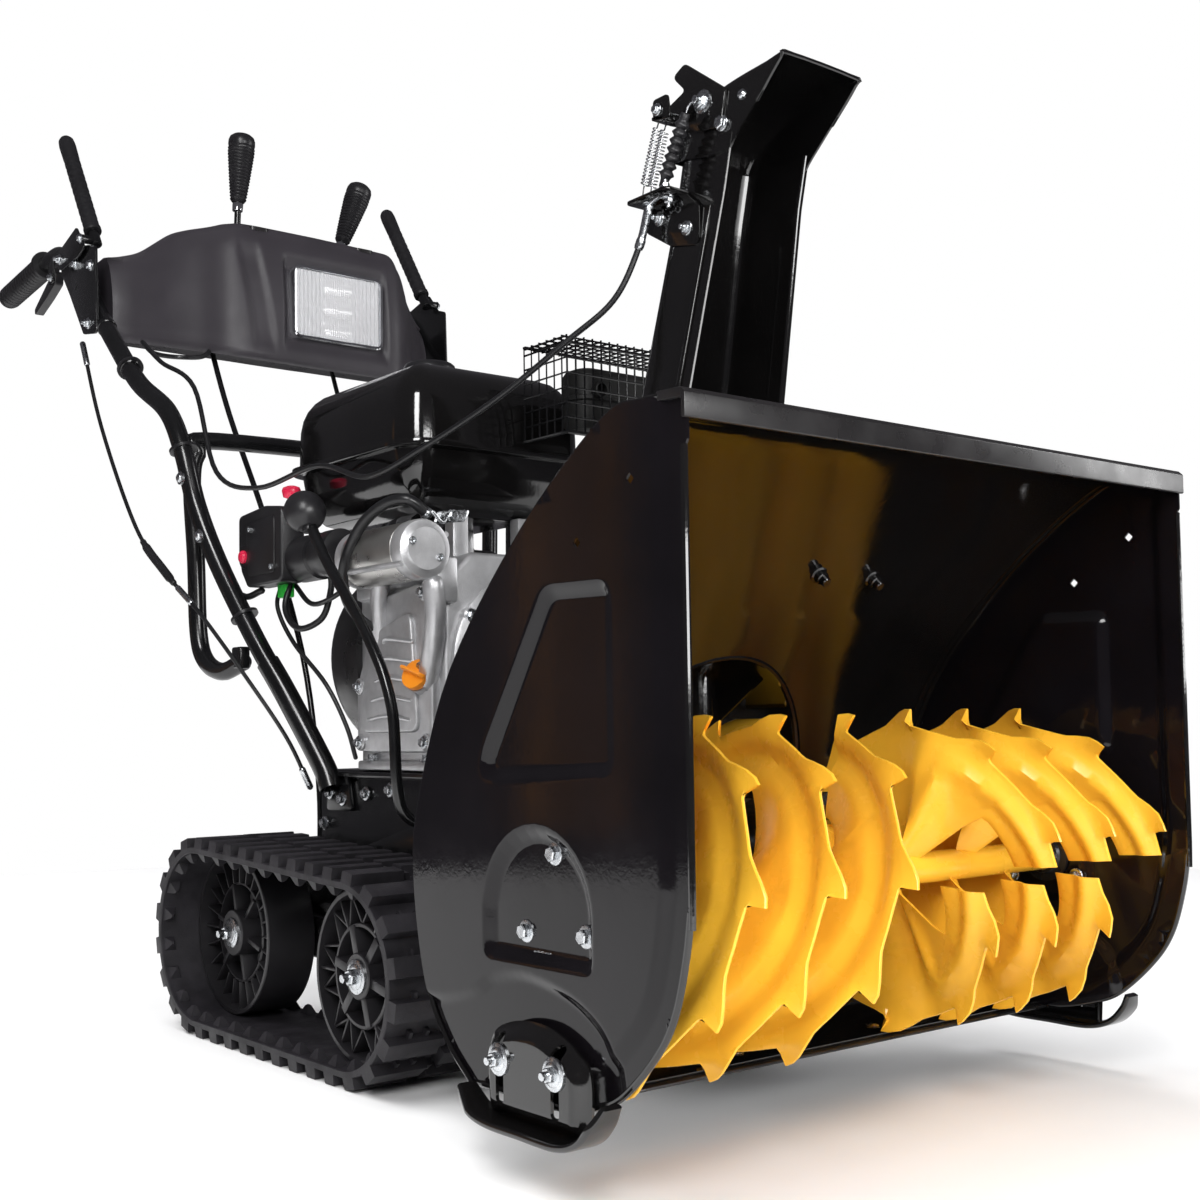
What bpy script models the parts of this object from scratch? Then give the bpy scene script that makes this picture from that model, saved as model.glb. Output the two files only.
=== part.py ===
"""Two-stage snowblower on rubber tracks, modelled as separate named pieces.

Metres, +Z up.  The auger mouth faces -Y and the operator stands at +Y, so the
machine's right-hand side is -X.  The origin is on the ground at the middle of
the machine's length and width.  Along the machine, places are written as the
distance "back" from the housing's front edge, and place() turns them into Y.
The housing is lifted 46 mm clear of the ground, as it is for transport.
"""
import math

import bmesh
import bpy
from mathutils import Matrix, Vector

# ---------------------------------------------------------------- driving sizes
LENGTH_MIDDLE = 0.917       # distance from the front edge to the machine's middle
HALF_WIDTH = 0.360          # outer face of the housing's side plates
SHEET = 0.003               # pressed steel sheet
PLATE = 0.0037              # side plates
GAP = 0.0003                # play between pieces that touch

HOUSING_TOP = 0.652
FLOOR = 0.0692              # underside of the housing floor
FLOOR_FRONT = 0.192         # the floor ends under the augers
MOUTH_LOW = 0.262           # height where the side plates' front edge turns back

AUGER_BACK = 0.178
AUGER_HEIGHT = 0.240
AUGER_RADIUS = 0.166
AUGER_SHAFT_RADIUS = 0.0127
AUGER_HUB_RADIUS = 0.0165
AUGER_INNER = 0.052         # distance of each hub tube's inner end from the middle
AUGER_OUTER = 0.346
FLIGHT_LIMIT = 0.343        # the flights stop short of the side plates
TOOTH_STEP = 36.0           # degrees between the teeth of a flight

IMPELLER_HEIGHT = 0.305
DRUM_RADIUS = 0.165
DRUM_REAR = 0.475
IMPELLER_SHAFT_RADIUS = 0.0095
DUCT_HALF = 0.085

CHUTE_BACK = 0.368          # chute turning axis
COLLAR_TOP = 0.676
CHUTE_TOP = 1.012
HINGE_BACK = 0.262          # deflector hinge
HINGE_HEIGHT = 1.025
HOOD_HALF = 0.0552

TRACK_OUTER = 0.316
TRACK_INNER = 0.170
SPROCKET_BACK = 1.0135
SPROCKET_HEIGHT = 0.1287
IDLER_BACK = 0.629
IDLER_HEIGHT = 0.120
LUG_HEIGHT = 0.013
CARCASS = 0.008
AXLE_RADIUS = 0.0125

FRAME_HALF = 0.150
FRAME_FRONT = 0.612
FRAME_REAR = 1.052
FRAME_WAIST = 0.975
FRAME_TOP = 0.342
FRAME_BOTTOM = 0.086

ENGINE_X = -0.020           # crankshaft axis
CRANK_HEIGHT = 0.470
PULLEY_BACK = 0.560

HANDLE_X = 0.300
HANDLE_RADIUS = 0.0135
LEVER_PIVOT = (1.505, 1.147)
TRIGGER_PIVOT = (1.585, 1.140)

MATERIALS = {
    "black_paint": ((0.012, 0.012, 0.013), 0.18, 0.0),
    "yellow_paint": ((0.85, 0.47, 0.02), 0.30, 0.0),
    "bare_steel": ((0.62, 0.62, 0.62), 0.30, 1.0),
    "cast_aluminium": ((0.55, 0.55, 0.55), 0.45, 1.0),
    "track_rubber": ((0.02, 0.02, 0.021), 0.65, 0.0),
    "black_plastic": ((0.02, 0.02, 0.022), 0.45, 0.0),
    "grey_plastic": ((0.07, 0.065, 0.075), 0.50, 0.0),
    "lamp": ((0.80, 0.80, 0.82), 0.10, 0.2),
    "red_plastic": ((0.60, 0.03, 0.05), 0.35, 0.0),
    "orange_plastic": ((0.90, 0.30, 0.02), 0.40, 0.0),
}


# ------------------------------------------------------------------- shape tools
def place(x, back, height):
    """World point from the machine's own measures."""
    return Vector((x, back - LENGTH_MIDDLE, height))


def get_material(name):
    """Principled material from the table above, made once."""
    if name in bpy.data.materials:
        return bpy.data.materials[name]
    colour, roughness, metallic = MATERIALS[name]
    material = bpy.data.materials.new(name)
    material.use_nodes = True
    shader = material.node_tree.nodes["Principled BSDF"]
    shader.inputs["Base Color"].default_value = (*colour, 1.0)
    shader.inputs["Roughness"].default_value = roughness
    shader.inputs["Metallic"].default_value = metallic
    return material


def finish(name, bm, material=None):
    """Turn a bmesh into an object; without a material it is a hidden tool."""
    bmesh.ops.recalc_face_normals(bm, faces=bm.faces)
    mesh = bpy.data.meshes.new(name)
    bm.to_mesh(mesh)
    bm.free()
    thing = bpy.data.objects.new(name, mesh)
    bpy.context.scene.collection.objects.link(thing)
    if material:
        mesh.materials.append(get_material(material))
        mesh.shade_smooth()
        mesh.set_sharp_from_angle(angle=math.radians(35))
    else:
        thing.hide_render = True
        thing.display_type = "WIRE"
    return thing


def combine(target, tool, operation):
    """Boolean the hidden tool into the target."""
    modifier = target.modifiers.new(operation.lower(), "BOOLEAN")
    modifier.operation = operation
    modifier.solver = "EXACT"
    modifier.object = tool


def join(target, *tools):
    for tool in tools:
        combine(target, tool, "UNION")


def cut(target, *tools):
    for tool in tools:
        combine(target, tool, "DIFFERENCE")


def prism(name, outline, low, high, along="X", material=None):
    """Closed outline pushed from low to high along one axis.

    Outline points are (back, height) for X, (x, height) for Y, (x, back) for Z.
    """
    def point(pair, level):
        if along == "X":
            return place(level, pair[0], pair[1])
        if along == "Y":
            return place(pair[0], level, pair[1])
        return place(pair[0], pair[1], level)
    bm = bmesh.new()
    near = [bm.verts.new(point(pair, low)) for pair in outline]
    far = [bm.verts.new(point(pair, high)) for pair in outline]
    bm.faces.new(near)
    bm.faces.new(list(reversed(far)))
    count = len(outline)
    for i in range(count):
        k = (i + 1) % count
        bm.faces.new((near[i], near[k], far[k], far[i]))
    return finish(name, bm, material)


def box(name, x, back, height, material=None):
    """Block between pairs of x, back and height."""
    outline = [(back[0], height[0]), (back[1], height[0]), (back[1], height[1]), (back[0], height[1])]
    return prism(name, outline, x[0], x[1], "X", material)


def loft(name, loops, material=None):
    """Closed body through loops of world points, all of one length."""
    bm = bmesh.new()
    rows = [[bm.verts.new(p) for p in loop] for loop in loops]
    bm.faces.new(rows[0])
    bm.faces.new(list(reversed(rows[-1])))
    count = len(rows[0])
    for lower, upper in zip(rows, rows[1:]):
        for i in range(count):
            k = (i + 1) % count
            bm.faces.new((lower[i], lower[k], upper[k], upper[i]))
    return finish(name, bm, material)


def twisted_sheet(name, loops):
    """Thin twisted strip through loops of four points, its two walls split along the same diagonals."""
    bm = bmesh.new()
    rows = [[bm.verts.new(p) for p in loop] for loop in loops]
    bm.faces.new(rows[0])
    bm.faces.new(list(reversed(rows[-1])))
    for (a, b, c, d), (e, f, g, h) in zip(rows, rows[1:]):
        for face in ((a, b, f), (a, f, e), (b, c, g, f), (c, d, g), (d, h, g), (d, a, e, h)):
            bm.faces.new(face)
    return finish(name, bm, None)


def ring(centre, axis, radius, sides):
    """World points of a circle about an axis."""
    axis = Vector(axis).normalized()
    turn = axis.to_track_quat("Z", "Y")
    return [Vector(centre) + turn @ Vector((radius * math.cos(a), radius * math.sin(a), 0.0))
            for a in (2.0 * math.pi * i / sides for i in range(sides))]


def turned(name, start, axis, profile, sides=24, material=None):
    """Solid of revolution: profile is (distance along the axis, radius)."""
    axis = Vector(axis).normalized()
    loops = [ring(start + axis * along, axis, radius, sides) for along, radius in profile]
    return loft(name, loops, material)


def rod(name, start, end, radius, sides=12, material=None):
    length = (end - start).length
    return turned(name, start, end - start, [(0.0, radius), (length, radius)], sides, material)


def smooth_path(points, steps):
    """Catmull-Rom curve through points of any dimension."""
    padded = [points[0] * 2 - points[1]] + list(points) + [points[-1] * 2 - points[-2]]
    path = []
    for p0, p1, p2, p3 in zip(padded, padded[1:], padded[2:], padded[3:]):
        for i in range(steps):
            t = i / steps
            path.append(0.5 * (2 * p1 + (p2 - p0) * t + (2 * p0 - 5 * p1 + 4 * p2 - p3) * t ** 2
                               + (3 * p1 - p0 - 3 * p2 + p3) * t ** 3))
    path.append(points[-1])
    return path


def sweep(name, path, radius, sides=10, material=None):
    """Round bar or cable along a path, with flat ends."""
    loops = []
    direction = (path[1] - path[0]).normalized()
    side = direction.orthogonal().normalized()
    for i, point in enumerate(path):
        ahead = path[min(i + 1, len(path) - 1)] - path[max(i - 1, 0)]
        direction = ahead.normalized()
        side = (side - direction * side.dot(direction)).normalized()
        other = direction.cross(side)
        loops.append([point + (side * math.cos(a) + other * math.sin(a)) * radius
                      for a in (2.0 * math.pi * k / sides for k in range(sides))])
    return loft(name, loops, material)


def circle_outline(centre, radius, sides, start=0.0, end=2.0 * math.pi):
    """Points of an arc in an outline's own plane; a full circle leaves out the repeat."""
    full = abs(end - start - 2.0 * math.pi) < 1e-6
    count = sides if full else sides + 1
    return [(centre[0] + radius * math.cos(start + (end - start) * i / sides),
             centre[1] + radius * math.sin(start + (end - start) * i / sides)) for i in range(count)]


def rounded_rectangle(x, back, corner, inset, steps=3):
    """Plan outline with round corners."""
    x0, x1, b0, b1 = x[0] + inset, x[1] - inset, back[0] + inset, back[1] - inset
    corner = max(corner - inset, 0.006)
    centres = [(x1 - corner, b1 - corner), (x0 + corner, b1 - corner),
               (x0 + corner, b0 + corner), (x1 - corner, b0 + corner)]
    points = []
    for quarter, centre in enumerate(centres):
        begin = quarter * math.pi / 2.0
        points += circle_outline(centre, corner, steps, begin, begin + math.pi / 2.0)
    return points


# ------------------------------------------------------------------------ bucket
def housing_curve():
    """Outside of the wrapped sheet, from the top front edge round to the floor."""
    shape = [(0.000, HOUSING_TOP), (0.050, 0.656), (0.101, 0.648), (0.216, 0.569), (0.332, 0.449),
             (0.390, 0.325), (0.400, 0.250), (0.381, 0.154), (0.346, 0.102), (0.305, FLOOR)]
    return [tuple(p) for p in smooth_path([Vector(p) for p in shape], 3)] + [(FLOOR_FRONT, FLOOR)]


def offset_curve(curve, distance):
    """Curve moved sideways; positive goes towards the inside of the bucket."""
    moved = []
    for i, point in enumerate(curve):
        before, after = curve[max(i - 1, 0)], curve[min(i + 1, len(curve) - 1)]
        run = Vector((after[0] - before[0], after[1] - before[1])).normalized()
        moved.append((point[0] + run.y * distance, point[1] - run.x * distance))
    return moved


def make_housing():
    outer = housing_curve()
    inner = offset_curve(outer, SHEET)
    edge = HALF_WIDTH - PLATE - GAP
    shell = prism("housing_shell", outer + list(reversed(inner)), -edge, edge, "X", "black_paint")
    opening = turned("opening_tool", place(0.0, 0.24, IMPELLER_HEIGHT), (0, 1, 0),
                     [(0.0, DRUM_RADIUS), (0.22, DRUM_RADIUS)], 32)
    lip = [(-0.003, 0.636), (0.001, 0.636), (0.001, 0.650), (0.028, 0.652), (0.028, 0.659), (-0.003, 0.656)]
    join(shell, prism("folded_lip", lip, -edge, edge, "X"))
    cut(shell, opening)

    front = [(0.160, 0.0712), (0.128, 0.079), (0.092, 0.0935), (0.050, 0.131), (0.026, 0.166), (0.011, 0.214), (0.002, MOUTH_LOW),
             (0.006, 0.600), (0.000, 0.622)]
    plate_outline = outer + front
    for side, label in ((-1, "right"), (1, "left")):
        x0, x1 = sorted((side * (HALF_WIDTH - PLATE), side * HALF_WIDTH))
        plate = prism(f"side_plate_{label}", plate_outline, x0, x1, "X", "black_paint")
        hole = rod(f"shaft_hole_{label}", place(side * 0.34, AUGER_BACK, AUGER_HEIGHT),
                   place(side * 0.38, AUGER_BACK, AUGER_HEIGHT), AUGER_SHAFT_RADIUS + GAP, 20)
        cut(plate, hole)

    blade_top = FLOOR - GAP
    box("scraper_blade", (-edge, edge), (0.183, 0.250), (blade_top - 0.003, blade_top), "bare_steel")


def make_skid_shoe(side, label):
    """Bolted slide plate with two upright slots and a runner turned up at both ends."""
    inside, outside = HALF_WIDTH + GAP, HALF_WIDTH + 0.032
    upright = [(0.118, 0.050), (0.262, 0.050), (0.266, 0.120), (0.250, 0.140), (0.130, 0.140), (0.118, 0.125)]
    x0, x1 = sorted((side * inside, side * (inside + 0.005)))
    shoe = prism(f"skid_shoe_{label}", upright, x0, x1, "X", "black_paint")
    under = [(0.086, 0.084), (0.110, 0.058), (0.140, 0.046), (0.235, 0.046), (0.270, 0.054), (0.296, 0.068)]
    over = [(b + 0.002 * math.copysign(1.0, 0.19 - b), z + 0.006) for b, z in reversed(under)]
    x0, x1 = sorted((side * inside, side * outside))
    join(shoe, prism(f"runner_{label}", under + over, x0, x1, "X"))
    for number, back in enumerate((0.155, 0.235)):
        slot = circle_outline((back, 0.124), 0.006, 6, 0.0, math.pi)
        slot += circle_outline((back, 0.078), 0.006, 6, math.pi, 2.0 * math.pi)
        x0, x1 = sorted((side * (inside - 0.01), side * (inside + 0.01)))
        cut(shoe, prism(f"slot_{label}_{number}", slot, x0, x1, "X"))


def make_impeller_housing():
    """Drum behind the bucket with the duct that feeds the chute."""
    drum_start = place(0.0, 0.28, IMPELLER_HEIGHT)
    depth = DRUM_REAR - 0.28
    wall = SHEET
    drum = turned("impeller_housing", drum_start, (0, 1, 0),
                  [(0.0, DRUM_RADIUS + wall), (depth, DRUM_RADIUS + wall)], 32, "black_paint")
    duct_back = (CHUTE_BACK - DUCT_HALF - wall, CHUTE_BACK + DUCT_HALF + wall)
    outer_x = DUCT_HALF + wall
    duct = box("duct_outer", (-outer_x, outer_x), duct_back, (0.36, COLLAR_TOP - 0.012))
    collar = turned("collar", place(0.0, CHUTE_BACK, COLLAR_TOP - 0.012), (0, 0, 1),
                    [(0.0, 0.104), (0.012, 0.104)], 32)
    join(drum, duct, collar)
    hollow = turned("drum_inner", place(0.0, 0.27, IMPELLER_HEIGHT), (0, 1, 0),
                    [(0.0, DRUM_RADIUS), (DRUM_REAR - 0.27 - wall, DRUM_RADIUS)], 32)
    duct_hollow = box("duct_inner", (-DUCT_HALF * 0.9, DUCT_HALF * 0.9),
                      (CHUTE_BACK - DUCT_HALF, CHUTE_BACK + DUCT_HALF), (0.37, COLLAR_TOP - 0.014))
    throat = turned("throat", place(0.0, CHUTE_BACK, COLLAR_TOP - 0.020), (0, 0, 1),
                    [(0.0, 0.074), (0.030, 0.074)], 32)
    shaft_hole = rod("drum_shaft_hole", place(0, 0.46, IMPELLER_HEIGHT), place(0, 0.49, IMPELLER_HEIGHT),
                     IMPELLER_SHAFT_RADIUS + GAP, 16)
    bucket_side = offset_curve(housing_curve(), -GAP)
    front = bucket_side + [(-0.05, bucket_side[-1][1]), (-0.05, bucket_side[0][1])]
    bucket_space = prism("bucket_space", front, -0.40, 0.40, "X")
    cut(drum, hollow, duct_hollow, throat, shaft_hole, bucket_space)


# ------------------------------------------------------------- augers and impeller
def flight_lean(label, angle):
    """How far a flight stands out from its own middle, at degrees from its closed side."""
    if label == "right":
        return 0.0296 / TOOTH_STEP * angle / (1.0 + abs(angle / 90.0) ** 6) ** (1.0 / 6.0)
    turn = abs(angle)
    back = -0.014 * math.sin(math.radians(min(turn, 90.0)))
    return math.copysign(back + 0.0084 * math.log(1.0 + math.exp((turn - 90.0) / 10.0)), angle)


def flight_inside(label, angle, x):
    """Inner radius: down to the tube on the closed side, an open loop towards the free ends."""
    begin, over = (68.0, 28.0) if label == "right" else (133.0, 14.0)
    share = max(0.0, min(1.0, (abs(angle) - begin) / over))
    inner = 0.0145 + 0.0855 * share * share * (3.0 - 2.0 * share)
    return max(inner, 0.062) if x < 0.060 else inner


def make_auger(side, label):
    """Toothed discs on a hub tube, each slit on one side and pulled open like a screw thread.

    The closed side of the right-hand discs faces forward, that of the left-hand discs rearward.
    """
    span = AUGER_OUTER - AUGER_INNER
    centre = place(0.0, AUGER_BACK, AUGER_HEIGHT)
    hub = turned(f"auger_{label}", centre + Vector((side * AUGER_INNER, 0, 0)), (side, 0, 0),
                 [(0.0, AUGER_HUB_RADIUS), (span, AUGER_HUB_RADIUS)], 14, "yellow_paint")
    if label == "right":
        closed, tooth = 180.0, 33.2
        flights = [(0.0875, -68.0, 166.0), (0.182, -166.0, 166.0), (0.277, -166.0, 166.0), (0.371, -166.0, -52.0)]
    else:
        closed, tooth = 0.0, 23.1
        flights = [(0.098, -176.0, 176.0), (0.192, -176.0, 176.0), (0.2855, -176.0, 176.0)]
    pieces = []
    for number, (middle, first, last) in enumerate(flights):
        start = math.ceil((first - tooth) / 18.0 + 0.3)
        stop = math.floor((last - tooth) / 18.0 - 0.3)
        stations = [(first, 0)] + [(tooth + 18.0 * i, i) for i in range(start, stop + 1)] + [(last, 0)]
        if label == "left":
            stations = sorted(stations + [(-147.0, 1), (-133.0, 1), (133.0, 1), (147.0, 1)])
        ribbon = []
        for angle, index in stations:
            x = min(middle + flight_lean(label, angle), FLIGHT_LIMIT)
            rim = AUGER_RADIUS if index % 2 == 0 else AUGER_RADIUS - 0.015
            turn = math.radians(closed + angle)
            out = Vector((0.0, math.cos(turn), math.sin(turn)))
            half = Vector((0.0022, 0, 0))
            base = centre + Vector((side * x, 0, 0))
            inner = flight_inside(label, angle, x)
            ribbon.append([base + out * inner - half, base + out * rim - half,
                           base + out * rim + half, base + out * inner + half])
        pieces.append(twisted_sheet(f"flight_{label}_{number}", ribbon))
    join(hub, *pieces)
    bore = rod(f"hub_bore_{label}", centre + Vector((side * 0.03, 0, 0)), centre + Vector((side * 0.36, 0, 0)),
               AUGER_SHAFT_RADIUS + GAP, 20)
    cut(hub, bore)


def make_gearbox():
    """Worm gearbox in the middle of the augers, with its shaft, wheel and worm."""
    shaft_axis = (AUGER_BACK, AUGER_HEIGHT)
    end = HALF_WIDTH - 0.0015
    rod("auger_shaft", place(-end, *shaft_axis), place(end, *shaft_axis), AUGER_SHAFT_RADIUS, 20, "bare_steel")
    case = turned("auger_gearbox", place(-0.040, *shaft_axis), (1, 0, 0),
                  [(0.0, 0.024), (0.006, 0.024), (0.010, 0.052), (0.070, 0.052), (0.074, 0.024), (0.080, 0.024)],
                  24, "yellow_paint")
    neck = turned("gearbox_neck", place(0, 0.115, IMPELLER_HEIGHT), (0, 1, 0),
                  [(0.0, 0.0275), (0.128, 0.0275)], 16)
    join(case, neck)
    room = turned("gearbox_room", place(-0.026, *shaft_axis), (1, 0, 0), [(0.0, 0.047), (0.052, 0.047)], 24)
    worm_room = turned("worm_room", place(0, 0.125, IMPELLER_HEIGHT), (0, 1, 0),
                       [(0.0, 0.0225), (0.130, 0.0225)], 16)
    shaft_hole = rod("gearbox_bore", place(-0.06, *shaft_axis), place(0.06, *shaft_axis),
                     AUGER_SHAFT_RADIUS + GAP, 20)
    cut(case, room, worm_room, shaft_hole)

    teeth = 20
    outline = []
    for i in range(teeth):
        for share, radius in ((0.00, 0.0395), (0.30, 0.0395), (0.42, 0.0430), (0.88, 0.0430)):
            angle = 2.0 * math.pi * (i + share) / teeth
            outline.append((AUGER_BACK + radius * math.cos(angle), AUGER_HEIGHT + radius * math.sin(angle)))
    wheel = prism("worm_wheel", outline, -0.010, 0.010, "X", "cast_aluminium")
    cut(wheel, rod("wheel_bore", place(-0.03, *shaft_axis), place(0.03, *shaft_axis),
                   AUGER_SHAFT_RADIUS + GAP, 20))
    turned("impeller_shaft", place(0, 0.130, IMPELLER_HEIGHT), (0, 1, 0),
           [(0.0, IMPELLER_SHAFT_RADIUS), (0.020, IMPELLER_SHAFT_RADIUS), (0.021, 0.0195), (0.075, 0.0195),
            (0.076, IMPELLER_SHAFT_RADIUS), (0.455, IMPELLER_SHAFT_RADIUS)], 16, "bare_steel")


def make_impeller():
    """Four-blade fan that throws the snow up the duct, and the pulley that turns it."""
    start, end = 0.372, 0.455
    fan = turned("impeller", place(0, start, IMPELLER_HEIGHT), (0, 1, 0),
                 [(0.0, 0.024), (end - start, 0.024)], 16, "yellow_paint")
    blade = 0.152
    for number in range(4):
        angle = math.pi / 2.0 * number + math.pi / 4.0
        turn = Matrix.Rotation(angle, 3, "Y")
        corners = [(-0.002, start, 0.0), (0.002, start, 0.0), (0.002, end, 0.0), (-0.002, end, 0.0)]
        loops = []
        for reach in (0.010, blade * 0.8, blade):
            curl = 0.018 if reach == blade else 0.0
            loops.append([place(0, back, IMPELLER_HEIGHT) + turn @ Vector((x + curl, 0, reach))
                          for x, back, _ in corners])
        join(fan, loft(f"blade_{number}", loops))
    join(fan, turned("fan_back", place(0, end - 0.004, IMPELLER_HEIGHT), (0, 1, 0),
                     [(0.0, 0.075), (0.004, 0.075)], 20))
    cut(fan, rod("fan_bore", place(0, 0.35, IMPELLER_HEIGHT), place(0, 0.47, IMPELLER_HEIGHT),
                 IMPELLER_SHAFT_RADIUS + GAP, 16))

    pulley = turned("auger_pulley", place(0, PULLEY_BACK - 0.014, IMPELLER_HEIGHT), (0, 1, 0),
                    [(0.0, 0.084), (0.006, 0.084), (0.012, 0.070), (0.016, 0.070), (0.022, 0.084), (0.028, 0.084)],
                    28, "bare_steel")
    cut(pulley, rod("pulley_bore", place(0, 0.53, IMPELLER_HEIGHT), place(0, 0.60, IMPELLER_HEIGHT),
                    IMPELLER_SHAFT_RADIUS + GAP, 16))


# ------------------------------------------------------------------------- chute
def chute_section(height):
    """Middle, half width and half depth of the chute channel at a height."""
    low, high = COLLAR_TOP + 0.006, 0.955
    share = (height - low) / (high - low)
    half_width = 0.0720 + (HOOD_HALF - GAP - 0.0720) * min(share, 1.0)
    middle = CHUTE_BACK + 0.002 + (0.304 - CHUTE_BACK) * share
    half_depth = 0.046 - 0.004 * min(share, 1.0)
    return middle, half_width, half_depth


def channel_loop(height):
    """U-shaped section, open to the front, with rounded rear corners."""
    middle, half, depth = chute_section(height)
    wall, corner = SHEET, 0.020
    outer = [(-half, middle - depth)]
    outer += list(reversed(circle_outline((-half + corner, middle + depth - corner), corner, 4,
                                          math.pi / 2.0, math.pi)))
    outer += list(reversed(circle_outline((half - corner, middle + depth - corner), corner, 4,
                                          0.0, math.pi / 2.0)))
    outer += [(half, middle - depth)]
    inner = [(half - wall, middle - depth)]
    inner += circle_outline((half - corner, middle + depth - corner), corner - wall, 4, 0.0, math.pi / 2.0)
    inner += circle_outline((-half + corner, middle + depth - corner), corner - wall, 4,
                            math.pi / 2.0, math.pi)
    inner += [(-half + wall, middle - depth)]
    return [place(x, back, height) for x, back in outer + inner]


def make_chute():
    base = COLLAR_TOP + GAP
    heights = [base + 0.002, 0.76, 0.86, 0.955, CHUTE_TOP]
    chute = loft("chute", [channel_loop(h) for h in heights], "black_paint")
    flange = turned("chute_flange", place(0, CHUTE_BACK, base), (0, 0, 1), [(0.0, 0.104), (0.007, 0.104)], 32)
    join(chute, flange)
    cut(chute, turned("chute_throat", place(0, CHUTE_BACK, base - 0.01), (0, 0, 1),
                      [(0.0, 0.068), (0.022, 0.068)], 32))
    outer = -HOOD_HALF
    bracket = [(0.300, 0.905), (0.345, 0.915), (0.385, 0.940), (0.385, 0.968), (0.320, 0.968), (0.300, 0.950)]
    tab = box("spring_tab", (outer - 0.034, outer + 0.002), (0.318, 0.387), (0.966, 0.970))
    join(chute, prism("cable_bracket", bracket, outer - 0.006, outer + 0.002, "X"), tab)


def make_deflector():
    """Hood hinged on the chute's top, with the arm that its cable pulls."""
    inside, outside = HOOD_HALF, HOOD_HALF + 0.003
    side_shape = [(0.172, 1.072), (0.269, 1.066), (0.322, 1.042), (0.3445, 1.008), (0.318, 1.004),
                  (0.285, 0.996), (0.250, 0.996), (0.246, 1.004)]
    hood = prism("deflector", side_shape, -outside, -inside, "X", "black_paint")
    roof = [(0.172, 1.072), (0.269, 1.066), (0.322, 1.042), (0.3445, 1.008), (0.3415, 1.008), (0.319, 1.038),
            (0.267, 1.062), (0.174, 1.068)]
    join(hood, prism("far_side", side_shape, inside, outside, "X"), prism("roof", roof, -outside, outside, "X"))
    arm = [(0.262, 1.020), (0.256, 1.060), (0.318, 1.106), (0.334, 1.098), (0.318, 1.078), (0.345, 1.066),
           (0.345, 1.052), (0.300, 1.030)]
    join(hood, prism("control_arm", arm, -outside - 0.003, -outside + 0.001, "X"))
    hook = rod("spring_hook", place(-outside - 0.022, 0.338, 1.059), place(-outside + 0.001, 0.338, 1.059),
               0.003, 8)
    join(hood, hook)

    for label, shift in (("right", -0.002), ("left", 0.0085)):
        top = place(-outside - 0.017 + shift, 0.339, 1.0545)
        low = place(-outside - 0.020 + shift, 0.368, 0.9715)
        axis = (low - top).normalized()
        side = axis.orthogonal().normalized()
        other = axis.cross(side)
        turns, steps = 8, 6
        length = (low - top).length
        coil = []
        for i in range(turns * steps + 1):
            share = i / (turns * steps)
            angle = 2.0 * math.pi * i / steps
            coil.append(top + axis * length * share + (side * math.cos(angle) + other * math.sin(angle)) * 0.0038)
        sweep(f"deflector_spring_{label}", coil[2:-2], 0.0008, 4, "bare_steel")

    top, low = place(-0.078, 0.297, 1.043), place(-0.078, 0.337, 0.9730)
    length = (low - top).length
    profile = [(0.0, 0.0045)]
    folds = 7
    for i in range(folds):
        start = length * (0.12 + 0.76 * i / folds)
        profile += [(start, 0.0045), (start + length * 0.04, 0.0075)]
    profile += [(length * 0.9, 0.004), (length - 0.001, 0.004)]
    turned("deflector_boot", top, low - top, profile, 10, "track_rubber")


# ------------------------------------------------------------------------ engine
def make_frame():
    """Gear-case frame that carries the engine and the drive axle."""
    wall = 0.003
    x = (-FRAME_HALF, FRAME_HALF)
    side = [(FRAME_FRONT, 0.17), (0.80, 0.12), (0.94, FRAME_BOTTOM), (FRAME_REAR, FRAME_BOTTOM),
            (FRAME_REAR, 0.185), (FRAME_WAIST, 0.240), (FRAME_WAIST, FRAME_TOP), (FRAME_FRONT, FRAME_TOP)]
    frame = prism("frame_box", side, x[0], x[1], "X", "black_paint")
    inside = [(FRAME_FRONT + wall, 0.10), (0.80, 0.05), (FRAME_REAR - wall, 0.05), (FRAME_REAR - wall, 0.183),
              (FRAME_WAIST - wall, 0.238), (FRAME_WAIST - wall, FRAME_TOP - wall),
              (FRAME_FRONT + wall, FRAME_TOP - wall)]
    cut(frame, prism("frame_inside", inside, x[0] + wall, x[1] - wall, "X"))
    cut(frame, rod("axle_hole", place(-0.2, SPROCKET_BACK, SPROCKET_HEIGHT),
                   place(0.2, SPROCKET_BACK, SPROCKET_HEIGHT), AXLE_RADIUS + GAP, 16))

    cover = prism("belt_cover", [(DRUM_REAR + 0.008, 0.205), (FRAME_FRONT - GAP, 0.205),
                                 (FRAME_FRONT - GAP, 0.585), (DRUM_REAR + 0.008, 0.585)],
                  -0.115, 0.115, "X", "black_plastic")
    cut(cover, box("cover_room", (-0.112, 0.112), (DRUM_REAR + 0.011, FRAME_FRONT - 0.003), (0.19, 0.582)),
        rod("cover_low_hole", place(0, 0.47, IMPELLER_HEIGHT), place(0, 0.50, IMPELLER_HEIGHT), 0.014, 16),
        rod("cover_high_hole", place(ENGINE_X, 0.60, CRANK_HEIGHT), place(ENGINE_X, 0.63, CRANK_HEIGHT), 0.018, 16))


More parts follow.
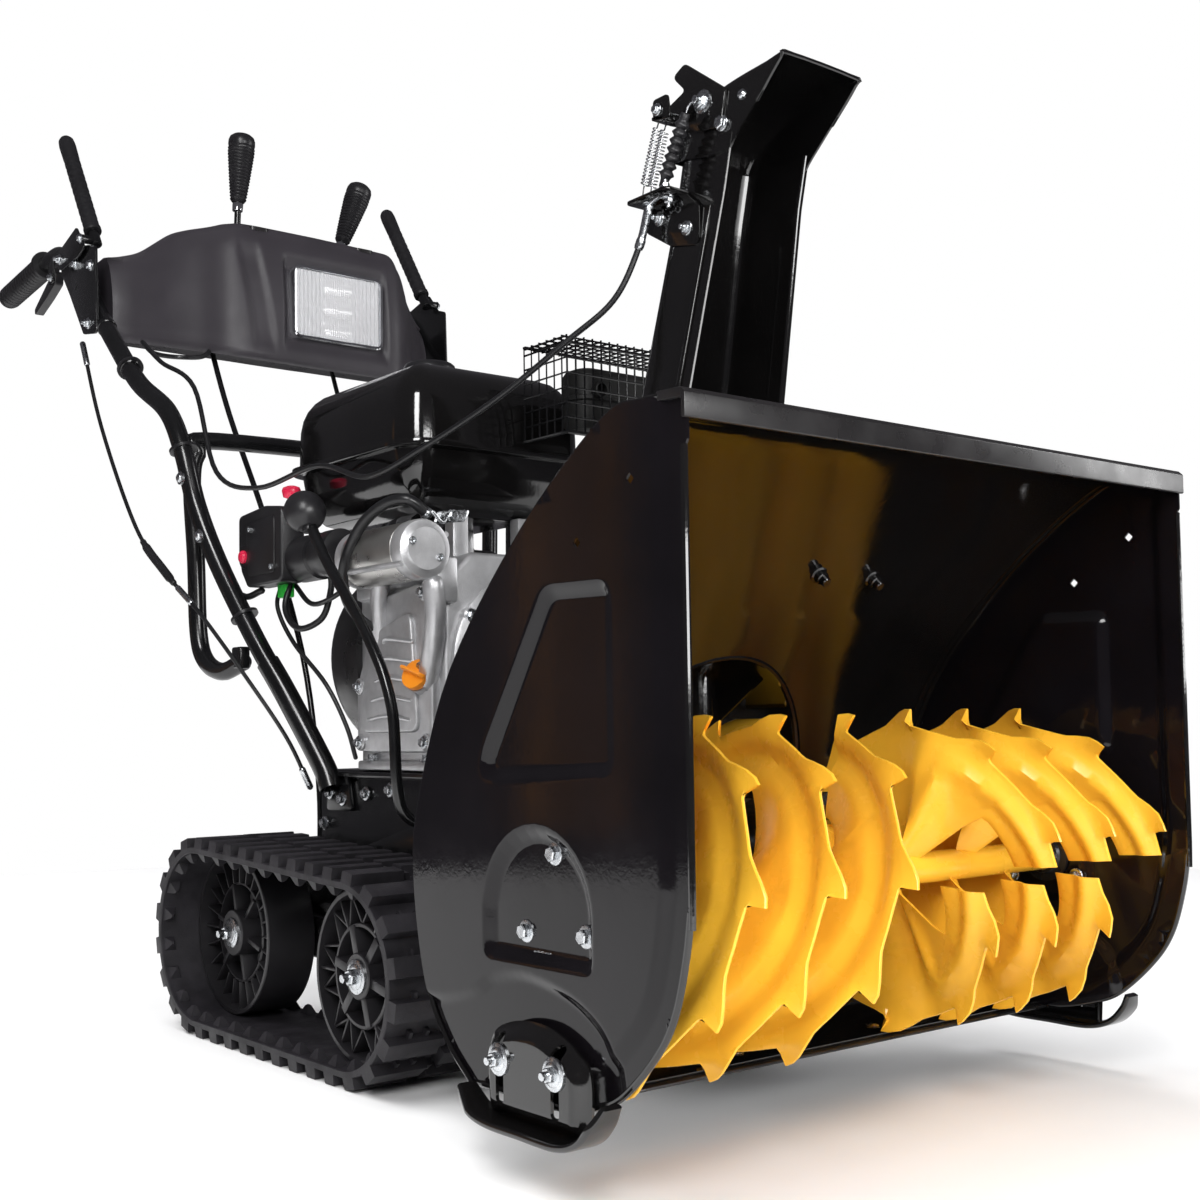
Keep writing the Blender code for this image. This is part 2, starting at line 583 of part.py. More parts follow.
def make_engine():
    base = FRAME_TOP + GAP
    engine = prism("engine_block", [(-0.150, base), (0.105, base), (0.105, 0.560), (0.060, 0.610),
                                    (-0.110, 0.610), (-0.150, 0.570)], 0.660, 0.870, "Y", "cast_aluminium")
    cover = turned("crankcase_cover", place(ENGINE_X - 0.015, 0.645, 0.475), (0, 1, 0),
                   [(0.0, 0.085), (0.008, 0.105), (0.020, 0.105)], 20)
    head = box("cylinder_head", (0.10, 0.250), (0.685, 0.845), (0.410, 0.590))
    shroud = turned("fan_shroud", place(ENGINE_X, 0.865, CRANK_HEIGHT + 0.020), (0, 1, 0),
                    [(0.0, 0.140), (0.075, 0.140), (0.088, 0.120)], 24)
    crank = rod("crankshaft", place(ENGINE_X, 0.532, CRANK_HEIGHT), place(ENGINE_X, 0.650, CRANK_HEIGHT),
                0.0125, 16)
    posts = box("tank_posts", (-0.120, 0.010), (0.700, 0.860), (0.600, 0.6615))
    join(engine, cover, head, shroud, crank, posts)
    sump = box("sump", (-0.135, 0.090), (0.674, 0.855), (base - 0.01, 0.560))
    cut(engine, sump)
    turned("crank_pulley", place(ENGINE_X, PULLEY_BACK - 0.014, CRANK_HEIGHT), (0, 1, 0),
           [(0.0, 0.046), (0.006, 0.046), (0.012, 0.032), (0.016, 0.032), (0.022, 0.046), (0.028, 0.046)],
           20, "bare_steel")
    cut(bpy.data.objects["crank_pulley"],
        rod("crank_bore", place(ENGINE_X, 0.53, CRANK_HEIGHT), place(ENGINE_X, 0.60, CRANK_HEIGHT),
            0.0125 + GAP, 16))

    dip = turned("dipstick", place(-0.1605, 0.700, 0.455), (-0.85, -0.30, 0.42),
                 [(0.004, 0.016), (0.012, 0.016), (0.018, 0.022), (0.030, 0.020)], 12, "orange_plastic")
    dip.name = "dipstick"

    turned("starter_motor", place(-0.1885, 0.640, 0.607), (0, 1, 0),
           [(0.0, 0.026), (0.006, 0.036), (0.150, 0.036), (0.156, 0.028), (0.172, 0.028)], 20, "cast_aluminium")

    recoil = turned("recoil_starter", place(ENGINE_X, 0.9535, CRANK_HEIGHT + 0.020), (0, 1, 0),
                    [(0.0, 0.100), (0.022, 0.095), (0.034, 0.060)], 24, "black_plastic")
    join(recoil, box("rope_guide", (0.030, 0.060), (0.956, 0.974), (0.560, 0.600)))
    handle = turned("recoil_handle", place(0.010, 0.965, 0.611), (1, 0, 0),
                    [(0.0, 0.006), (0.006, 0.0095), (0.064, 0.0095), (0.070, 0.006)], 10, "black_plastic")
    handle.name = "recoil_handle"


def belt_loop(radius_high, radius_low, inset):
    """Outline round the two pulleys as (x, height)."""
    high, low = Vector((ENGINE_X, CRANK_HEIGHT)), Vector((0.0, IMPELLER_HEIGHT))
    high_r, low_r = radius_high - inset, radius_low - inset
    run = high - low
    lean = math.acos((low_r - high_r) / run.length)
    heading = math.atan2(run.y, run.x)
    points = circle_outline(high, high_r, 10, heading - lean, heading + lean)
    points += circle_outline(low, low_r, 20, heading + lean, heading - lean + 2.0 * math.pi)
    return points


def make_belt():
    belt = prism("auger_belt", belt_loop(0.0460, 0.0840, 0.001), PULLEY_BACK - 0.0018, PULLEY_BACK + 0.0018,
                 "Y", "track_rubber")
    cut(belt, prism("belt_inside", belt_loop(0.0460, 0.0840, 0.0135), 0.54, 0.58, "Y"))


def make_fuel_tank():
    x, back, corner = (-0.197, 0.085), (0.668, 0.985), 0.045
    levels = [(0.662, 0.050), (0.676, 0.026), (0.736, 0.008), (0.7365, -0.006), (0.7445, -0.006),
              (0.745, 0.004), (0.805, 0.008), (0.838, 0.026), (0.858, 0.070)]
    loops = [[place(px, pb, height) for px, pb in rounded_rectangle(x, back, corner, inset)]
             for height, inset in levels]
    tank = loft("fuel_tank", loops, "black_paint")
    inner = [(0.668, 0.054), (0.678, 0.032), (0.736, 0.014), (0.804, 0.014), (0.834, 0.032), (0.852, 0.076)]
    cut(tank, loft("tank_room", [[place(px, pb, height) for px, pb in rounded_rectangle(x, back, corner, inset)]
                                 for height, inset in inner]))
    neck = place(-0.034, 0.875, 0.850)
    join(tank, turned("filler_neck", neck, (0, 0, 1), [(0.0, 0.027), (0.016, 0.027)], 16))
    cut(tank, turned("filler_hole", neck - Vector((0, 0, 0.01)), (0, 0, 1), [(0.0, 0.021), (0.040, 0.021)], 16))
    cap = turned("fuel_cap", place(-0.034, 0.875, 0.8615), (0, 0, 1),
                 [(0.0, 0.038), (0.026, 0.038), (0.034, 0.030)], 24, "black_plastic")
    cut(cap, turned("cap_hollow", place(-0.034, 0.875, 0.850), (0, 0, 1), [(0.0, 0.0275), (0.0195, 0.0275)], 16))


def make_engine_details():
    case = prism("switch_box", [(0.930, 0.590), (1.030, 0.590), (1.048, 0.612), (1.056, 0.640), (1.056, 0.690),
                                (0.978, 0.696), (0.930, 0.690)], -0.232, -0.196, "X", "black_plastic")
    link = rod("box_neck", place(-0.1955, 0.83, 0.621), place(-0.1955, 0.94, 0.621), 0.030, 16)
    join(case, link)
    cut(case, rod("button_hole", place(-0.250, 1.035, 0.632), place(-0.214, 1.035, 0.632), 0.0095, 12))
    rod("stop_button", place(-0.240, 1.035, 0.632), place(-0.2225, 1.035, 0.632), 0.0090, 12, "red_plastic")

    muffler = loft("muffler", [[place(px, pb, height) for px, pb in
                                rounded_rectangle((0.005, 0.190), (0.586, 0.646), 0.028, inset)]
                               for height, inset in ((0.764, 0.012), (0.772, 0.0), (0.836, 0.0), (0.844, 0.012))],
                   "bare_steel")
    join(muffler, sweep("exhaust_pipe", smooth_path([place(0.160, 0.615, 0.800), place(0.170, 0.650, 0.740),
                                                     place(0.172, 0.720, 0.690), place(0.172, 0.730, 0.630),
                                                     place(0.172, 0.730, 0.5925)], 3), 0.014, 10))
    guard = box("muffler_guard", (-0.030, 0.215), (0.572, 0.660), (0.752, 0.872), "bare_steel")
    cut(guard, box("guard_room", (-0.0275, 0.2125), (0.5745, 0.6700), (0.740, 0.8695)))
    for number in range(4):
        left = -0.020 + 0.058 * number
        cut(guard, box(f"guard_top_slot_{number}", (left, left + 0.050), (0.584, 0.650), (0.86, 0.90)))
        cut(guard, box(f"guard_front_slot_{number}", (left, left + 0.050), (0.56, 0.58), (0.764, 0.860)))
    cut(guard, box("guard_side_slots", (-0.05, 0.23), (0.584, 0.650), (0.764, 0.860)))


# ------------------------------------------------------------------------ tracks
def track_outline(inset, lugs=0, lug_height=0.0):
    """Loop round the sprocket and the idler as (back, height), with square lugs if wanted."""
    rear = Vector((SPROCKET_BACK, SPROCKET_HEIGHT))
    front = Vector((IDLER_BACK, IDLER_HEIGHT))
    rear_r, front_r = SPROCKET_HEIGHT - inset, IDLER_HEIGHT - inset
    run = rear - front
    heading = math.atan2(run.y, run.x)
    lean = math.acos((front_r - rear_r) / run.length)
    straight = math.sqrt(run.length_squared - (rear_r - front_r) ** 2)
    rear_arc, front_arc = 2.0 * lean * rear_r, 2.0 * (math.pi - lean) * front_r
    total = rear_arc + front_arc + 2.0 * straight

    def at(distance, height):
        distance %= total
        if distance < rear_arc:
            angle = heading - lean + distance / rear_r
            return rear + Vector((math.cos(angle), math.sin(angle))) * (rear_r + height)
        distance -= rear_arc
        normal = Vector((math.cos(heading + lean), math.sin(heading + lean)))
        if distance < straight:
            return rear + normal * (rear_r + height) + Vector((normal.y, -normal.x)) * -distance
        distance -= straight
        if distance < front_arc:
            angle = heading + lean + distance / front_r
            return front + Vector((math.cos(angle), math.sin(angle))) * (front_r + height)
        distance -= front_arc
        normal = Vector((math.cos(heading - lean), math.sin(heading - lean)))
        return front + normal * (front_r + height) + Vector((-normal.y, normal.x)) * distance

    if not lugs:
        return [tuple(at(total * i / 56, 0.0)) for i in range(56)]
    pitch = total / lugs
    points = []
    for i in range(lugs):
        start = pitch * i
        points += [at(start, 0.0), at(start + pitch * 0.40, 0.0), at(start + pitch * 0.46, lug_height),
                   at(start + pitch * 0.94, lug_height)]
    return [tuple(p) for p in points]


def make_track(side, label):
    outer = track_outline(LUG_HEIGHT, 34, LUG_HEIGHT)
    x0, x1 = sorted((side * TRACK_OUTER, side * TRACK_INNER))
    belt = prism(f"track_belt_{label}", outer, x0, x1, "X", "track_rubber")
    cut(belt, prism(f"belt_room_{label}", track_outline(LUG_HEIGHT + CARCASS), x0 - 0.01, x1 + 0.01, "X"))

    wheel_gap = LUG_HEIGHT + CARCASS + 0.001
    make_wheel(f"drive_sprocket_{label}", side, (SPROCKET_BACK, SPROCKET_HEIGHT), SPROCKET_HEIGHT - wheel_gap,
               0.196, 0.262)
    make_wheel(f"idler_wheel_{label}", side, (IDLER_BACK, IDLER_HEIGHT), IDLER_HEIGHT - wheel_gap, 0.196, 0.292)


def make_wheel(name, side, centre, radius, inside, outside):
    """Dished wheel with six windows and a hub bored for its axle."""
    width = outside - inside
    start = place(side * inside, *centre)
    profile = [(0.0, radius), (width, radius)]
    wheel = turned(name, start, (side, 0, 0), profile, 32, "black_plastic")
    dish = [(width * 0.35, radius - 0.010), (width + 0.01, radius - 0.010)]
    cut(wheel, turned(f"{name}_dish", start, (side, 0, 0), dish, 32))
    hub = turned(f"{name}_hub", start, (side, 0, 0), [(width * 0.2, 0.030), (width + 0.002, 0.030)], 16)
    join(wheel, hub)
    for number in range(6):
        angle = math.pi / 3.0 * number
        middle = (centre[0] + 0.062 * math.cos(angle), centre[1] + 0.062 * math.sin(angle))
        window = rod(f"{name}_window_{number}", place(side * (inside - 0.02), *middle),
                     place(side * (outside + 0.02), *middle), 0.021, 8)
        cut(wheel, window)
    cut(wheel, rod(f"{name}_bore", place(side * (inside - 0.02), *centre), place(side * (outside + 0.02), *centre),
                   AXLE_RADIUS + GAP, 16))


def make_drive():
    """Axle through the frame, and the carriage that holds the idler wheels."""
    end = 0.268
    rod("drive_axle", place(-end, SPROCKET_BACK, SPROCKET_HEIGHT), place(end, SPROCKET_BACK, SPROCKET_HEIGHT),
        AXLE_RADIUS, 16, "bare_steel")
    end = 0.302
    frame = rod("track_frame", place(-end, IDLER_BACK, IDLER_HEIGHT), place(end, IDLER_BACK, IDLER_HEIGHT),
                AXLE_RADIUS, 16, "black_paint")
    for side, label in ((-1, "right"), (1, "left")):
        x0, x1 = sorted((side * 0.176, side * 0.190))
        rail = [(IDLER_BACK - 0.030, IDLER_HEIGHT - 0.022), (SPROCKET_BACK + 0.030, SPROCKET_HEIGHT - 0.028),
                (SPROCKET_BACK + 0.030, SPROCKET_HEIGHT + 0.028), (IDLER_BACK - 0.030, IDLER_HEIGHT + 0.022)]
        join(frame, prism(f"rail_{label}", rail, x0, x1, "X"))
        cut(frame, rod(f"rail_hole_{label}", place(side * 0.16, SPROCKET_BACK, SPROCKET_HEIGHT),
                       place(side * 0.20, SPROCKET_BACK, SPROCKET_HEIGHT), AXLE_RADIUS + GAP, 16))


# -------------------------------------------------------------------- handlebars
def handle_route(side):
    """Centre line of a handlebar, from the frame's side up to the grip."""
    inward = [(0.1670, 0.916, 0.318), (0.172, 0.930, 0.350), (0.200, 0.980, 0.445), (0.222, 1.020, 0.515),
              (0.250, 1.076, 0.622), (0.270, 1.106, 0.707), (0.284, 1.120, 0.786), (0.291, 1.158, 0.848),
              (0.296, 1.250, 0.905), (HANDLE_X, 1.336, 0.984), (HANDLE_X, 1.420, 1.062),
              (HANDLE_X, 1.500, 1.138), (HANDLE_X, 1.560, 1.172), (HANDLE_X, 1.620, 1.177)]
    return [place(side * x, back, height) for x, back, height in inward]


def make_handlebar(side, label):
    path = smooth_path(handle_route(side), 2)
    tip = place(side * HANDLE_X, 1.820, 1.165)
    bar = sweep(f"handlebar_{label}", path + [tip], HANDLE_RADIUS, 12, "black_paint")
    x0, x1 = sorted((side * (HANDLE_X + 0.0125), side * (HANDLE_X + 0.0195)))
    plate = [(1.365, 1.000), (1.420, 1.010), (1.480, 1.085), (1.520, 1.130), (1.505, 1.165), (1.475, 1.160),
             (1.400, 1.145), (1.370, 1.135)]
    join(bar, prism(f"lever_bracket_{label}", plate, x0, x1, "X"))
    foot = [(0.885, 0.292), (0.945, 0.292), (0.958, 0.338), (0.895, 0.338)]
    join(bar, prism(f"handle_foot_{label}", foot, *sorted((side * 0.1505, side * 0.162)), "X"))

    x0, x1 = sorted((side * (HANDLE_X + 0.0075), side * (HANDLE_X + 0.0105)))
    join(bar, box(f"trigger_ear_{label}", (x0, x1), (1.574, 1.598), (1.130, 1.171)))

    x_grip = place(side * HANDLE_X, 1.640, 1.1759)
    axis = tip - x_grip
    grip = turned(f"grip_{label}", x_grip, axis, [(0.0, 0.0195), (0.188, 0.0185), (0.197, 0.012)], 14,
                  "track_rubber")
    cut(grip, turned(f"grip_bore_{label}", x_grip - axis.normalized() * 0.01, axis,
                     [(0.0, HANDLE_RADIUS + 0.001), (axis.length + 0.0105, HANDLE_RADIUS + 0.001)], 14))


def make_lever(side, label):
    """Clutch lever that stands up when released and folds down on the grip."""
    x_arm = HANDLE_X + 0.0200
    foot, top = place(side * HANDLE_X, 1.408, 1.150), place(side * HANDLE_X, 1.549, 1.362)
    length = (top - foot).length
    lever = turned(f"clutch_lever_{label}", foot, top - foot,
                   [(0.0, 0.0118), (length - 0.012, 0.0132), (length - 0.004, 0.009), (length, 0.004)], 12,
                   "track_rubber")
    arm = [(1.398, 1.140), (1.424, 1.132), (1.500, 1.128), (1.522, 1.140), (1.516, 1.160), (1.434, 1.180)]
    x0, x1 = sorted((side * x_arm, side * (x_arm + 0.004)))
    link = rod(f"lever_link_{label}", place(side * (HANDLE_X + 0.005), 1.413, 1.157),
               place(side * (x_arm + 0.002), 1.413, 1.157), 0.007, 8)
    join(lever, prism(f"lever_arm_{label}", arm, x0, x1, "X"), link)

    hang = TRIGGER_PIVOT
    trigger = [(hang[0] - 0.012, hang[1] + 0.012), (hang[0] + 0.012, hang[1] + 0.006), (hang[0] + 0.090, hang[1] - 0.032),
               (hang[0] + 0.088, hang[1] - 0.042), (hang[0] + 0.030, hang[1] - 0.026), (hang[0] - 0.010, hang[1] - 0.012)]
    prism(f"steer_trigger_{label}", trigger, *sorted((side * (HANDLE_X - 0.007), side * (HANDLE_X + 0.007))),
          "X", "black_plastic")


def make_hoop():
    half = [(0.2275, 1.050, 0.490), (0.237, 1.095, 0.478), (0.246, 1.130, 0.494), (0.250, 1.146, 0.535),
            (0.252, 1.150, 0.640), (0.256, 1.154, 0.745), (0.248, 1.154, 0.790), (0.215, 1.154, 0.812)]
    right = [place(-x, back, height) for x, back, height in half]
    left = [place(x, back, height) for x, back, height in reversed(half)]
    path = smooth_path(right + left, 2)
    sweep("rear_hoop", path, 0.0125, 10, "black_paint")


def make_console():
    """Moulded dashboard between the handlebars, open underneath."""
    end = HANDLE_X - HANDLE_RADIUS - 0.003
    plan = [(-end, 1.470), (-end, 1.395), (-0.160, 1.255), (0.160, 1.255), (end, 1.395), (end, 1.470),
            (0.200, 1.500), (-0.200, 1.500)]
    foot = [(-end, 1.470), (-end, 1.385), (-0.145, 1.240), (0.145, 1.240), (end, 1.385), (end, 1.470),
            (0.200, 1.500), (-0.200, 1.500)]
    low = [1.005, 1.000, 0.978, 0.978, 1.000, 1.005, 1.015, 1.015]
    high = [1.105, 1.100, 1.150, 1.150, 1.100, 1.105, 1.150, 1.150]
    crown = [(x * 0.86, 1.375 + (back - 1.375) * 0.80) for x, back in plan]
    console = loft("console", [[place(x, back, z) for (x, back), z in zip(foot, low)],
                               [place(x, back, z) for (x, back), z in zip(plan, high)],
                               [place(x, back, 1.168) for x, back in crown]], "grey_plastic")
    shrink = 0.97
    room = [[place(x * shrink, 1.375 + (back - 1.375) * 0.955, z - 0.02) for (x, back), z in zip(foot, low)],
            [place(x * shrink, 1.375 + (back - 1.375) * 0.955, z - 0.004) for (x, back), z in zip(plan, high)],
            [place(x * shrink, 1.375 + (back - 1.375) * 0.955, 1.164) for x, back in crown]]
    cut(console, loft("console_room", room))
    for name, x in (("speed_slot", -0.094), ("deflector_slot", 0.088)):
        cut(console, box(name, (x - 0.011, x + 0.011), (1.300, 1.400), (1.12, 1.20)))
    cut(console, box("lamp_window", (-0.066, 0.126), (1.20, 1.30), (1.004, 1.126)))
    lamp = box("headlight", (-0.0655, 0.1255), (1.232, 1.268), (1.0045, 1.1255), "lamp")
    cut(lamp, box("lamp_room", (-0.060, 0.120), (1.240, 1.300), (1.010, 1.120)))


def make_stick(name, foot, low, high):
    """Selector lever: a rod from its pivot up to a ribbed knob."""
    axis = high - low
    knob = turned(name, low, axis, [(0.0, 0.009), (0.010, 0.013), (axis.length - 0.012, 0.020),
                                    (axis.length, 0.014)], 12, "black_plastic")
    join(knob, rod(f"{name}_stem", foot, low + axis * 0.2, 0.0055, 8))
    join(knob, rod(f"{name}_boss", foot - Vector((0.010, 0, 0)), foot + Vector((0.010, 0, 0)), 0.011, 10))


def make_levers():
    make_stick("speed_lever", place(-0.098, 1.350, 1.075), place(-0.092, 1.350, 1.240),
               place(-0.084, 1.350, 1.355))
    make_stick("deflector_lever", place(0.074, 1.350, 1.075), place(0.095, 1.350, 1.210),
               place(0.134, 1.350, 1.318))
    path = smooth_path([place(-0.163, 0.628, 0.282), place(-0.225, 0.640, 0.300), place(-0.236, 0.645, 0.420),
                        place(-0.245, 0.680, 0.500), place(-0.254, 0.765, 0.600), place(-0.258, 0.800, 0.650)], 4)
    lever = sweep("track_lever", path, 0.007, 8, "black_paint")
    ball = turned("track_ball", place(-0.259, 0.800, 0.640), (-0.05, 0.35, 0.93),
                  [(0.0, 0.008), (0.006, 0.017), (0.016, 0.0245), (0.026, 0.0265), (0.036, 0.0245),
                   (0.046, 0.016), (0.051, 0.006)], 14)
    plate = box("track_lever_foot", (-0.166, -0.1505), (0.618, 0.640), (0.255, 0.300))
    join(lever, ball, plate)


# ------------------------------------------------------------------------ cables
def make_cables():
    route = [place(-0.074, 0.364, 0.9625), place(-0.076, 0.381, 0.918), place(-0.092, 0.406, 0.864),
             place(-0.125, 0.450, 0.822), place(-0.165, 0.526, 0.768), place(-0.205, 0.620, 0.722),
             place(-0.222, 0.720, 0.700), place(-0.230, 0.830, 0.7285), place(-0.248, 0.960, 0.716),
             place(-0.262, 1.060, 0.750), place(-0.2635, 1.130, 0.880), place(-0.270, 1.230, 0.935),
             place(-0.262, 1.320, 0.985)]
    sweep("deflector_cable", smooth_path(route, 3), 0.0035, 6, "black_plastic")

    for side, label in ((-1, "right"), (1, "left")):
        wire = [(0.302, 1.462, 1.006), (0.300, 1.386, 0.861), (0.296, 1.262, 0.696), (0.292, 1.162, 0.619),
                (0.278, 1.076, 0.555), (0.245, 1.010, 0.470), (0.196, 0.985, 0.385), (0.166, 0.976, 0.318)]
        points = [place(side * x, back, height) for x, back, height in wire]
        sweep(f"clutch_cable_{label}", smooth_path(points, 3), 0.0030, 6, "black_plastic")


def main():
    for old in list(bpy.data.objects):
        bpy.data.objects.remove(old)
    make_housing()
    make_impeller_housing()
    make_gearbox()
    make_impeller()
    make_chute()
    make_deflector()
    make_frame()
    make_engine()
    make_belt()
    make_fuel_tank()
    make_engine_details()
    make_drive()
    make_hoop()
    make_console()
    make_levers()
    make_cables()
    for side, label in ((-1, "right"), (1, "left")):
        make_skid_shoe(side, label)
        make_auger(side, label)
        make_track(side, label)
        make_handlebar(side, label)
        make_lever(side, label)


main()
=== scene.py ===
"""Finished look of the two-stage snowblower, in the frame of its CAD model.

Metres, +Z up, mouth towards -Y, the machine's right-hand side at -X.  Every
piece is made from outlines, loops and paths in the machine's own measures:
x across, "back" behind the housing's front edge, and height above the ground.
"""

import math

import bmesh
import bpy
import numpy as np
from mathutils import Matrix, Vector
from mathutils.geometry import delaunay_2d_cdt


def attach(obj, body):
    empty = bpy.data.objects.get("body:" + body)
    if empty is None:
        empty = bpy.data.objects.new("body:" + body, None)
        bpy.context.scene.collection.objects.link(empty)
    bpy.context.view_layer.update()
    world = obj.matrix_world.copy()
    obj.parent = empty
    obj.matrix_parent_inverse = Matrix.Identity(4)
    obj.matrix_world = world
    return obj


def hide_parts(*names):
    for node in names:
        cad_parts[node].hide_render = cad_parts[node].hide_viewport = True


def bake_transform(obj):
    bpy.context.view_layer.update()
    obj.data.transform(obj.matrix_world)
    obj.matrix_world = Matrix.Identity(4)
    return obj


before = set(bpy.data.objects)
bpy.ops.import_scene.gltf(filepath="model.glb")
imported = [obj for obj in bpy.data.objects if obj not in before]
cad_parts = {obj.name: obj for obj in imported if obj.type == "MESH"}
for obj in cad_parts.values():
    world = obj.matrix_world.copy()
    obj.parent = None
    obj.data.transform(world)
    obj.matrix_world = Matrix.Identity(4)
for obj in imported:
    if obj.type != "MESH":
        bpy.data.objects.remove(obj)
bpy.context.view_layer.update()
scene = bpy.context.scene

LENGTH_MIDDLE = 0.917
SIDES = ((-1, "right"), (1, "left"))
TAU = 2.0 * math.pi


def place(x, back, height):
    """World point from the machine's own measures."""
    return Vector((x, back - LENGTH_MIDDLE, height))


# ------------------------------------------------------------------------ camera
CAMERA_TURNS = (-38.496, 3.044, -0.855)   # yaw, pitch and roll in degrees
CAMERA_PLACE = (-1.1431, -1.7862, 0.3937)
LENS_LENGTH = 45.435
LENS_SHIFT = (0.0064, 0.0386)


def make_camera():
    """Low three-quarter view from the machine's front right."""
    yaw, pitch, roll = (math.radians(a) for a in CAMERA_TURNS)
    ahead = Vector((-math.sin(yaw) * math.cos(pitch), math.cos(yaw) * math.cos(pitch), math.sin(pitch)))
    across = Vector((math.cos(yaw), math.sin(yaw), 0.0))
    up = across.cross(ahead)
    right = across * math.cos(roll) + up * math.sin(roll)
    top = up * math.cos(roll) - across * math.sin(roll)
    turn = Matrix((right, top, -ahead)).transposed().to_4x4()
    turn.translation = Vector(CAMERA_PLACE)
    data = bpy.data.cameras.new("camera")
    data.sensor_width = 36.0
    data.lens = LENS_LENGTH
    data.shift_x, data.shift_y = LENS_SHIFT
    data.clip_start = 0.01
    camera = bpy.data.objects.new("camera", data)
    scene.collection.objects.link(camera)
    camera.matrix_world = turn
    scene.camera = camera


make_camera()


# --------------------------------------------------------------------- materials
def finish_material(name, colour, roughness, metallic=0.0, tint=0.0, tint_scale=9.0, spread=0.0,
                    spread_scale=25.0, bumps=(), grain=None, specular=0.5):
    """Procedural surface in object space.

    tint shifts the colour in soft patches, spread varies the roughness, bumps
    lists (scale, height, strength) of noise relief, grain adds brushed lines.
    """
    material = bpy.data.materials.new(name)
    material.use_nodes = True
    nodes, links = material.node_tree.nodes, material.node_tree.links
    shader = nodes["Principled BSDF"]
    shader.inputs["Metallic"].default_value = metallic
    shader.inputs["Specular IOR Level"].default_value = specular
    place_node = nodes.new("ShaderNodeTexCoord")

    def noise(scale, detail=3.0, rough=0.55):
        node = nodes.new("ShaderNodeTexNoise")
        node.inputs["Scale"].default_value = scale
        node.inputs["Detail"].default_value = detail
        node.inputs["Roughness"].default_value = rough
        links.new(place_node.outputs["Object"], node.inputs["Vector"])
        return node

    ramp = nodes.new("ShaderNodeValToRGB")
    low = tuple(max(c * (1.0 - tint), 0.0) for c in colour)
    high = tuple(min(c * (1.0 + tint), 1.0) for c in colour)
    ramp.color_ramp.elements[0].position, ramp.color_ramp.elements[1].position = 0.3, 0.7
    ramp.color_ramp.elements[0].color = (*low, 1.0)
    ramp.color_ramp.elements[1].color = (*high, 1.0)
    links.new(noise(tint_scale, 4.0).outputs["Fac"], ramp.inputs["Fac"])
    links.new(ramp.outputs["Color"], shader.inputs["Base Color"])

    span = nodes.new("ShaderNodeMapRange")
    span.inputs["To Min"].default_value = max(roughness - spread, 0.02)
    span.inputs["To Max"].default_value = min(roughness + spread, 1.0)
    span.inputs["From Min"].default_value, span.inputs["From Max"].default_value = 0.3, 0.7
    links.new(noise(spread_scale, 4.0).outputs["Fac"], span.inputs["Value"])
    links.new(span.outputs["Result"], shader.inputs["Roughness"])

    normal = None
    for scale, height, strength in bumps:
        bump = nodes.new("ShaderNodeBump")
        bump.inputs["Distance"].default_value = height
        bump.inputs["Strength"].default_value = strength
        links.new(noise(scale, 2.0).outputs["Fac"], bump.inputs["Height"])
        if normal:
            links.new(normal, bump.inputs["Normal"])
        normal = bump.outputs["Normal"]
    if grain:
        direction, scale, strength = grain
        stretch = nodes.new("ShaderNodeMapping")
        stretch.inputs["Scale"].default_value = tuple(scale * (0.04 if i == direction else 1.0)
                                                      for i in range(3))
        links.new(place_node.outputs["Object"], stretch.inputs["Vector"])
        lines = nodes.new("ShaderNodeTexNoise")
        lines.inputs["Scale"].default_value = 1.0
        links.new(stretch.outputs["Vector"], lines.inputs["Vector"])
        bump = nodes.new("ShaderNodeBump")
        bump.inputs["Distance"].default_value = 0.0002
        bump.inputs["Strength"].default_value = strength
        links.new(lines.outputs["Fac"], bump.inputs["Height"])
        if normal:
            links.new(normal, bump.inputs["Normal"])
        normal = bump.outputs["Normal"]
    if normal:
        links.new(normal, shader.inputs["Normal"])
    return material


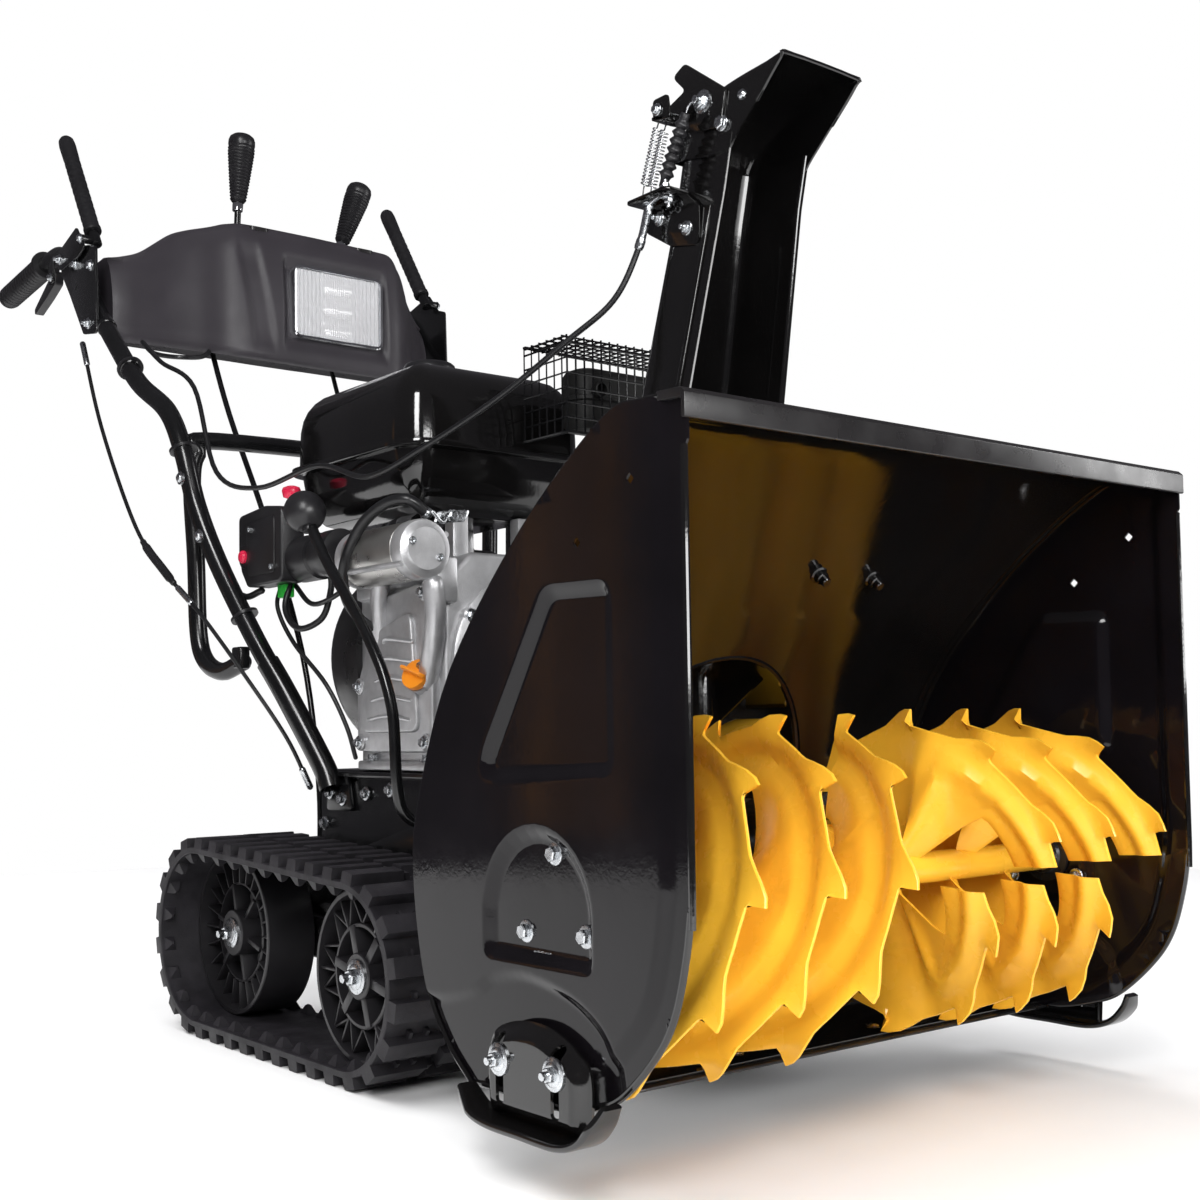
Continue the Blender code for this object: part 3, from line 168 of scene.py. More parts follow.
M = {
    "gloss": finish_material("gloss_black_enamel", (0.0045, 0.0042, 0.0042), 0.09, tint=0.25, spread=0.03,
                             bumps=((140.0, 0.0006, 0.10), (420.0, 0.0003, 0.07)), specular=0.75),
    "plate": finish_material("side_plate_enamel", (0.0048, 0.0040, 0.0050), 0.09, tint=0.25, spread=0.03,
                             bumps=((140.0, 0.0006, 0.08), (420.0, 0.0003, 0.05)), specular=0.36),
    "satin": finish_material("satin_black_enamel", (0.012, 0.011, 0.0115), 0.30, tint=0.3, spread=0.07,
                             bumps=((300.0, 0.0004, 0.12),), specular=0.5),
    "tube": finish_material("tube_black_enamel", (0.006, 0.006, 0.0065), 0.20, tint=0.3, spread=0.06,
                            bumps=((260.0, 0.0004, 0.10),), specular=0.6),
    "yellow": finish_material("yellow_enamel", (0.92, 0.495, 0.036), 0.27, tint=0.05, tint_scale=6.0,
                              spread=0.05,
                              bumps=((90.0, 0.0010, 0.10), (380.0, 0.0003, 0.08)), specular=0.5),
    "zinc": finish_material("zinc_plate", (0.62, 0.64, 0.66), 0.26, metallic=1.0, tint=0.16, tint_scale=120.0,
                            spread=0.09, spread_scale=300.0, bumps=((700.0, 0.0002, 0.15),)),
    "chrome": finish_material("chromed_wire", (0.75, 0.76, 0.78), 0.12, metallic=1.0, tint=0.08,
                              tint_scale=60.0,
                              spread=0.04, bumps=((500.0, 0.0001, 0.1),)),
    "cast": finish_material("cast_aluminium", (0.56, 0.56, 0.57), 0.42, metallic=0.75, tint=0.12,
                            tint_scale=45.0,
                            spread=0.08, bumps=((520.0, 0.0007, 0.32), (60.0, 0.0012, 0.12))),
    "motor": finish_material("zinc_motor_case", (0.50, 0.49, 0.47), 0.30, metallic=0.9, tint=0.10,
                             tint_scale=25.0,
                             spread=0.06, grain=(1, 900.0, 0.25)),
    "rubber": finish_material("track_rubber", (0.018, 0.0165, 0.0195), 0.55, tint=0.35, tint_scale=35.0,
                              spread=0.12,
                              bumps=((420.0, 0.0006, 0.35), (70.0, 0.0015, 0.20)), specular=0.4),
    "grip": finish_material("grip_rubber", (0.012, 0.0115, 0.013), 0.42, tint=0.25, spread=0.08,
                            bumps=((600.0, 0.0004, 0.25),), specular=0.45),
    "plastic": finish_material("moulded_black_plastic", (0.013, 0.0125, 0.014), 0.34, tint=0.25, spread=0.07,
                               bumps=((650.0, 0.0003, 0.22),), specular=0.5),
    "console": finish_material("textured_grey_plastic", (0.034, 0.030, 0.036), 0.47, tint=0.12,
                               tint_scale=14.0,
                               spread=0.05, bumps=((950.0, 0.0004, 0.42), (120.0, 0.0006, 0.06)),
                               specular=0.5),
    "wheel": finish_material("wheel_plastic", (0.017, 0.016, 0.018), 0.38, tint=0.25, spread=0.08,
                             bumps=((380.0, 0.0004, 0.22),), specular=0.5),
    "red": finish_material("red_button_plastic", (0.72, 0.02, 0.07), 0.28, tint=0.08, spread=0.04,
                           bumps=((300.0, 0.0003, 0.1),)),
    "orange": finish_material("orange_plastic", (0.95, 0.30, 0.015), 0.36, tint=0.07, spread=0.05,
                              bumps=((420.0, 0.0004, 0.2),)),
    "green": finish_material("green_plastic", (0.02, 0.45, 0.04), 0.40, tint=0.1, spread=0.05,
                             bumps=((420.0, 0.0004, 0.2),)),
    "brass": finish_material("brass_fitting", (0.70, 0.50, 0.20), 0.28, metallic=1.0, tint=0.12, spread=0.08,
                             bumps=((500.0, 0.0002, 0.15),)),
    "muffler": finish_material("heat_black_steel", (0.010, 0.0098, 0.0095), 0.55, tint=0.4, tint_scale=30.0,
                               spread=0.12, bumps=((520.0, 0.0005, 0.35),), specular=0.4),
    "hose": finish_material("black_hose", (0.010, 0.010, 0.011), 0.36, tint=0.25, spread=0.10,
                            bumps=((500.0, 0.0004, 0.25),), specular=0.5),
    "blade": finish_material("blade_steel", (0.05, 0.05, 0.052), 0.36, metallic=0.8, tint=0.25,
                             tint_scale=30.0,
                             spread=0.12, grain=(0, 500.0, 0.3)),
    "shaft": finish_material("turned_steel", (0.42, 0.42, 0.43), 0.28, metallic=1.0, tint=0.1, spread=0.08,
                             grain=(0, 800.0, 0.2)),
    "reflector": finish_material("lamp_reflector", (0.92, 0.92, 0.92), 0.30, metallic=0.85, tint=0.04,
                                 spread=0.04,
                                 bumps=((80.0, 0.0006, 0.12),)),
    "lens": None,
}


def lens_material():
    """Clear fluted plastic over the lamp's reflector."""
    material = finish_material("lamp_lens", (0.86, 0.86, 0.88), 0.10, tint=0.02, spread=0.03)
    shader = material.node_tree.nodes["Principled BSDF"]
    shader.inputs["Transmission Weight"].default_value = 0.30
    shader.inputs["IOR"].default_value = 1.50
    return material


M["lens"] = lens_material()


# ------------------------------------------------------------------- shape tools
def smooth_path(points, steps):
    """Catmull-Rom curve through points."""
    points = [Vector(p) for p in points]
    padded = [points[0] * 2 - points[1]] + points + [points[-1] * 2 - points[-2]]
    path = []
    for p0, p1, p2, p3 in zip(padded, padded[1:], padded[2:], padded[3:]):
        for i in range(steps):
            t = i / steps
            path.append(0.5 * (2 * p1 + (p2 - p0) * t + (2 * p0 - 5 * p1 + 4 * p2 - p3) * t ** 2
                               + (3 * p1 - p0 - 3 * p2 + p3) * t ** 3))
    path.append(points[-1])
    return path


def ring(centre, axis, radius, sides, phase=0.0):
    """World points of a circle about an axis."""
    turn = Vector(axis).normalized().to_track_quat("Z", "Y")
    return [Vector(centre) + turn @ Vector((radius * math.cos(a), radius * math.sin(a), 0.0))
            for a in (TAU * i / sides + phase for i in range(sides))]


def fillet(outline, radius, steps=5):
    """Closed outline with its corners rounded; radius is one number or one per corner."""
    count = len(outline)
    radii = radius if isinstance(radius, (list, tuple)) else [radius] * count
    points = []
    for i in range(count):
        corner = Vector(outline[i])
        before, after = Vector(outline[i - 1]) - corner, Vector(outline[(i + 1) % count]) - corner
        half = before.angle(after) / 2.0
        reach = min(radii[i] / max(math.tan(half), 1e-6), before.length * 0.49, after.length * 0.49)
        if radii[i] <= 0 or half > 1.5:
            points.append(tuple(corner))
            continue
        start, end = corner + before.normalized() * reach, corner + after.normalized() * reach
        for k in range(steps + 1):
            t = k / steps
            points.append(tuple(start * (1 - t) ** 2 + corner * 2 * t * (1 - t) + end * t * t))
    return points


def resample(outline, step, closed=True):
    """Outline with points added so that none lie further apart than step."""
    points = []
    pairs = zip(outline, outline[1:] + outline[:1]) if closed else zip(outline, outline[1:])
    for a, b in pairs:
        a, b = Vector(a), Vector(b)
        count = max(1, math.ceil((b - a).length / step))
        points += [tuple(a.lerp(b, i / count)) for i in range(count)]
    if not closed:
        points.append(tuple(outline[-1]))
    return points


def arc(centre, radius, start, end, steps):
    return [(centre[0] + radius * math.cos(start + (end - start) * i / steps),
             centre[1] + radius * math.sin(start + (end - start) * i / steps)) for i in range(steps + 1)]


class Shape:
    """Collects closed forms that make up one piece."""

    def __init__(self):
        self.bm = bmesh.new()

    def absorb(self, bm, edge=0.0, segments=2, angle=28.0):
        bmesh.ops.remove_doubles(bm, verts=bm.verts, dist=2e-6)
        bmesh.ops.recalc_face_normals(bm, faces=bm.faces)
        if edge > 0:
            limit = math.radians(angle)
            sharp = [e for e in bm.edges if len(e.link_faces) == 2 and e.calc_face_angle(0.0) > limit]
            bmesh.ops.bevel(bm, geom=sharp, offset=edge, offset_type="OFFSET", segments=segments, profile=0.5,
                            affect="EDGES", clamp_overlap=True)
        mesh = bpy.data.meshes.new("part")
        bm.to_mesh(mesh)
        bm.free()
        self.bm.from_mesh(mesh)
        bpy.data.meshes.remove(mesh)
        return self

    def loft(self, loops, caps=True, edge=0.0, segments=2, closed=True, wrap=False):
        bm = bmesh.new()
        rows = [[bm.verts.new(p) for p in loop] for loop in loops]
        count = len(rows[0])
        pairs = list(zip(rows, rows[1:]))
        if wrap:
            pairs.append((rows[-1], rows[0]))
        for lower, upper in pairs:
            for i in range(count if closed else count - 1):
                k = (i + 1) % count
                bm.faces.new((lower[i], lower[k], upper[k], upper[i]))
        if caps and not wrap:
            bm.faces.new(rows[0])
            bm.faces.new(list(reversed(rows[-1])))
        return self.absorb(bm, edge, segments)

    def lathe(self, start, axis, profile, sides=32, edge=0.0, caps=True, segments=2, phase=0.0):
        """Solid of revolution: profile is (distance along the axis, radius)."""
        start, axis = Vector(start), Vector(axis).normalized()
        return self.loft([ring(start + axis * along, axis, max(radius, 1e-5), sides, phase)
                          for along, radius in profile], caps, edge, segments)

    def rod(self, start, end, radius, sides=16, edge=0.0):
        start, end = Vector(start), Vector(end)
        return self.lathe(start, end - start, [(0.0, radius), ((end - start).length, radius)], sides, edge)

    def tube(self, path, radius, sides=12, steps=6, round_ends=False, closed=False):
        """Round bar along a smooth path; radius is a number or a function of the share along it."""
        path = smooth_path(path, steps) if steps > 1 else [Vector(p) for p in path]
        size = radius if callable(radius) else (lambda share: radius)
        side, loops = None, []
        last = len(path) - 1
        for i, point in enumerate(path):
            if closed:
                ahead = path[(i + 1) % len(path)] - path[i - 1]
            else:
                ahead = path[min(i + 1, last)] - path[max(i - 1, 0)]
            ahead.normalize()
            side = ahead.orthogonal() if side is None else side - ahead * side.dot(ahead)
            side.normalize()
            other = ahead.cross(side)
            here = size(i / last)

            def loop(centre, reach):
                return [centre + (side * math.cos(a) + other * math.sin(a)) * reach
                        for a in (TAU * k / sides for k in range(sides))]
            if round_ends and i == 0:
                loops += [loop(point - ahead * here * 0.75, here * 0.35),
                          loop(point - ahead * here * 0.5, here * 0.75)]
            loops.append(loop(point, here))
            if round_ends and i == last:
                loops += [loop(point + ahead * here * 0.5, here * 0.75),
                          loop(point + ahead * here * 0.75, here * 0.35)]
        return self.loft(loops, not closed, wrap=closed)

    def prism(self, outline, low, high, along="X", edge=0.0008, segments=2):
        """Closed outline pushed between two levels.

        (back, height) for X, (x, height) for Y, (x, back) for Z.
        """
        def point(pair, level):
            if along == "X":
                return place(level, pair[0], pair[1])
            if along == "Y":
                return place(pair[0], level, pair[1])
            return place(pair[0], pair[1], level)
        return self.loft([[point(pair, low) for pair in outline], [point(pair, high) for pair in outline]],
                         True, edge, segments)

    def box(self, x, back, height, edge=0.0012, segments=2):
        outline = [(back[0], height[0]), (back[1], height[0]), (back[1], height[1]), (back[0], height[1])]
        return self.prism(outline, x[0], x[1], "X", edge, segments)

    def bolt(self, at, axis, size=0.0065, head=0.0055, style="flange"):
        """Fastener on a surface: flange, hex, dome, nut or screw."""
        at, axis = Vector(at), Vector(axis).normalized()
        if style == "dome":
            self.lathe(at, axis, [(0, size), (head * 0.3, size * 0.97), (head * 0.65, size * 0.75),
                                  (head * 0.9, size * 0.4), (head, size * 0.05)], 20)
            return self
        if style == "screw":
            self.lathe(at, axis, [(0, size), (head * 0.8, size * 0.96), (head, size * 0.8),
                                  (head * 0.98, size * 0.5),
                                  (head * 0.4, size * 0.42), (head * 0.4, 0.0)], 18)
            return self
        skirt = size * (1.55 if style != "hex" else 1.25)
        self.lathe(at, axis, [(0, skirt), (0.0012, skirt), (0.0018, skirt * 0.93), (0.0022, size)], 24)
        flats = at + axis * 0.0018
        self.lathe(flats, axis, [(0, size * 1.02), (head * 0.82, size * 1.02), (head, size * 0.86)], 6,
                   phase=0.3)
        if style == "nut":
            self.lathe(flats, axis, [(head * 0.7, size * 0.55), (head * 1.9, size * 0.55),
                                     (head * 2.0, size * 0.45)], 14)
        else:
            self.lathe(flats, axis, [(head * 0.98, size * 0.66), (head * 1.02, size * 0.60),
                                     (head * 0.96, size * 0.5),
                                     (head * 0.94, 0.0)], 18)
        return self

    def make(self, name, material, body, replaces=(), sharp=32.0, subdivide=0, solid=0.0):
        mesh = bpy.data.meshes.new(name)
        self.bm.to_mesh(mesh)
        self.bm.free()
        thing = bpy.data.objects.new(name, mesh)
        scene.collection.objects.link(thing)
        if solid:
            wall = thing.modifiers.new("wall", "SOLIDIFY")
            wall.thickness, wall.offset = solid, -1.0
            done = thing.evaluated_get(bpy.context.evaluated_depsgraph_get())
            thick = bpy.data.meshes.new_from_object(done)
            thing.modifiers.remove(wall)
            thing.data = mesh = thick
            mesh.name = name
        mesh.shade_smooth()
        mesh.set_sharp_from_angle(angle=math.radians(sharp))
        mesh.materials.append(M[material])
        if subdivide:
            smooth = thing.modifiers.new("smooth", "SUBSURF")
            smooth.levels = smooth.render_levels = subdivide
        if body:
            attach(thing, body)
        if replaces:
            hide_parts(*([replaces] if isinstance(replaces, str) else replaces))
        return thing


# ------------------------------------------------------------------------ relief
def distance_inside(points, outline):
    """Signed distance of points to a closed outline, positive inside."""
    points, ring_points = np.asarray(points, float), np.asarray(outline, float)
    nxt = np.roll(ring_points, -1, axis=0)
    run = nxt - ring_points
    best = np.full(len(points), 1e9)
    inside = np.zeros(len(points), bool)
    for a, d, b in zip(ring_points, run, nxt):
        rel = points - a
        t = np.clip(rel @ d / max(d @ d, 1e-18), 0, 1)
        best = np.minimum(best, np.hypot(*(rel - np.outer(t, d)).T))
        crosses = (a[1] > points[:, 1]) != (b[1] > points[:, 1])
        if a[1] != b[1]:
            at = (b[0] - a[0]) * (points[:, 1] - a[1]) / (b[1] - a[1]) + a[0]
            inside ^= crosses & (points[:, 0] < at)
    return np.where(inside, best, -best)


def offset_outline(outline, distance):
    """Closed outline moved inwards by distance, points that crossed over left out."""
    ring_points = np.asarray(outline, float)
    before, after = np.roll(ring_points, 1, axis=0), np.roll(ring_points, -1, axis=0)
    run = after - before
    run /= np.maximum(np.linalg.norm(run, axis=1, keepdims=True), 1e-9)
    area = np.sum(ring_points[:, 0] * after[:, 1] - after[:, 0] * ring_points[:, 1])
    normal = np.stack([-run[:, 1], run[:, 0]], axis=1) * (1.0 if area > 0 else -1.0)
    moved = ring_points + normal * distance
    reach = distance_inside(moved, outline)
    return moved[np.abs(reach) > abs(distance) * 0.93]


def pressed_sheet(outline, reliefs, holes=(), grid=0.014):
    """Flat sheet with pressed reliefs, as points, heights and triangles.

    Each relief is (outline, depth, start, width): the surface sinks by depth as
    the distance inside that outline goes from start to start + width.
    """
    edge_points = resample(outline, 0.006)
    points = list(edge_points)
    for shape, _, start, width in reliefs:
        for share in (-0.13, 0.0, 0.14, 0.3, 0.5, 0.7, 0.86, 1.0, 1.13):
            moved = offset_outline(resample(shape, 0.0045), start + width * share + 1e-5)
            points += [tuple(p) for p in moved]
    for hole in holes:
        points += resample(hole, 0.003)
    low, high = np.min(outline, axis=0), np.max(outline, axis=0)
    us, vs = np.meshgrid(np.arange(low[0], high[0], grid), np.arange(low[1], high[1], grid))
    points += [tuple(p) for p in np.stack([us.ravel(), vs.ravel()], axis=1)]
    points = np.asarray(points)
    keep = distance_inside(points, outline) > 0.0012
    keep[:len(edge_points)] = True
    points = points[keep]
    _, first = np.unique(np.round(points / 0.0009).astype(int), axis=0, return_index=True)
    first = np.sort(np.union1d(first, np.arange(len(edge_points))))
    points = points[first]
    edges = [(i, (i + 1) % len(edge_points)) for i in range(len(edge_points))]
    verts, _, faces, _, _, _ = delaunay_2d_cdt([Vector(p) for p in points], edges, [], 0, 1e-7)
    verts = np.array([tuple(v) for v in verts])
    faces = np.array([f for f in faces if len(f) == 3])
    centres = verts[faces].mean(axis=1)
    keep = distance_inside(centres, outline) > 0
    for hole in holes:
        keep &= distance_inside(centres, hole) < 0
    faces = faces[keep]
    depth = np.zeros(len(verts))
    for shape, sink, start, width in reliefs:
        share = np.clip((distance_inside(verts, shape) - start) / width, 0, 1)
        depth += sink * share * share * (3 - 2 * share)
    return verts, depth, faces


# ---------------------------------------------------------------- light and floor
def make_stage():
    scene.view_settings.view_transform = "Standard"
    floor = Shape()
    floor.lathe(place(0, LENGTH_MIDDLE, -0.006), (0, 0, 1), [(0.0, 2.6), (0.0058, 2.6)], 96)
    M["floor"] = finish_material("pale_floor", (0.92, 0.92, 0.92), 0.6, tint=0.01, spread=0.05,
                                 bumps=((40.0, 0.0005, 0.05),), specular=0.2)
    floor.make("floor", "floor", None)

    world = bpy.data.worlds.new("studio")
    scene.world = world
    world.use_nodes = True
    nodes, links = world.node_tree.nodes, world.node_tree.links
    dim, pale = nodes["Background"], nodes.new("ShaderNodeBackground")
    dim.inputs["Color"].default_value = (0.75, 0.72, 0.80, 1.0)
    dim.inputs["Strength"].default_value = 0.10
    pale.inputs["Color"].default_value = (1.0, 1.0, 1.0, 1.0)
    pale.inputs["Strength"].default_value = 1.0
    path, mix = nodes.new("ShaderNodeLightPath"), nodes.new("ShaderNodeMixShader")
    links.new(path.outputs["Is Camera Ray"], mix.inputs[0])
    links.new(dim.outputs[0], mix.inputs[1])
    links.new(pale.outputs[0], mix.inputs[2])
    links.new(mix.outputs[0], nodes["World Output"].inputs["Surface"])

    def softbox(name, at, towards, size, power, colour=(1.0, 1.0, 1.0)):
        data = bpy.data.lights.new(name, "AREA")
        data.shape, data.size, data.size_y = "RECTANGLE", size[0], size[1]
        data.energy, data.color = power, colour
        lamp = bpy.data.objects.new(name, data)
        scene.collection.objects.link(lamp)
        aim = (Vector(towards) - Vector(at)).to_track_quat("-Z", "Y")
        lamp.matrix_world = Matrix.Translation(at) @ aim.to_matrix().to_4x4()
        return lamp

    key = bpy.data.lights.new("overhead", "SUN")
    key.energy, key.angle = 2.45, math.radians(60.0)
    sky = bpy.data.objects.new("overhead", key)
    scene.collection.objects.link(sky)
    sky.visible_glossy = False
    sky.matrix_world = Matrix.Rotation(math.radians(-14.0), 4, "X") @ Matrix.Rotation(math.radians(-10.0),
                                                                                      4, "Y")
    softbox("front_left", (-2.3, -2.6, 2.3), (0.0, -0.4, 0.5), (0.9, 1.6), 75.0)
    softbox("front_low", (-0.4, -3.3, 1.0), (0.0, -0.7, 0.3), (1.6, 1.0), 62.0)
    softbox("right_fill", (2.6, -1.6, 1.4), (0.0, -0.2, 0.6), (0.7, 1.8), 22.0)
    for across, width, power in ((2.30, 0.07, 0.16), (2.52, 0.05, 0.10), (2.74, 0.09, 0.26)):
        softbox(f"warm_{round(across * 100)}", (-2.9, across, 0.85), (-0.36, -0.7, 0.45), (width, 1.7), power,
                (1.0, 0.42, 0.06))
    softbox("back_top", (-1.2, 2.6, 2.2), (0.0, 0.3, 0.8), (1.4, 0.8), 40.0).visible_glossy = False


make_stage()


# ------------------------------------------------------------------------ bucket
HALF_WIDTH = 0.360
SHEET = 0.003
IMPELLER_HEIGHT = 0.305
DRUM_RADIUS = 0.165
DRUM_REAR = 0.475
AUGER_BACK, AUGER_HEIGHT = 0.178, 0.240
FLOOR, FLOOR_FRONT = 0.0692, 0.192
COLLAR_TOP, CHUTE_BACK = 0.676, 0.368


def housing_curve(steps=8):
    """Outside of the wrapped sheet, from the top front edge round to the floor."""
    shape = [(0.000, 0.652), (0.050, 0.656), (0.101, 0.648), (0.216, 0.569), (0.332, 0.449),
             (0.390, 0.325), (0.400, 0.250), (0.381, 0.154), (0.346, 0.102), (0.305, FLOOR)]
    return [tuple(p) for p in smooth_path([Vector(p) for p in shape], steps)] + [(FLOOR_FRONT, FLOOR)]


FRONT_EDGE = [(0.160, 0.0712), (0.128, 0.079), (0.092, 0.0935), (0.050, 0.131), (0.026, 0.166),
              (0.011, 0.214), (0.003, 0.262), (0.003, 0.612),
              (-0.0005, 0.618), (-0.0005, 0.645)]


def make_side_plate(side, label):
    front = [tuple(p) for p in smooth_path([Vector((FLOOR_FRONT, FLOOR))] + [Vector(p)
                                                                             for p in FRONT_EDGE[:7]], 6)]
    outline = housing_curve(6)[1:] + front[1:] + FRONT_EDGE[7:]
    strip = [(0.6, -0.1)] + [(0.22, 0.0692), (0.200, 0.0692)] + front + FRONT_EDGE[7:] + [(-0.0005, 0.9),
                                                                                          (0.6, 0.9)]
    trapezoid = fillet([(0.186, 0.519), (0.090, 0.517), (0.090, 0.351), (0.303, 0.341)],
                       [0.030, 0.020, 0.020, 0.026], 8)
    arch = [(0.282, 0.186), (0.120, 0.186)] + [(0.120, 0.236)]
    arch += [(0.200 - 0.080 * math.cos(a), 0.232 + 0.077 * math.sin(a)) for a in
             (math.pi * i / 16 for i in range(1, 16))] + [(0.282, 0.236)]
    arch = fillet(arch, 0.014, 4)
    pocket = [tuple(p) for p in smooth_path([Vector(p) for p in (
        (0.395, 0.146), (0.354, 0.147), (0.303, 0.159), (0.271, 0.175), (0.224, 0.183), (0.166, 0.175),
        (0.126, 0.160), (0.100, 0.139), (0.086, 0.105), (0.084, 0.050))], 4)] + [(0.395, 0.050)]
    holes = [[(b, z + 0.0052), (b - 0.0052, z), (b, z - 0.0052), (b + 0.0052, z)]
             for b, z in ((0.064, 0.594), (0.135, 0.549))]
    reliefs = [(trapezoid, 0.0075, 0.0, 0.016), (arch, 0.0070, 0.0, 0.015), (pocket, 0.0050, 0.0, 0.014),
               (strip, -0.0055, 0.018, 0.016)]
    points, depth, faces = pressed_sheet(outline, reliefs, holes)
    depth = depth + 0.0055 * (distance_inside(points, strip) > -1.0)
    plate = Shape()
    verts = [plate.bm.verts.new(place(side * (HALF_WIDTH - d), b, z)) for (b, z), d in zip(points, depth)]
    for a, b, c in faces:
        plate.bm.faces.new((verts[a], verts[b], verts[c]) if side > 0 else (verts[c], verts[b], verts[a]))
    loose = [v for v in plate.bm.verts if not v.link_faces]
    bmesh.ops.delete(plate.bm, geom=loose, context="VERTS")
    plate.make(f"side_plate_{label}", "plate", "chassis", f"side_plate_{label}", 50.0,
               solid=0.0024)

    hem = Shape()
    rim = [place(side * (HALF_WIDTH - 0.0052), b, z) for b, z in
           [(0.30, 0.0700), (0.26, 0.0700), (0.22, 0.0700)] + front[4:] + FRONT_EDGE[7:8]]
    hem.tube(rim, 0.0031, 10, 2, round_ends=True)
    rear = [place(side * (HALF_WIDTH - 0.0025), b, z) for b, z in housing_curve(5)[3:-1]]
    hem.tube(rear, 0.0024, 8, 1, round_ends=True)
    hem.make(f"plate_hem_{label}", "gloss", "chassis")

    inner = HALF_WIDTH - 0.0075
    bolts = Shape()
    for b, z in ((0.180, 0.285), (0.223, 0.215), (0.138, 0.218)):
        bolts.bolt(place(side * inner, b, z), (side, 0, 0), 0.0066, 0.0060)
        bolts.bolt(place(side * (inner - 0.003), b, z), (-side, 0, 0), 0.0056, 0.0050, "nut")
    bolts.box(sorted((side * (inner - 0.0005), side * (inner + 0.0012))), (0.187, 0.212), (0.1955, 0.1995),
              0.0004)
    bolts.make(f"bearing_bolts_{label}", "zinc", "chassis")
    bearing = Shape()
    bearing.lathe(place(side * (inner - 0.0025), AUGER_BACK, AUGER_HEIGHT), (-side, 0, 0),
                  [(0.0, 0.0135), (0.0, 0.030), (0.003, 0.030), (0.004, 0.022), (0.0075, 0.020),
                   (0.008, 0.0135)], 32)
    bearing.make(f"auger_bearing_{label}", "satin", "chassis")


def curve_back(height):
    """Distance back of the wrapped sheet's outside at a height, on its rear part."""
    rear = [p for p in housing_curve() if p[0] > 0.10][:-1]
    return float(np.interp(height, [p[1] for p in reversed(rear)], [p[0] for p in reversed(rear)]))


def make_shell():
    curve = housing_curve(6)
    lengths = np.concatenate([[0.0], np.cumsum([math.dist(a, b) for a, b in zip(curve, curve[1:])])])
    edge = HALF_WIDTH - 0.0064
    rear_from = next(i for i, p in enumerate(curve) if p[0] > 0.101)
    hole = []
    for i in range(96):
        a = TAU * i / 96
        z = IMPELLER_HEIGHT + DRUM_RADIUS * math.sin(a)
        s = float(np.interp(-z, [-p[1] for p in curve[rear_from:-1]], lengths[rear_from:-1]))
        hole.append((DRUM_RADIUS * math.cos(a), s))
    outline = [(-edge, 0.0), (edge, 0.0)] + [(edge, s) for s in lengths[1:]] + [(-edge, s)
                                                                                for s in lengths[:0:-1]]
    points, _, faces = pressed_sheet(outline, [], [hole], 0.012)
    backs = np.interp(points[:, 1], lengths, [p[0] for p in curve])
    heights = np.interp(points[:, 1], lengths, [p[1] for p in curve])
    shell = Shape()
    verts = [shell.bm.verts.new(place(x, b, z)) for (x, _), b, z in zip(points, backs, heights)]
    for a, b, c in faces:
        shell.bm.faces.new((verts[a], verts[b], verts[c]))
    bmesh.ops.delete(shell.bm, geom=[v for v in shell.bm.verts if not v.link_faces], context="VERTS")
    bmesh.ops.recalc_face_normals(shell.bm, faces=shell.bm.faces)
    up = sum((f.normal.y for f in shell.bm.faces if f.calc_center_median().z > 0.2), 0.0)
    if up < 0:
        bmesh.ops.reverse_faces(shell.bm, faces=shell.bm.faces)
    shell.make("bucket_shell", "gloss", "chassis", "housing_shell", 40.0, solid=0.0028)

    bar = Shape()
    bar.prism(fillet([(-0.003, 0.634), (0.0015, 0.634), (0.0015, 0.6505), (0.031, 0.6515), (0.031, 0.6595),
                      (0.002, 0.6585), (-0.003, 0.654)], 0.0012, 2), -edge - 0.0055, edge + 0.0055, "X",
                      0.0006)
    bar.make("top_bar", "satin", "chassis")

    # flanges where the wrap is welded to the side plates
    seams = Shape()
    for side, _ in SIDES:
        for inward, size in ((0.0045, 0.0022), (0.0165, 0.0016)):
            inner = [(b - 0.0035, z) for b, z in curve if b > 0.06][:-2]
            path = []
            for i, (b, z) in enumerate(inner):
                before, after = inner[max(i - 1, 0)], inner[min(i + 1, len(inner) - 1)]
                run = Vector((after[0] - before[0], after[1] - before[1])).normalized()
                path.append(place(side * (edge - inward), b + run.y * 0.0012 + 0.0008, z - run.x * 0.0030))
            seams.tube(path, size, 8, 1, round_ends=True)
    for x in (0.040, 0.125):
        b = curve_back(0.552) - 0.003
        seams.lathe(place(x, b, 0.552), (0, -0.75, -0.65),
                    [(0, 0.010), (0.002, 0.010), (0.003, 0.0075), (0.009, 0.0075),
                                                           (0.010, 0.006), (0.016, 0.0055),
                                                           (0.017, 0.0045)], 18)
    seams.make("shell_seams", "gloss", "chassis")
    studs = Shape()
    for x, b in ((-0.20, 0.262), (0.02, 0.262), (0.22, 0.262)):
        studs.bolt(place(x, b, FLOOR + 0.0034), (0, 0, 1), 0.008, 0.004, "dome")
    for x in (-0.28, -0.10, 0.10, 0.28):
        studs.bolt(place(x, 0.225, FLOOR + 0.0034), (0, 0, 1), 0.0075, 0.0015, "dome")
        studs.bolt(place(x, 0.225, FLOOR - 0.0032), (0, 0, -1), 0.0055, 0.0045, "nut")
    studs.make("blade_bolts", "zinc", "chassis")
    blade = Shape()
    blade.prism(fillet([(0.183, 0.0659), (0.250, 0.0659), (0.250, 0.0688), (0.1840, 0.0688)], 0.0007, 2),
                -edge, edge, "X", 0.0008)
    blade.make("scraper_blade", "blade", "chassis", "scraper_blade")


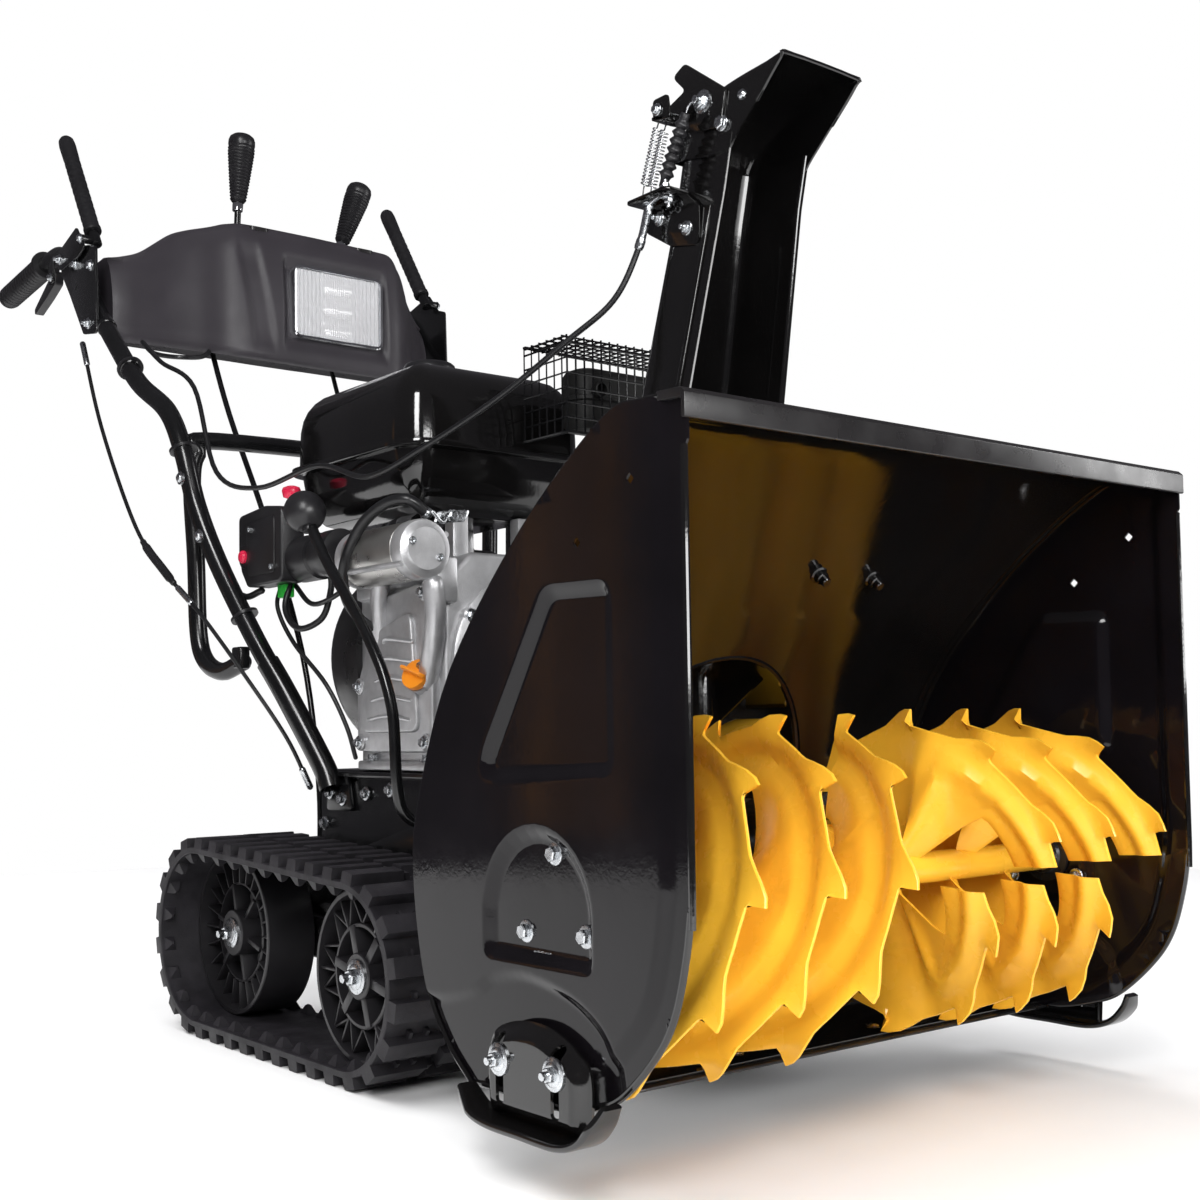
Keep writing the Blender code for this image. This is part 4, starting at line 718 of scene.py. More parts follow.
def make_drum():
    drum = Shape()
    loops_out, loops_in, rear_out, rear_in = [], [], [], []
    sides = 96
    for i in range(sides):
        a = TAU * i / sides
        for loop, radius, level in ((loops_out, DRUM_RADIUS + SHEET, None),
                                    (rear_out, DRUM_RADIUS + SHEET, DRUM_REAR),
                                    (loops_in, DRUM_RADIUS, None), (rear_in, DRUM_RADIUS, DRUM_REAR - SHEET)):
            x, z = radius * math.cos(a), IMPELLER_HEIGHT + radius * math.sin(a)
            loop.append(place(x, (curve_back(z) + 0.0002) if level is None else level, z))
    hub_out = ring(place(0, DRUM_REAR, IMPELLER_HEIGHT), (0, 1, 0), 0.011, sides)
    order = sorted(range(sides), key=lambda k: math.atan2(hub_out[k].z - IMPELLER_HEIGHT, hub_out[k].x) % TAU)
    hub_out = [hub_out[k] for k in order]
    hub_in = [p - Vector((0, SHEET, 0)) for p in hub_out]
    drum.loft([loops_out, rear_out, hub_out, hub_in, rear_in, loops_in], caps=False, wrap=True)
    bead = ring(place(0, DRUM_REAR - 0.004, IMPELLER_HEIGHT), (0, 1, 0), DRUM_RADIUS + 0.0042, 96)
    drum.tube(bead, 0.0032, 8, 1, closed=True)
    rolled = [Vector((p.x * 0.985, p.y + 0.002, IMPELLER_HEIGHT + (p.z - IMPELLER_HEIGHT) * 0.985))
              for p in loops_in]
    drum.tube(rolled, 0.0040, 8, 1, closed=True)
    # duct up to the chute, with rounded corners
    wall, half, deep = 0.003, 0.088, 0.088
    section = fillet([(-half, CHUTE_BACK - deep), (half, CHUTE_BACK - deep), (half, CHUTE_BACK + deep),
                      (-half, CHUTE_BACK + deep)], 0.022, 6)
    inner = fillet([(-half + wall, CHUTE_BACK - deep + wall), (half - wall, CHUTE_BACK - deep + wall),
                    (half - wall, CHUTE_BACK + deep - wall), (-half + wall, CHUTE_BACK + deep - wall)],
                    0.019, 6)
    top = COLLAR_TOP - 0.010

    def foot(b):
        """The duct's front wall starts on the sloping wrap."""
        rear = [p for p in housing_curve() if p[0] > 0.10][:-1]
        return max(float(np.interp(b, [p[0] for p in rear if p[1] > 0.34],
                                   [p[1] for p in rear if p[1] > 0.34])), 0.40)
    drum.loft([[place(x, b, foot(b)) for x, b in section], [place(x, b, top) for x, b in section],
               [place(x, b, top) for x, b in inner], [place(x, b, foot(b)) for x, b in inner]], caps=False,
               wrap=True)
    drum.lathe(place(0, CHUTE_BACK, COLLAR_TOP - 0.0125), (0, 0, 1),
               [(0.0, 0.074), (0.0, 0.104), (0.0025, 0.1055),
               (0.010, 0.1055), (0.0122, 0.104), (0.0122, 0.074), (0.0, 0.074)], 64, caps=False)
    drum.make("impeller_drum", "gloss", "chassis", "impeller_housing")
    clamps = Shape()
    for i in range(6):
        a = TAU * (i + 0.5) / 6
        clamps.bolt(place(0.0985 * math.cos(a), CHUTE_BACK + 0.0985 * math.sin(a), COLLAR_TOP - 0.012),
                    (0, 0, -1),
                    0.0045, 0.004, "nut")
    for i in range(4):
        a = TAU * (i + 0.5) / 4
        clamps.bolt(place(0.12 * math.cos(a), DRUM_REAR, IMPELLER_HEIGHT + 0.12 * math.sin(a)), (0, 1, 0),
                    0.006, 0.0055)
    clamps.make("drum_bolts", "zinc", "chassis")


def make_shoe(side, label):
    """Dished slide plate with a humped top, two slots and a curved runner."""
    inside = HALF_WIDTH + 0.0004
    outline = [tuple(p) for p in smooth_path([Vector(p) for p in (
        (0.121, 0.052), (0.119, 0.095), (0.124, 0.114), (0.136, 0.122), (0.152, 0.131), (0.180, 0.1395),
        (0.215, 0.1395), (0.247, 0.131), (0.262, 0.118), (0.266, 0.095), (0.263, 0.052))], 4)]
    slots = []
    for back in (0.155, 0.235):
        slots.append([(back + 0.006 * math.cos(a), (0.122 if a < math.pi else 0.072) + 0.006 * math.sin(a))
                      for a in (TAU * i / 20 for i in range(20))])
    hump = [(b, z) for b, z in outline]
    points, depth, faces = pressed_sheet(outline, [(hump, -0.0115, 0.0, 0.016)], slots, 0.01)
    plate = Shape()
    verts = [plate.bm.verts.new(place(side * (inside + 0.004 - d), b, z)) for (b, z), d in zip(points, depth)]
    for a, b, c in faces:
        plate.bm.faces.new((verts[a], verts[b], verts[c]) if side > 0 else (verts[c], verts[b], verts[a]))
    bmesh.ops.delete(plate.bm, geom=[v for v in plate.bm.verts if not v.link_faces], context="VERTS")
    plate.make(f"skid_shoe_{label}", "gloss", f"shoe_{label}", f"skid_shoe_{label}", 50.0,
               solid=0.0035)
    runner = Shape()
    under = smooth_path([Vector(p) for p in ((0.084, 0.088), (0.092, 0.072), (0.110, 0.055), (0.140, 0.0462),
                                             (0.190, 0.0460), (0.240, 0.0465), (0.270, 0.053),
                                             (0.297, 0.069))], 5)
    thick = 0.0065
    loops = []
    for i, p in enumerate(under):
        before, after = under[max(i - 1, 0)], under[min(i + 1, len(under) - 1)]
        run = (after - before).normalized()
        up = Vector((-run.y, run.x))
        share = i / (len(under) - 1)
        reach = 0.0300 - 0.010 * max(0.0, abs(share - 0.5) * 2 - 0.7) / 0.3
        section = fillet([(0.0, 0.0), (reach, 0.0), (reach, thick), (0.0, thick)], 0.0028, 3)
        loops.append([place(side * (inside + u), p.x + up.x * v, p.y + up.y * v) for u, v in section])
    runner.loft(loops)
    runner.make(f"shoe_runner_{label}", "gloss", f"shoe_{label}", sharp=50.0)
    bolts = Shape()
    for back in (0.155, 0.235):
        bolts.lathe(place(side * (inside + 0.0155), back, 0.105), (side, 0, 0),
                    [(0, 0.0145), (0.0018, 0.0145), (0.0024, 0.0135), (0.0024, 0.0)], 28)
        bolts.bolt(place(side * (inside + 0.0170), back, 0.105), (side, 0, 0), 0.0070, 0.0055, "nut")
    bolts.make(f"shoe_bolts_{label}", "zinc", "chassis")


# ------------------------------------------------------------------------ augers
TOOTH_STEP = 36.0
FLIGHT_LIMIT = 0.345
# share of a tooth's step at the inside, the same at the rim, and the rim's radius
TOOTH = ((-0.50, -0.50, 0.1512), (-0.40, -0.40, 0.1530), (-0.28, -0.28, 0.1590), (-0.16, -0.16, 0.1650),
         (-0.06, -0.05, 0.1678), (0.00, 0.03, 0.1682), (0.04, -0.035, 0.1560), (0.10, 0.03, 0.1512),
         (0.18, 0.17, 0.1500), (0.29, 0.29, 0.1500), (0.40, 0.40, 0.1505))


def flight_lean(label, angle):
    """How far a flight stands out from its own middle, at degrees from its closed side."""
    if label == "right":
        return 0.0296 / TOOTH_STEP * angle / (1.0 + abs(angle / 90.0) ** 6) ** (1.0 / 6.0)
    turn = abs(angle)
    back = -0.014 * math.sin(math.radians(min(turn, 90.0)))
    return math.copysign(back + 0.0084 * math.log(1.0 + math.exp((turn - 90.0) / 10.0)), angle)


def flight_inside(label, angle, x):
    """Inner radius: down to the tube on the closed side, an open loop towards the free ends."""
    begin, over = (68.0, 28.0) if label == "right" else (133.0, 14.0)
    share = max(0.0, min(1.0, (abs(angle) - begin) / over))
    inner = 0.0150 + 0.0850 * share * share * (3.0 - 2.0 * share)
    return max(inner, 0.062) if x < 0.060 else inner


def flight_bead(label, angle, radius):
    """Height of the pressed bead, which follows the rim and dives to the tube beside the open loop."""
    turn_in = 64.0 if label == "left" else 86.0
    from_end = (180.0 if label == "left" else 172.0) - abs(angle)
    middle = 0.1230 + 0.0130 * min(1.0, max(0.0, 1.0 - from_end / 60.0))
    around = math.exp(-((radius - middle) / 0.0115) ** 2)
    dive = 0.0
    if label == "left":
        around *= 1.0 / (1.0 + math.exp((from_end - turn_in - 4.0) / 3.0))
        across = math.radians(from_end - turn_in) * max(radius, 0.02)
        dive = math.exp(-(across / 0.0105) ** 2) / (1.0 + math.exp((radius - middle) / 0.004))
        broad = 0.35 * math.exp(-((radius - 0.1100) / 0.0180) ** 2)
        return 0.0100 * max(around, dive, broad)
    waist = math.exp(-(angle / 15.0) ** 2)
    across = max(0.0, 1.0 - abs(radius - 0.075) / 0.055)
    return 0.0095 * max(around, waist * across)


def flight_section(label, side, centre, closed, middle, angle, rim_angle, rim, hook):
    """Front and rear points of a flight from its inner edge to its rim."""
    x_here = min(middle + flight_lean(label, angle), FLIGHT_LIMIT)
    inner = flight_inside(label, angle, x_here)
    outer = 0.1450
    rows = [inner + (outer - inner) * i / 15 for i in range(16)] + [outer + (rim - outer) * 0.5,
                                                                    rim - 0.0007, rim]
    near, far = [], []
    for k, radius in enumerate(rows):
        over = max(k - 15, 0)
        weight = (0.0, 0.5, 0.97, 1.0)[over]
        turn = math.radians(closed + angle + (rim_angle - angle) * weight)
        x = x_here - flight_bead(label, angle, radius) - 0.007 * hook * weight
        out = Vector((0.0, math.cos(turn), math.sin(turn)))
        half = 0.0018 if over < 3 else 0.0007
        edge = 0.0008 if k == 0 else half
        near.append(centre + out * radius + Vector((side * (x + edge), 0, 0)))
        far.append(centre + out * radius + Vector((side * (x - edge), 0, 0)))
    return near + list(reversed(far))


def make_auger(side, label):
    """Toothed discs, each slit on one side and pulled open like a screw thread."""
    centre = place(0.0, AUGER_BACK, AUGER_HEIGHT)
    if label == "right":
        closed, tooth = 180.0, 33.2
        discs = [(0.0875, -80.0, 168.0), (0.182, -168.0, 168.0), (0.277, -168.0, 168.0),
                 (0.371, -168.0, -50.0)]
    else:
        closed, tooth = 0.0, 23.1
        discs = [(0.098, -177.0, 177.0), (0.192, -177.0, 177.0), (0.2855, -177.0, 177.0)]
    flights = Shape()
    for middle, first, last in discs:
        loops = []
        for number in range(-6, 6):
            start = tooth + TOOTH_STEP * number
            for inside, outside, rim in TOOTH:
                angle, rim_angle = start + TOOTH_STEP * inside, start + TOOTH_STEP * outside
                if first - 2.0 < angle < last + 2.0:
                    loops.append(flight_section(label, side, centre, closed, middle,
                                                min(max(angle, first), last),
                                                min(max(rim_angle, first), last), rim,
                                                math.exp(-((inside + 0.02) / 0.13) ** 2)))
        flights.loft(loops)
    flights.make(f"auger_flights_{label}", "yellow", "augers", f"auger_{label}", 38.0)

    hub = Shape()
    hub.lathe(centre + Vector((side * 0.052, 0, 0)), (side, 0, 0),
              [(0.0, 0.0130), (0.0, 0.0165), (0.294, 0.0165), (0.294, 0.0130)], 32, 0.001)
    hub.make(f"auger_hub_{label}", "yellow", "augers")
    pins = Shape()
    for x in (0.066, 0.335):
        pins.bolt(centre + Vector((side * x, -0.0160, 0.0)), (0, -1, 0), 0.005, 0.0045)
    pins.make(f"shear_bolts_{label}", "zinc", "augers")


def make_gearbox():
    axis = place(-0.0405, AUGER_BACK, AUGER_HEIGHT)
    case = Shape()
    case.lathe(axis, (1, 0, 0), [(0.0, 0.0135), (0.0, 0.024), (0.007, 0.025), (0.010, 0.040), (0.014, 0.0495),
                                 (0.022, 0.0518), (0.036, 0.0518), (0.038, 0.0520), (0.043, 0.0520),
                                 (0.045, 0.0518),
                                 (0.059, 0.0518), (0.067, 0.0495), (0.071, 0.040), (0.074, 0.025),
                                 (0.081, 0.024),
                                 (0.081, 0.0135)], 48)
    case.lathe(place(0, 0.128, IMPELLER_HEIGHT), (0, 1, 0),
               [(0.0, 0.0), (0.0, 0.015), (0.003, 0.0185), (0.105, 0.0185),
               (0.105, 0.0225), (0.115, 0.0225), (0.115, 0.012)], 32, 0.001)
    case.box((-0.015, 0.015), (0.140, 0.216), (0.262, 0.300), 0.004)
    for i in range(6):
        a = TAU * i / 6 + 0.3
        case.lathe(place(-0.018, AUGER_BACK + 0.0475 * math.cos(a), AUGER_HEIGHT + 0.0475 * math.sin(a)),
                   (1, 0, 0),
                   [(0, 0.0045), (0.036, 0.0045)], 12, 0.0006)
    case.make("auger_gearbox", "yellow", "chassis", "auger_gearbox")


def make_impeller():
    """Four dished blades on a round back plate."""
    start, end = 0.374, 0.454
    fan = Shape()
    fan.lathe(place(0, start, IMPELLER_HEIGHT), (0, 1, 0), [(0.0, 0.0105), (0.0, 0.023), (end - start, 0.024),
                                                           (end - start, 0.0105)], 32, 0.001)
    fan.lathe(place(0, end - 0.004, IMPELLER_HEIGHT), (0, 1, 0),
              [(0, 0.012), (0, 0.074), (0.0035, 0.074), (0.0035, 0.012)],
              48, 0.0006)
    for number in range(4):
        turn = Matrix.Rotation(math.pi / 2 * number + math.pi / 4, 3, "Y")
        loops = []
        for reach, curl, deep in ((0.012, 0.0, 1.0), (0.05, -0.002, 1.0), (0.09, 0.0, 0.98),
                                  (0.12, 0.006, 0.93),
                                  (0.140, 0.013, 0.88), (0.152, 0.019, 0.82)):
            middle, half = (start + end) / 2, (end - start) / 2 * deep
            section = fillet([(-0.002, middle - half), (0.002, middle - half), (0.002, middle + half),
                              (-0.002, middle + half)], 0.0009, 2)
            loops.append([place(0, b, IMPELLER_HEIGHT) + turn @ Vector((x + curl, 0, reach)) for x,
                          b in section])
        fan.loft(loops)
    fan.make("impeller_fan", "yellow", "impeller", "impeller", 40.0)


for _side, _label in SIDES:
    make_side_plate(_side, _label)
    make_shoe(_side, _label)
    make_auger(_side, _label)
make_shell()
make_drum()
make_gearbox()
make_impeller()


# ------------------------------------------------------------- chute and deflector
HINGE_BACK, HINGE_HEIGHT, HOOD_HALF = 0.262, 1.025, 0.0552
CHUTE_TOP = 1.012


def strip_outline(path, thickness):
    """Closed outline of a thin strip along an open path."""
    path = [Vector(p) for p in path]
    left, right = [], []
    for i, point in enumerate(path):
        run = (path[min(i + 1, len(path) - 1)] - path[max(i - 1, 0)]).normalized()
        normal = Vector((-run.y, run.x)) * thickness / 2
        left.append(tuple(point + normal))
        right.append(tuple(point - normal))
    return left + right[::-1]


def soften(path, radius, steps=6):
    """Open path with its inner corners rounded."""
    path = [Vector(p) for p in path]
    points = [tuple(path[0])]
    for before, corner, after in zip(path, path[1:], path[2:]):
        into, out = before - corner, after - corner
        half = into.angle(out) / 2.0
        reach = min(radius / max(math.tan(half), 1e-6), into.length * 0.49, out.length * 0.49)
        start, end = corner + into.normalized() * reach, corner + out.normalized() * reach
        points += [tuple(start * (1 - t) ** 2 + corner * 2 * t * (1 - t) + end * t * t)
                   for t in (k / steps for k in range(steps + 1))]
    points.append(tuple(path[-1]))
    return points


def chute_section(height):
    """Middle, half width and half depth of the chute channel at a height."""
    low, high = COLLAR_TOP + 0.006, 0.955
    share = (height - low) / (high - low)
    half_width = 0.0720 + (HOOD_HALF - 0.0003 - 0.0720) * min(share, 1.0)
    return 0.370 + (0.304 - CHUTE_BACK) * share, half_width, 0.046 - 0.004 * min(share, 1.0)


def make_chute():
    chute = Shape()
    base = COLLAR_TOP + 0.0006
    loops = []
    for i in range(25):
        height = base + 0.002 + (CHUTE_TOP - base - 0.002) * i / 24
        middle, half, depth = chute_section(height)
        path = [(-half - 0.004, middle - depth - 0.001), (-half + 0.001, middle - depth),
                (-half + 0.001, middle + depth),
                (half - 0.001, middle + depth), (half - 0.001, middle - depth),
                (half + 0.004, middle - depth - 0.001)]
        path = soften(path, 0.016)
        loops.append([place(x, b, height) for x, b in strip_outline(path, 0.0024)])
    chute.loft(loops)
    chute.lathe(place(0, CHUTE_BACK, base), (0, 0, 1), [(0.0, 0.068), (0.0, 0.103), (0.0012, 0.104),
                                                        (0.006, 0.104),
                (0.0072, 0.103), (0.0072, 0.068), (0.0, 0.068)], 64, caps=False)
    # pressed rib down the outside of the near wall
    for side in (-1, 1):
        rib = []
        for i in range(13):
            height = 0.72 + 0.225 * i / 12
            middle, half, depth = chute_section(height)
            rib.append(place(side * (half + 0.0004), middle - depth * 0.55, height))
        chute.tube(rib, lambda share: 0.0028 * min(1.0, 8 * share, 8 * (1 - share)) + 0.0004, 10, 2)
    outer = -HOOD_HALF
    bracket = fillet([(0.300, 0.905), (0.345, 0.915), (0.385, 0.940), (0.385, 0.968), (0.320, 0.968),
                      (0.300, 0.950)],
                     0.008, 4)
    chute.prism(bracket, outer - 0.0050, outer - 0.0015, "X", 0.0006)
    chute.prism(fillet([(outer - 0.034, 0.318), (outer - 0.0012, 0.318), (outer - 0.0012, 0.387),
                        (outer - 0.034, 0.387)],
                       [0.008, 0.001, 0.001, 0.008], 4), 0.9665, 0.9695, "Z", 0.0005)
    chute.make("chute_channel", "gloss", "chute", "chute", 40.0)

    bolts = Shape()
    for b, z in ((0.318, 0.928), (0.362, 0.950)):
        bolts.bolt(place(outer - 0.005, b, z), (-1, 0, 0), 0.0052, 0.0045, "nut")
    bolts.bolt(place(outer - 0.026, 0.328, 0.9695), (0, 0, 1), 0.0045, 0.004, "nut")
    bolts.bolt(place(outer - 0.013, 0.338, 0.9660), (0, 0, -1), 0.0050, 0.005, "nut")
    bolts.bolt(place(outer - 0.018, 0.364, 0.9660), (0, 0, -1), 0.0050, 0.006, "nut")
    for side in (-1, 1):
        bolts.bolt(place(side * (HOOD_HALF + 0.0032), HINGE_BACK, HINGE_HEIGHT), (side, 0, 0), 0.0068, 0.0052,
                   "nut" if side > 0 else "hex")
    for i in range(4):
        a = TAU * (i + 0.5) / 4
        bolts.bolt(place(0.092 * math.cos(a), CHUTE_BACK + 0.092 * math.sin(a), base + 0.0072), (0, 0, 1),
                   0.005, 0.0045)
    bolts.make("chute_bolts", "zinc", "chute")


def make_deflector():
    hood = Shape()
    roof = smooth_path([Vector(p) for p in ((0.172, 1.0715), (0.225, 1.0700), (0.269, 1.0650),
                                            (0.301, 1.0535),
                                            (0.324, 1.0390), (0.338, 1.0230), (0.3440, 1.0085))], 4)
    low = [Vector(p) for p in ((0.1725, 1.0690), (0.210, 1.036), (0.246, 1.004), (0.252, 0.9965),
                               (0.285, 0.9965),
                               (0.318, 1.004), (0.3440, 1.0075))]
    low = resample([tuple(p) for p in low], 0.003, False)
    loops = []
    for i, top in enumerate(roof):
        share = i / (len(roof) - 1)
        foot = Vector(low[round(share * (len(low) - 1))])
        half = HOOD_HALF + 0.0015
        steps = 6
        corner = min(0.010, (top - foot).length * 0.45)
        down = (foot - top)
        down = down.normalized() if down.length > 1e-6 else Vector((0, -1))
        profile = soften([(-half, (foot - top).length), (-half, 0.0), (half, 0.0),
                          (half, (foot - top).length)],
                         corner, steps)
        strip = strip_outline(profile, 0.0024)
        loops.append([place(x, top.x + down.x * v, top.y + down.y * v) for x, v in strip])
    hood.loft(loops)
    outside = HOOD_HALF + 0.0027
    lip = [(x, b, z) for x, b, z in ((-HOOD_HALF - 0.001, 0.212, 1.034), (-HOOD_HALF - 0.001, 0.178, 1.066),
                                     (-HOOD_HALF + 0.006, 0.1735, 1.0710),
                                     (HOOD_HALF - 0.006, 0.1735, 1.0710),
                                     (HOOD_HALF + 0.001, 0.178, 1.066), (HOOD_HALF + 0.001, 0.212, 1.034))]
    hood.tube([place(*p) for p in lip], 0.0021, 10, 4, round_ends=True)
    arm = fillet([(0.262, 1.020), (0.254, 1.060), (0.316, 1.108), (0.336, 1.099), (0.316, 1.078),
                  (0.346, 1.068),
                  (0.347, 1.050), (0.300, 1.028)], [0.006, 0.006, 0.008, 0.006, 0.004, 0.006, 0.006, 0.01], 5)
    hood.prism(arm, -outside - 0.0036, -outside, "X", 0.0007)
    ear = fillet([(0.318, 1.044), (0.346, 1.050), (0.346, 1.072), (0.322, 1.072)], 0.005, 4)
    hood.prism(ear, -outside - 0.024, -outside - 0.0210, "X", 0.0006)
    hood.prism(fillet([(0.330, 1.046), (0.348, 1.050), (0.348, 1.054), (0.330, 1.050)], 0.001, 2),
               -outside - 0.024,
               -outside - 0.002, "X", 0.0004)
    hood.make("deflector_hood", "gloss", "deflector", "deflector", 40.0)

    metal = Shape()
    metal.bolt(place(-outside - 0.0036, 0.288, 1.056), (-1, 0, 0), 0.0082, 0.0055, "nut")
    metal.bolt(place(-outside - 0.0002, 0.232, 1.046), (-1, 0, 0), 0.0055, 0.0045, "dome")
    metal.bolt(place(outside, 0.232, 1.046), (1, 0, 0), 0.0055, 0.0045, "nut")
    metal.bolt(place(outside, 0.300, 1.026), (1, 0, 0), 0.0055, 0.0045, "nut")
    metal.rod(place(-outside - 0.0245, 0.338, 1.059), place(-outside, 0.338, 1.059), 0.0026, 12, 0.0004)
    metal.bolt(place(-outside - 0.0245, 0.338, 1.059), (-1, 0, 0), 0.0045, 0.004)
    metal.make("deflector_bolts", "zinc", "deflector")


def make_springs():
    outside = HOOD_HALF + 0.003
    for label, shift in (("right", -0.002), ("left", 0.0085)):
        top = place(-outside - 0.017 + shift, 0.339, 1.0545)
        low = place(-outside - 0.020 + shift, 0.368, 0.9715)
        axis = (low - top).normalized()
        side = axis.orthogonal().normalized()
        other = axis.cross(side)
        start, end, radius, turns = 0.16, 0.86, 0.0044, 17
        length = (low - top).length
        path = [top - axis * 0.004 + side * 0.003, top - axis * 0.0065, top - axis * 0.004 - side * 0.003,
                top + axis * 0.004]
        for i in range(turns * 10 + 1):
            share = start + (end - start) * i / (turns * 10)
            angle = TAU * i / 10
            out = side * math.cos(angle) + other * math.sin(angle)
            path.append(top + axis * length * share + out * radius)
        path += [low - axis * 0.005, low + axis * 0.001 - side * 0.0028, low + axis * 0.004,
                 low + axis * 0.001 + side * 0.0028]
        spring = Shape()
        spring.tube(path, 0.00082, 6, 2, round_ends=True)
        thing = spring.make(f"deflector_spring_{label}", "chrome", None,
                            f"deflector_spring_{label}", 60.0)
        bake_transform(thing)

    top, low = place(-0.078, 0.297, 1.043), place(-0.078, 0.337, 0.9730)
    length = (low - top).length
    profile = [(0.0, 0.0040), (0.002, 0.0052), (length * 0.08, 0.0052)]
    folds = 7
    for i in range(folds):
        here = length * (0.10 + 0.76 * i / folds)
        step = length * 0.76 / folds
        profile += [(here, 0.0050), (here + step * 0.2, 0.0064), (here + step * 0.45, 0.0083),
                    (here + step * 0.6, 0.0083),
                    (here + step * 0.85, 0.0060)]
    profile += [(length * 0.88, 0.0048), (length * 0.98, 0.0044), (length - 0.0005, 0.0032)]
    boot = Shape()
    boot.lathe(top, low - top, profile, 24)
    thing = boot.make("deflector_boot", "grip", None, "deflector_boot", 60.0)
    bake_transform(thing)
    inner = Shape()
    inner.tube([place(-0.0735, 0.290, 1.055), place(-0.077, 0.294, 1.050),
                top + Vector((0, 0.0008, -0.0015))], 0.0011, 8, 4)
    thing = inner.make("deflector_wire", "chrome", None)
    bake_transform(thing)


CABLE_ROUTE = [place(-0.074, 0.364, 0.9625), place(-0.076, 0.381, 0.918), place(-0.092, 0.406, 0.864),
               place(-0.125, 0.450, 0.822), place(-0.165, 0.526, 0.768), place(-0.205, 0.620, 0.722),
               place(-0.222, 0.720, 0.700), place(-0.230, 0.830, 0.7285), place(-0.248, 0.960, 0.716),
               place(-0.262, 1.060, 0.750), place(-0.2635, 1.130, 0.880), place(-0.270, 1.230, 0.935),
               place(-0.262, 1.320, 0.985)]


def make_deflector_cable():
    cable = Shape()
    cable.tube(CABLE_ROUTE, 0.0034, 12, 8)
    thing = cable.make("deflector_cable", "hose", None, "deflector_cable")
    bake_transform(thing)
    sleeve = Shape()
    near = smooth_path(CABLE_ROUTE[:3], 8)
    sleeve.tube([place(-0.077, 0.342, 0.9665), place(-0.0745, 0.356, 0.9655)] + near[:1], 0.0030, 12, 3)
    sleeve.tube(near[:7], 0.0046, 14, 1, round_ends=True)
    sleeve.tube(near[6:9], lambda share: 0.0054 if 0.2 < share < 0.8 else 0.0046, 14, 2)
    thing = sleeve.make("deflector_cable_sleeve", "zinc", None)
    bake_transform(thing)


make_chute()
make_deflector()
make_springs()
make_deflector_cable()


# ------------------------------------------------------------------- engine group
ENGINE_X, CRANK_HEIGHT = -0.020, 0.470
FRAME_TOP = 0.342


def rounded_plan(x, back, corner, inset, steps=8):
    """Plan outline with round corners."""
    x0, x1, b0, b1 = x[0] + inset, x[1] - inset, back[0] + inset, back[1] - inset
    corner = max(corner - inset, 0.006)
    points = []
    for quarter, centre in enumerate(((x1 - corner, b1 - corner), (x0 + corner, b1 - corner),
                                      (x0 + corner, b0 + corner), (x1 - corner, b0 + corner))):
        points += arc(centre, corner, quarter * math.pi / 2, (quarter + 1) * math.pi / 2, steps)
    return points


def make_tank():
    x, back, corner = (-0.197, 0.085), (0.668, 0.985), 0.045
    levels = [(0.662, 0.062), (0.664, 0.050), (0.669, 0.038), (0.678, 0.028), (0.692, 0.019), (0.712, 0.012),
              (0.7352, 0.008), (0.7364, 0.003), (0.7366, -0.0045), (0.7374, -0.0058), (0.7388, -0.0062),
              (0.7436, -0.0062),
              (0.7448, -0.0056), (0.7452, -0.0035), (0.7454, 0.0025), (0.7466, 0.0040), (0.770, 0.0044),
              (0.794, 0.0056),
              (0.810, 0.0090), (0.823, 0.0150), (0.834, 0.0240), (0.843, 0.0360), (0.850, 0.0520),
              (0.855, 0.0720),
              (0.858, 0.0960), (0.8592, 0.1200)]
    tank = Shape()
    tank.loft([[place(px, pb, z) for px, pb in rounded_plan(x, back, corner, inset)] for z, inset in levels])
    neck = place(-0.034, 0.875, 0.850)
    tank.lathe(neck, (0, 0, 1), [(0.0, 0.046), (0.005, 0.043), (0.009, 0.034), (0.0125, 0.0325),
                                 (0.013, 0.026)], 48)
    tank.make("fuel_tank", "gloss", "chassis", "fuel_tank", 40.0)
    cap = Shape()
    profile = [(0.0, 0.0365), (0.001, 0.038), (0.0065, 0.038), (0.0075, 0.0365), (0.024, 0.0360),
               (0.0285, 0.0345),
               (0.0315, 0.0310), (0.0325, 0.0250), (0.0318, 0.0180), (0.0335, 0.0165), (0.0340, 0.0)]
    cap.lathe(place(-0.034, 0.875, 0.8618), (0, 0, 1), profile, 72)
    for i in range(24):
        a = TAU * i / 24
        out = Vector((math.cos(a), math.sin(a), 0.0))
        start = place(-0.034, 0.875, 0.8700) + out * 0.0362
        cap.tube([start, start + Vector((0, 0, 0.010)) - out * 0.0004,
                  start + Vector((0, 0, 0.0165)) - out * 0.0022],
                 0.0017, 8, 2, round_ends=True)
    cap.make("fuel_cap", "plastic", "fuel_cap", "fuel_cap")


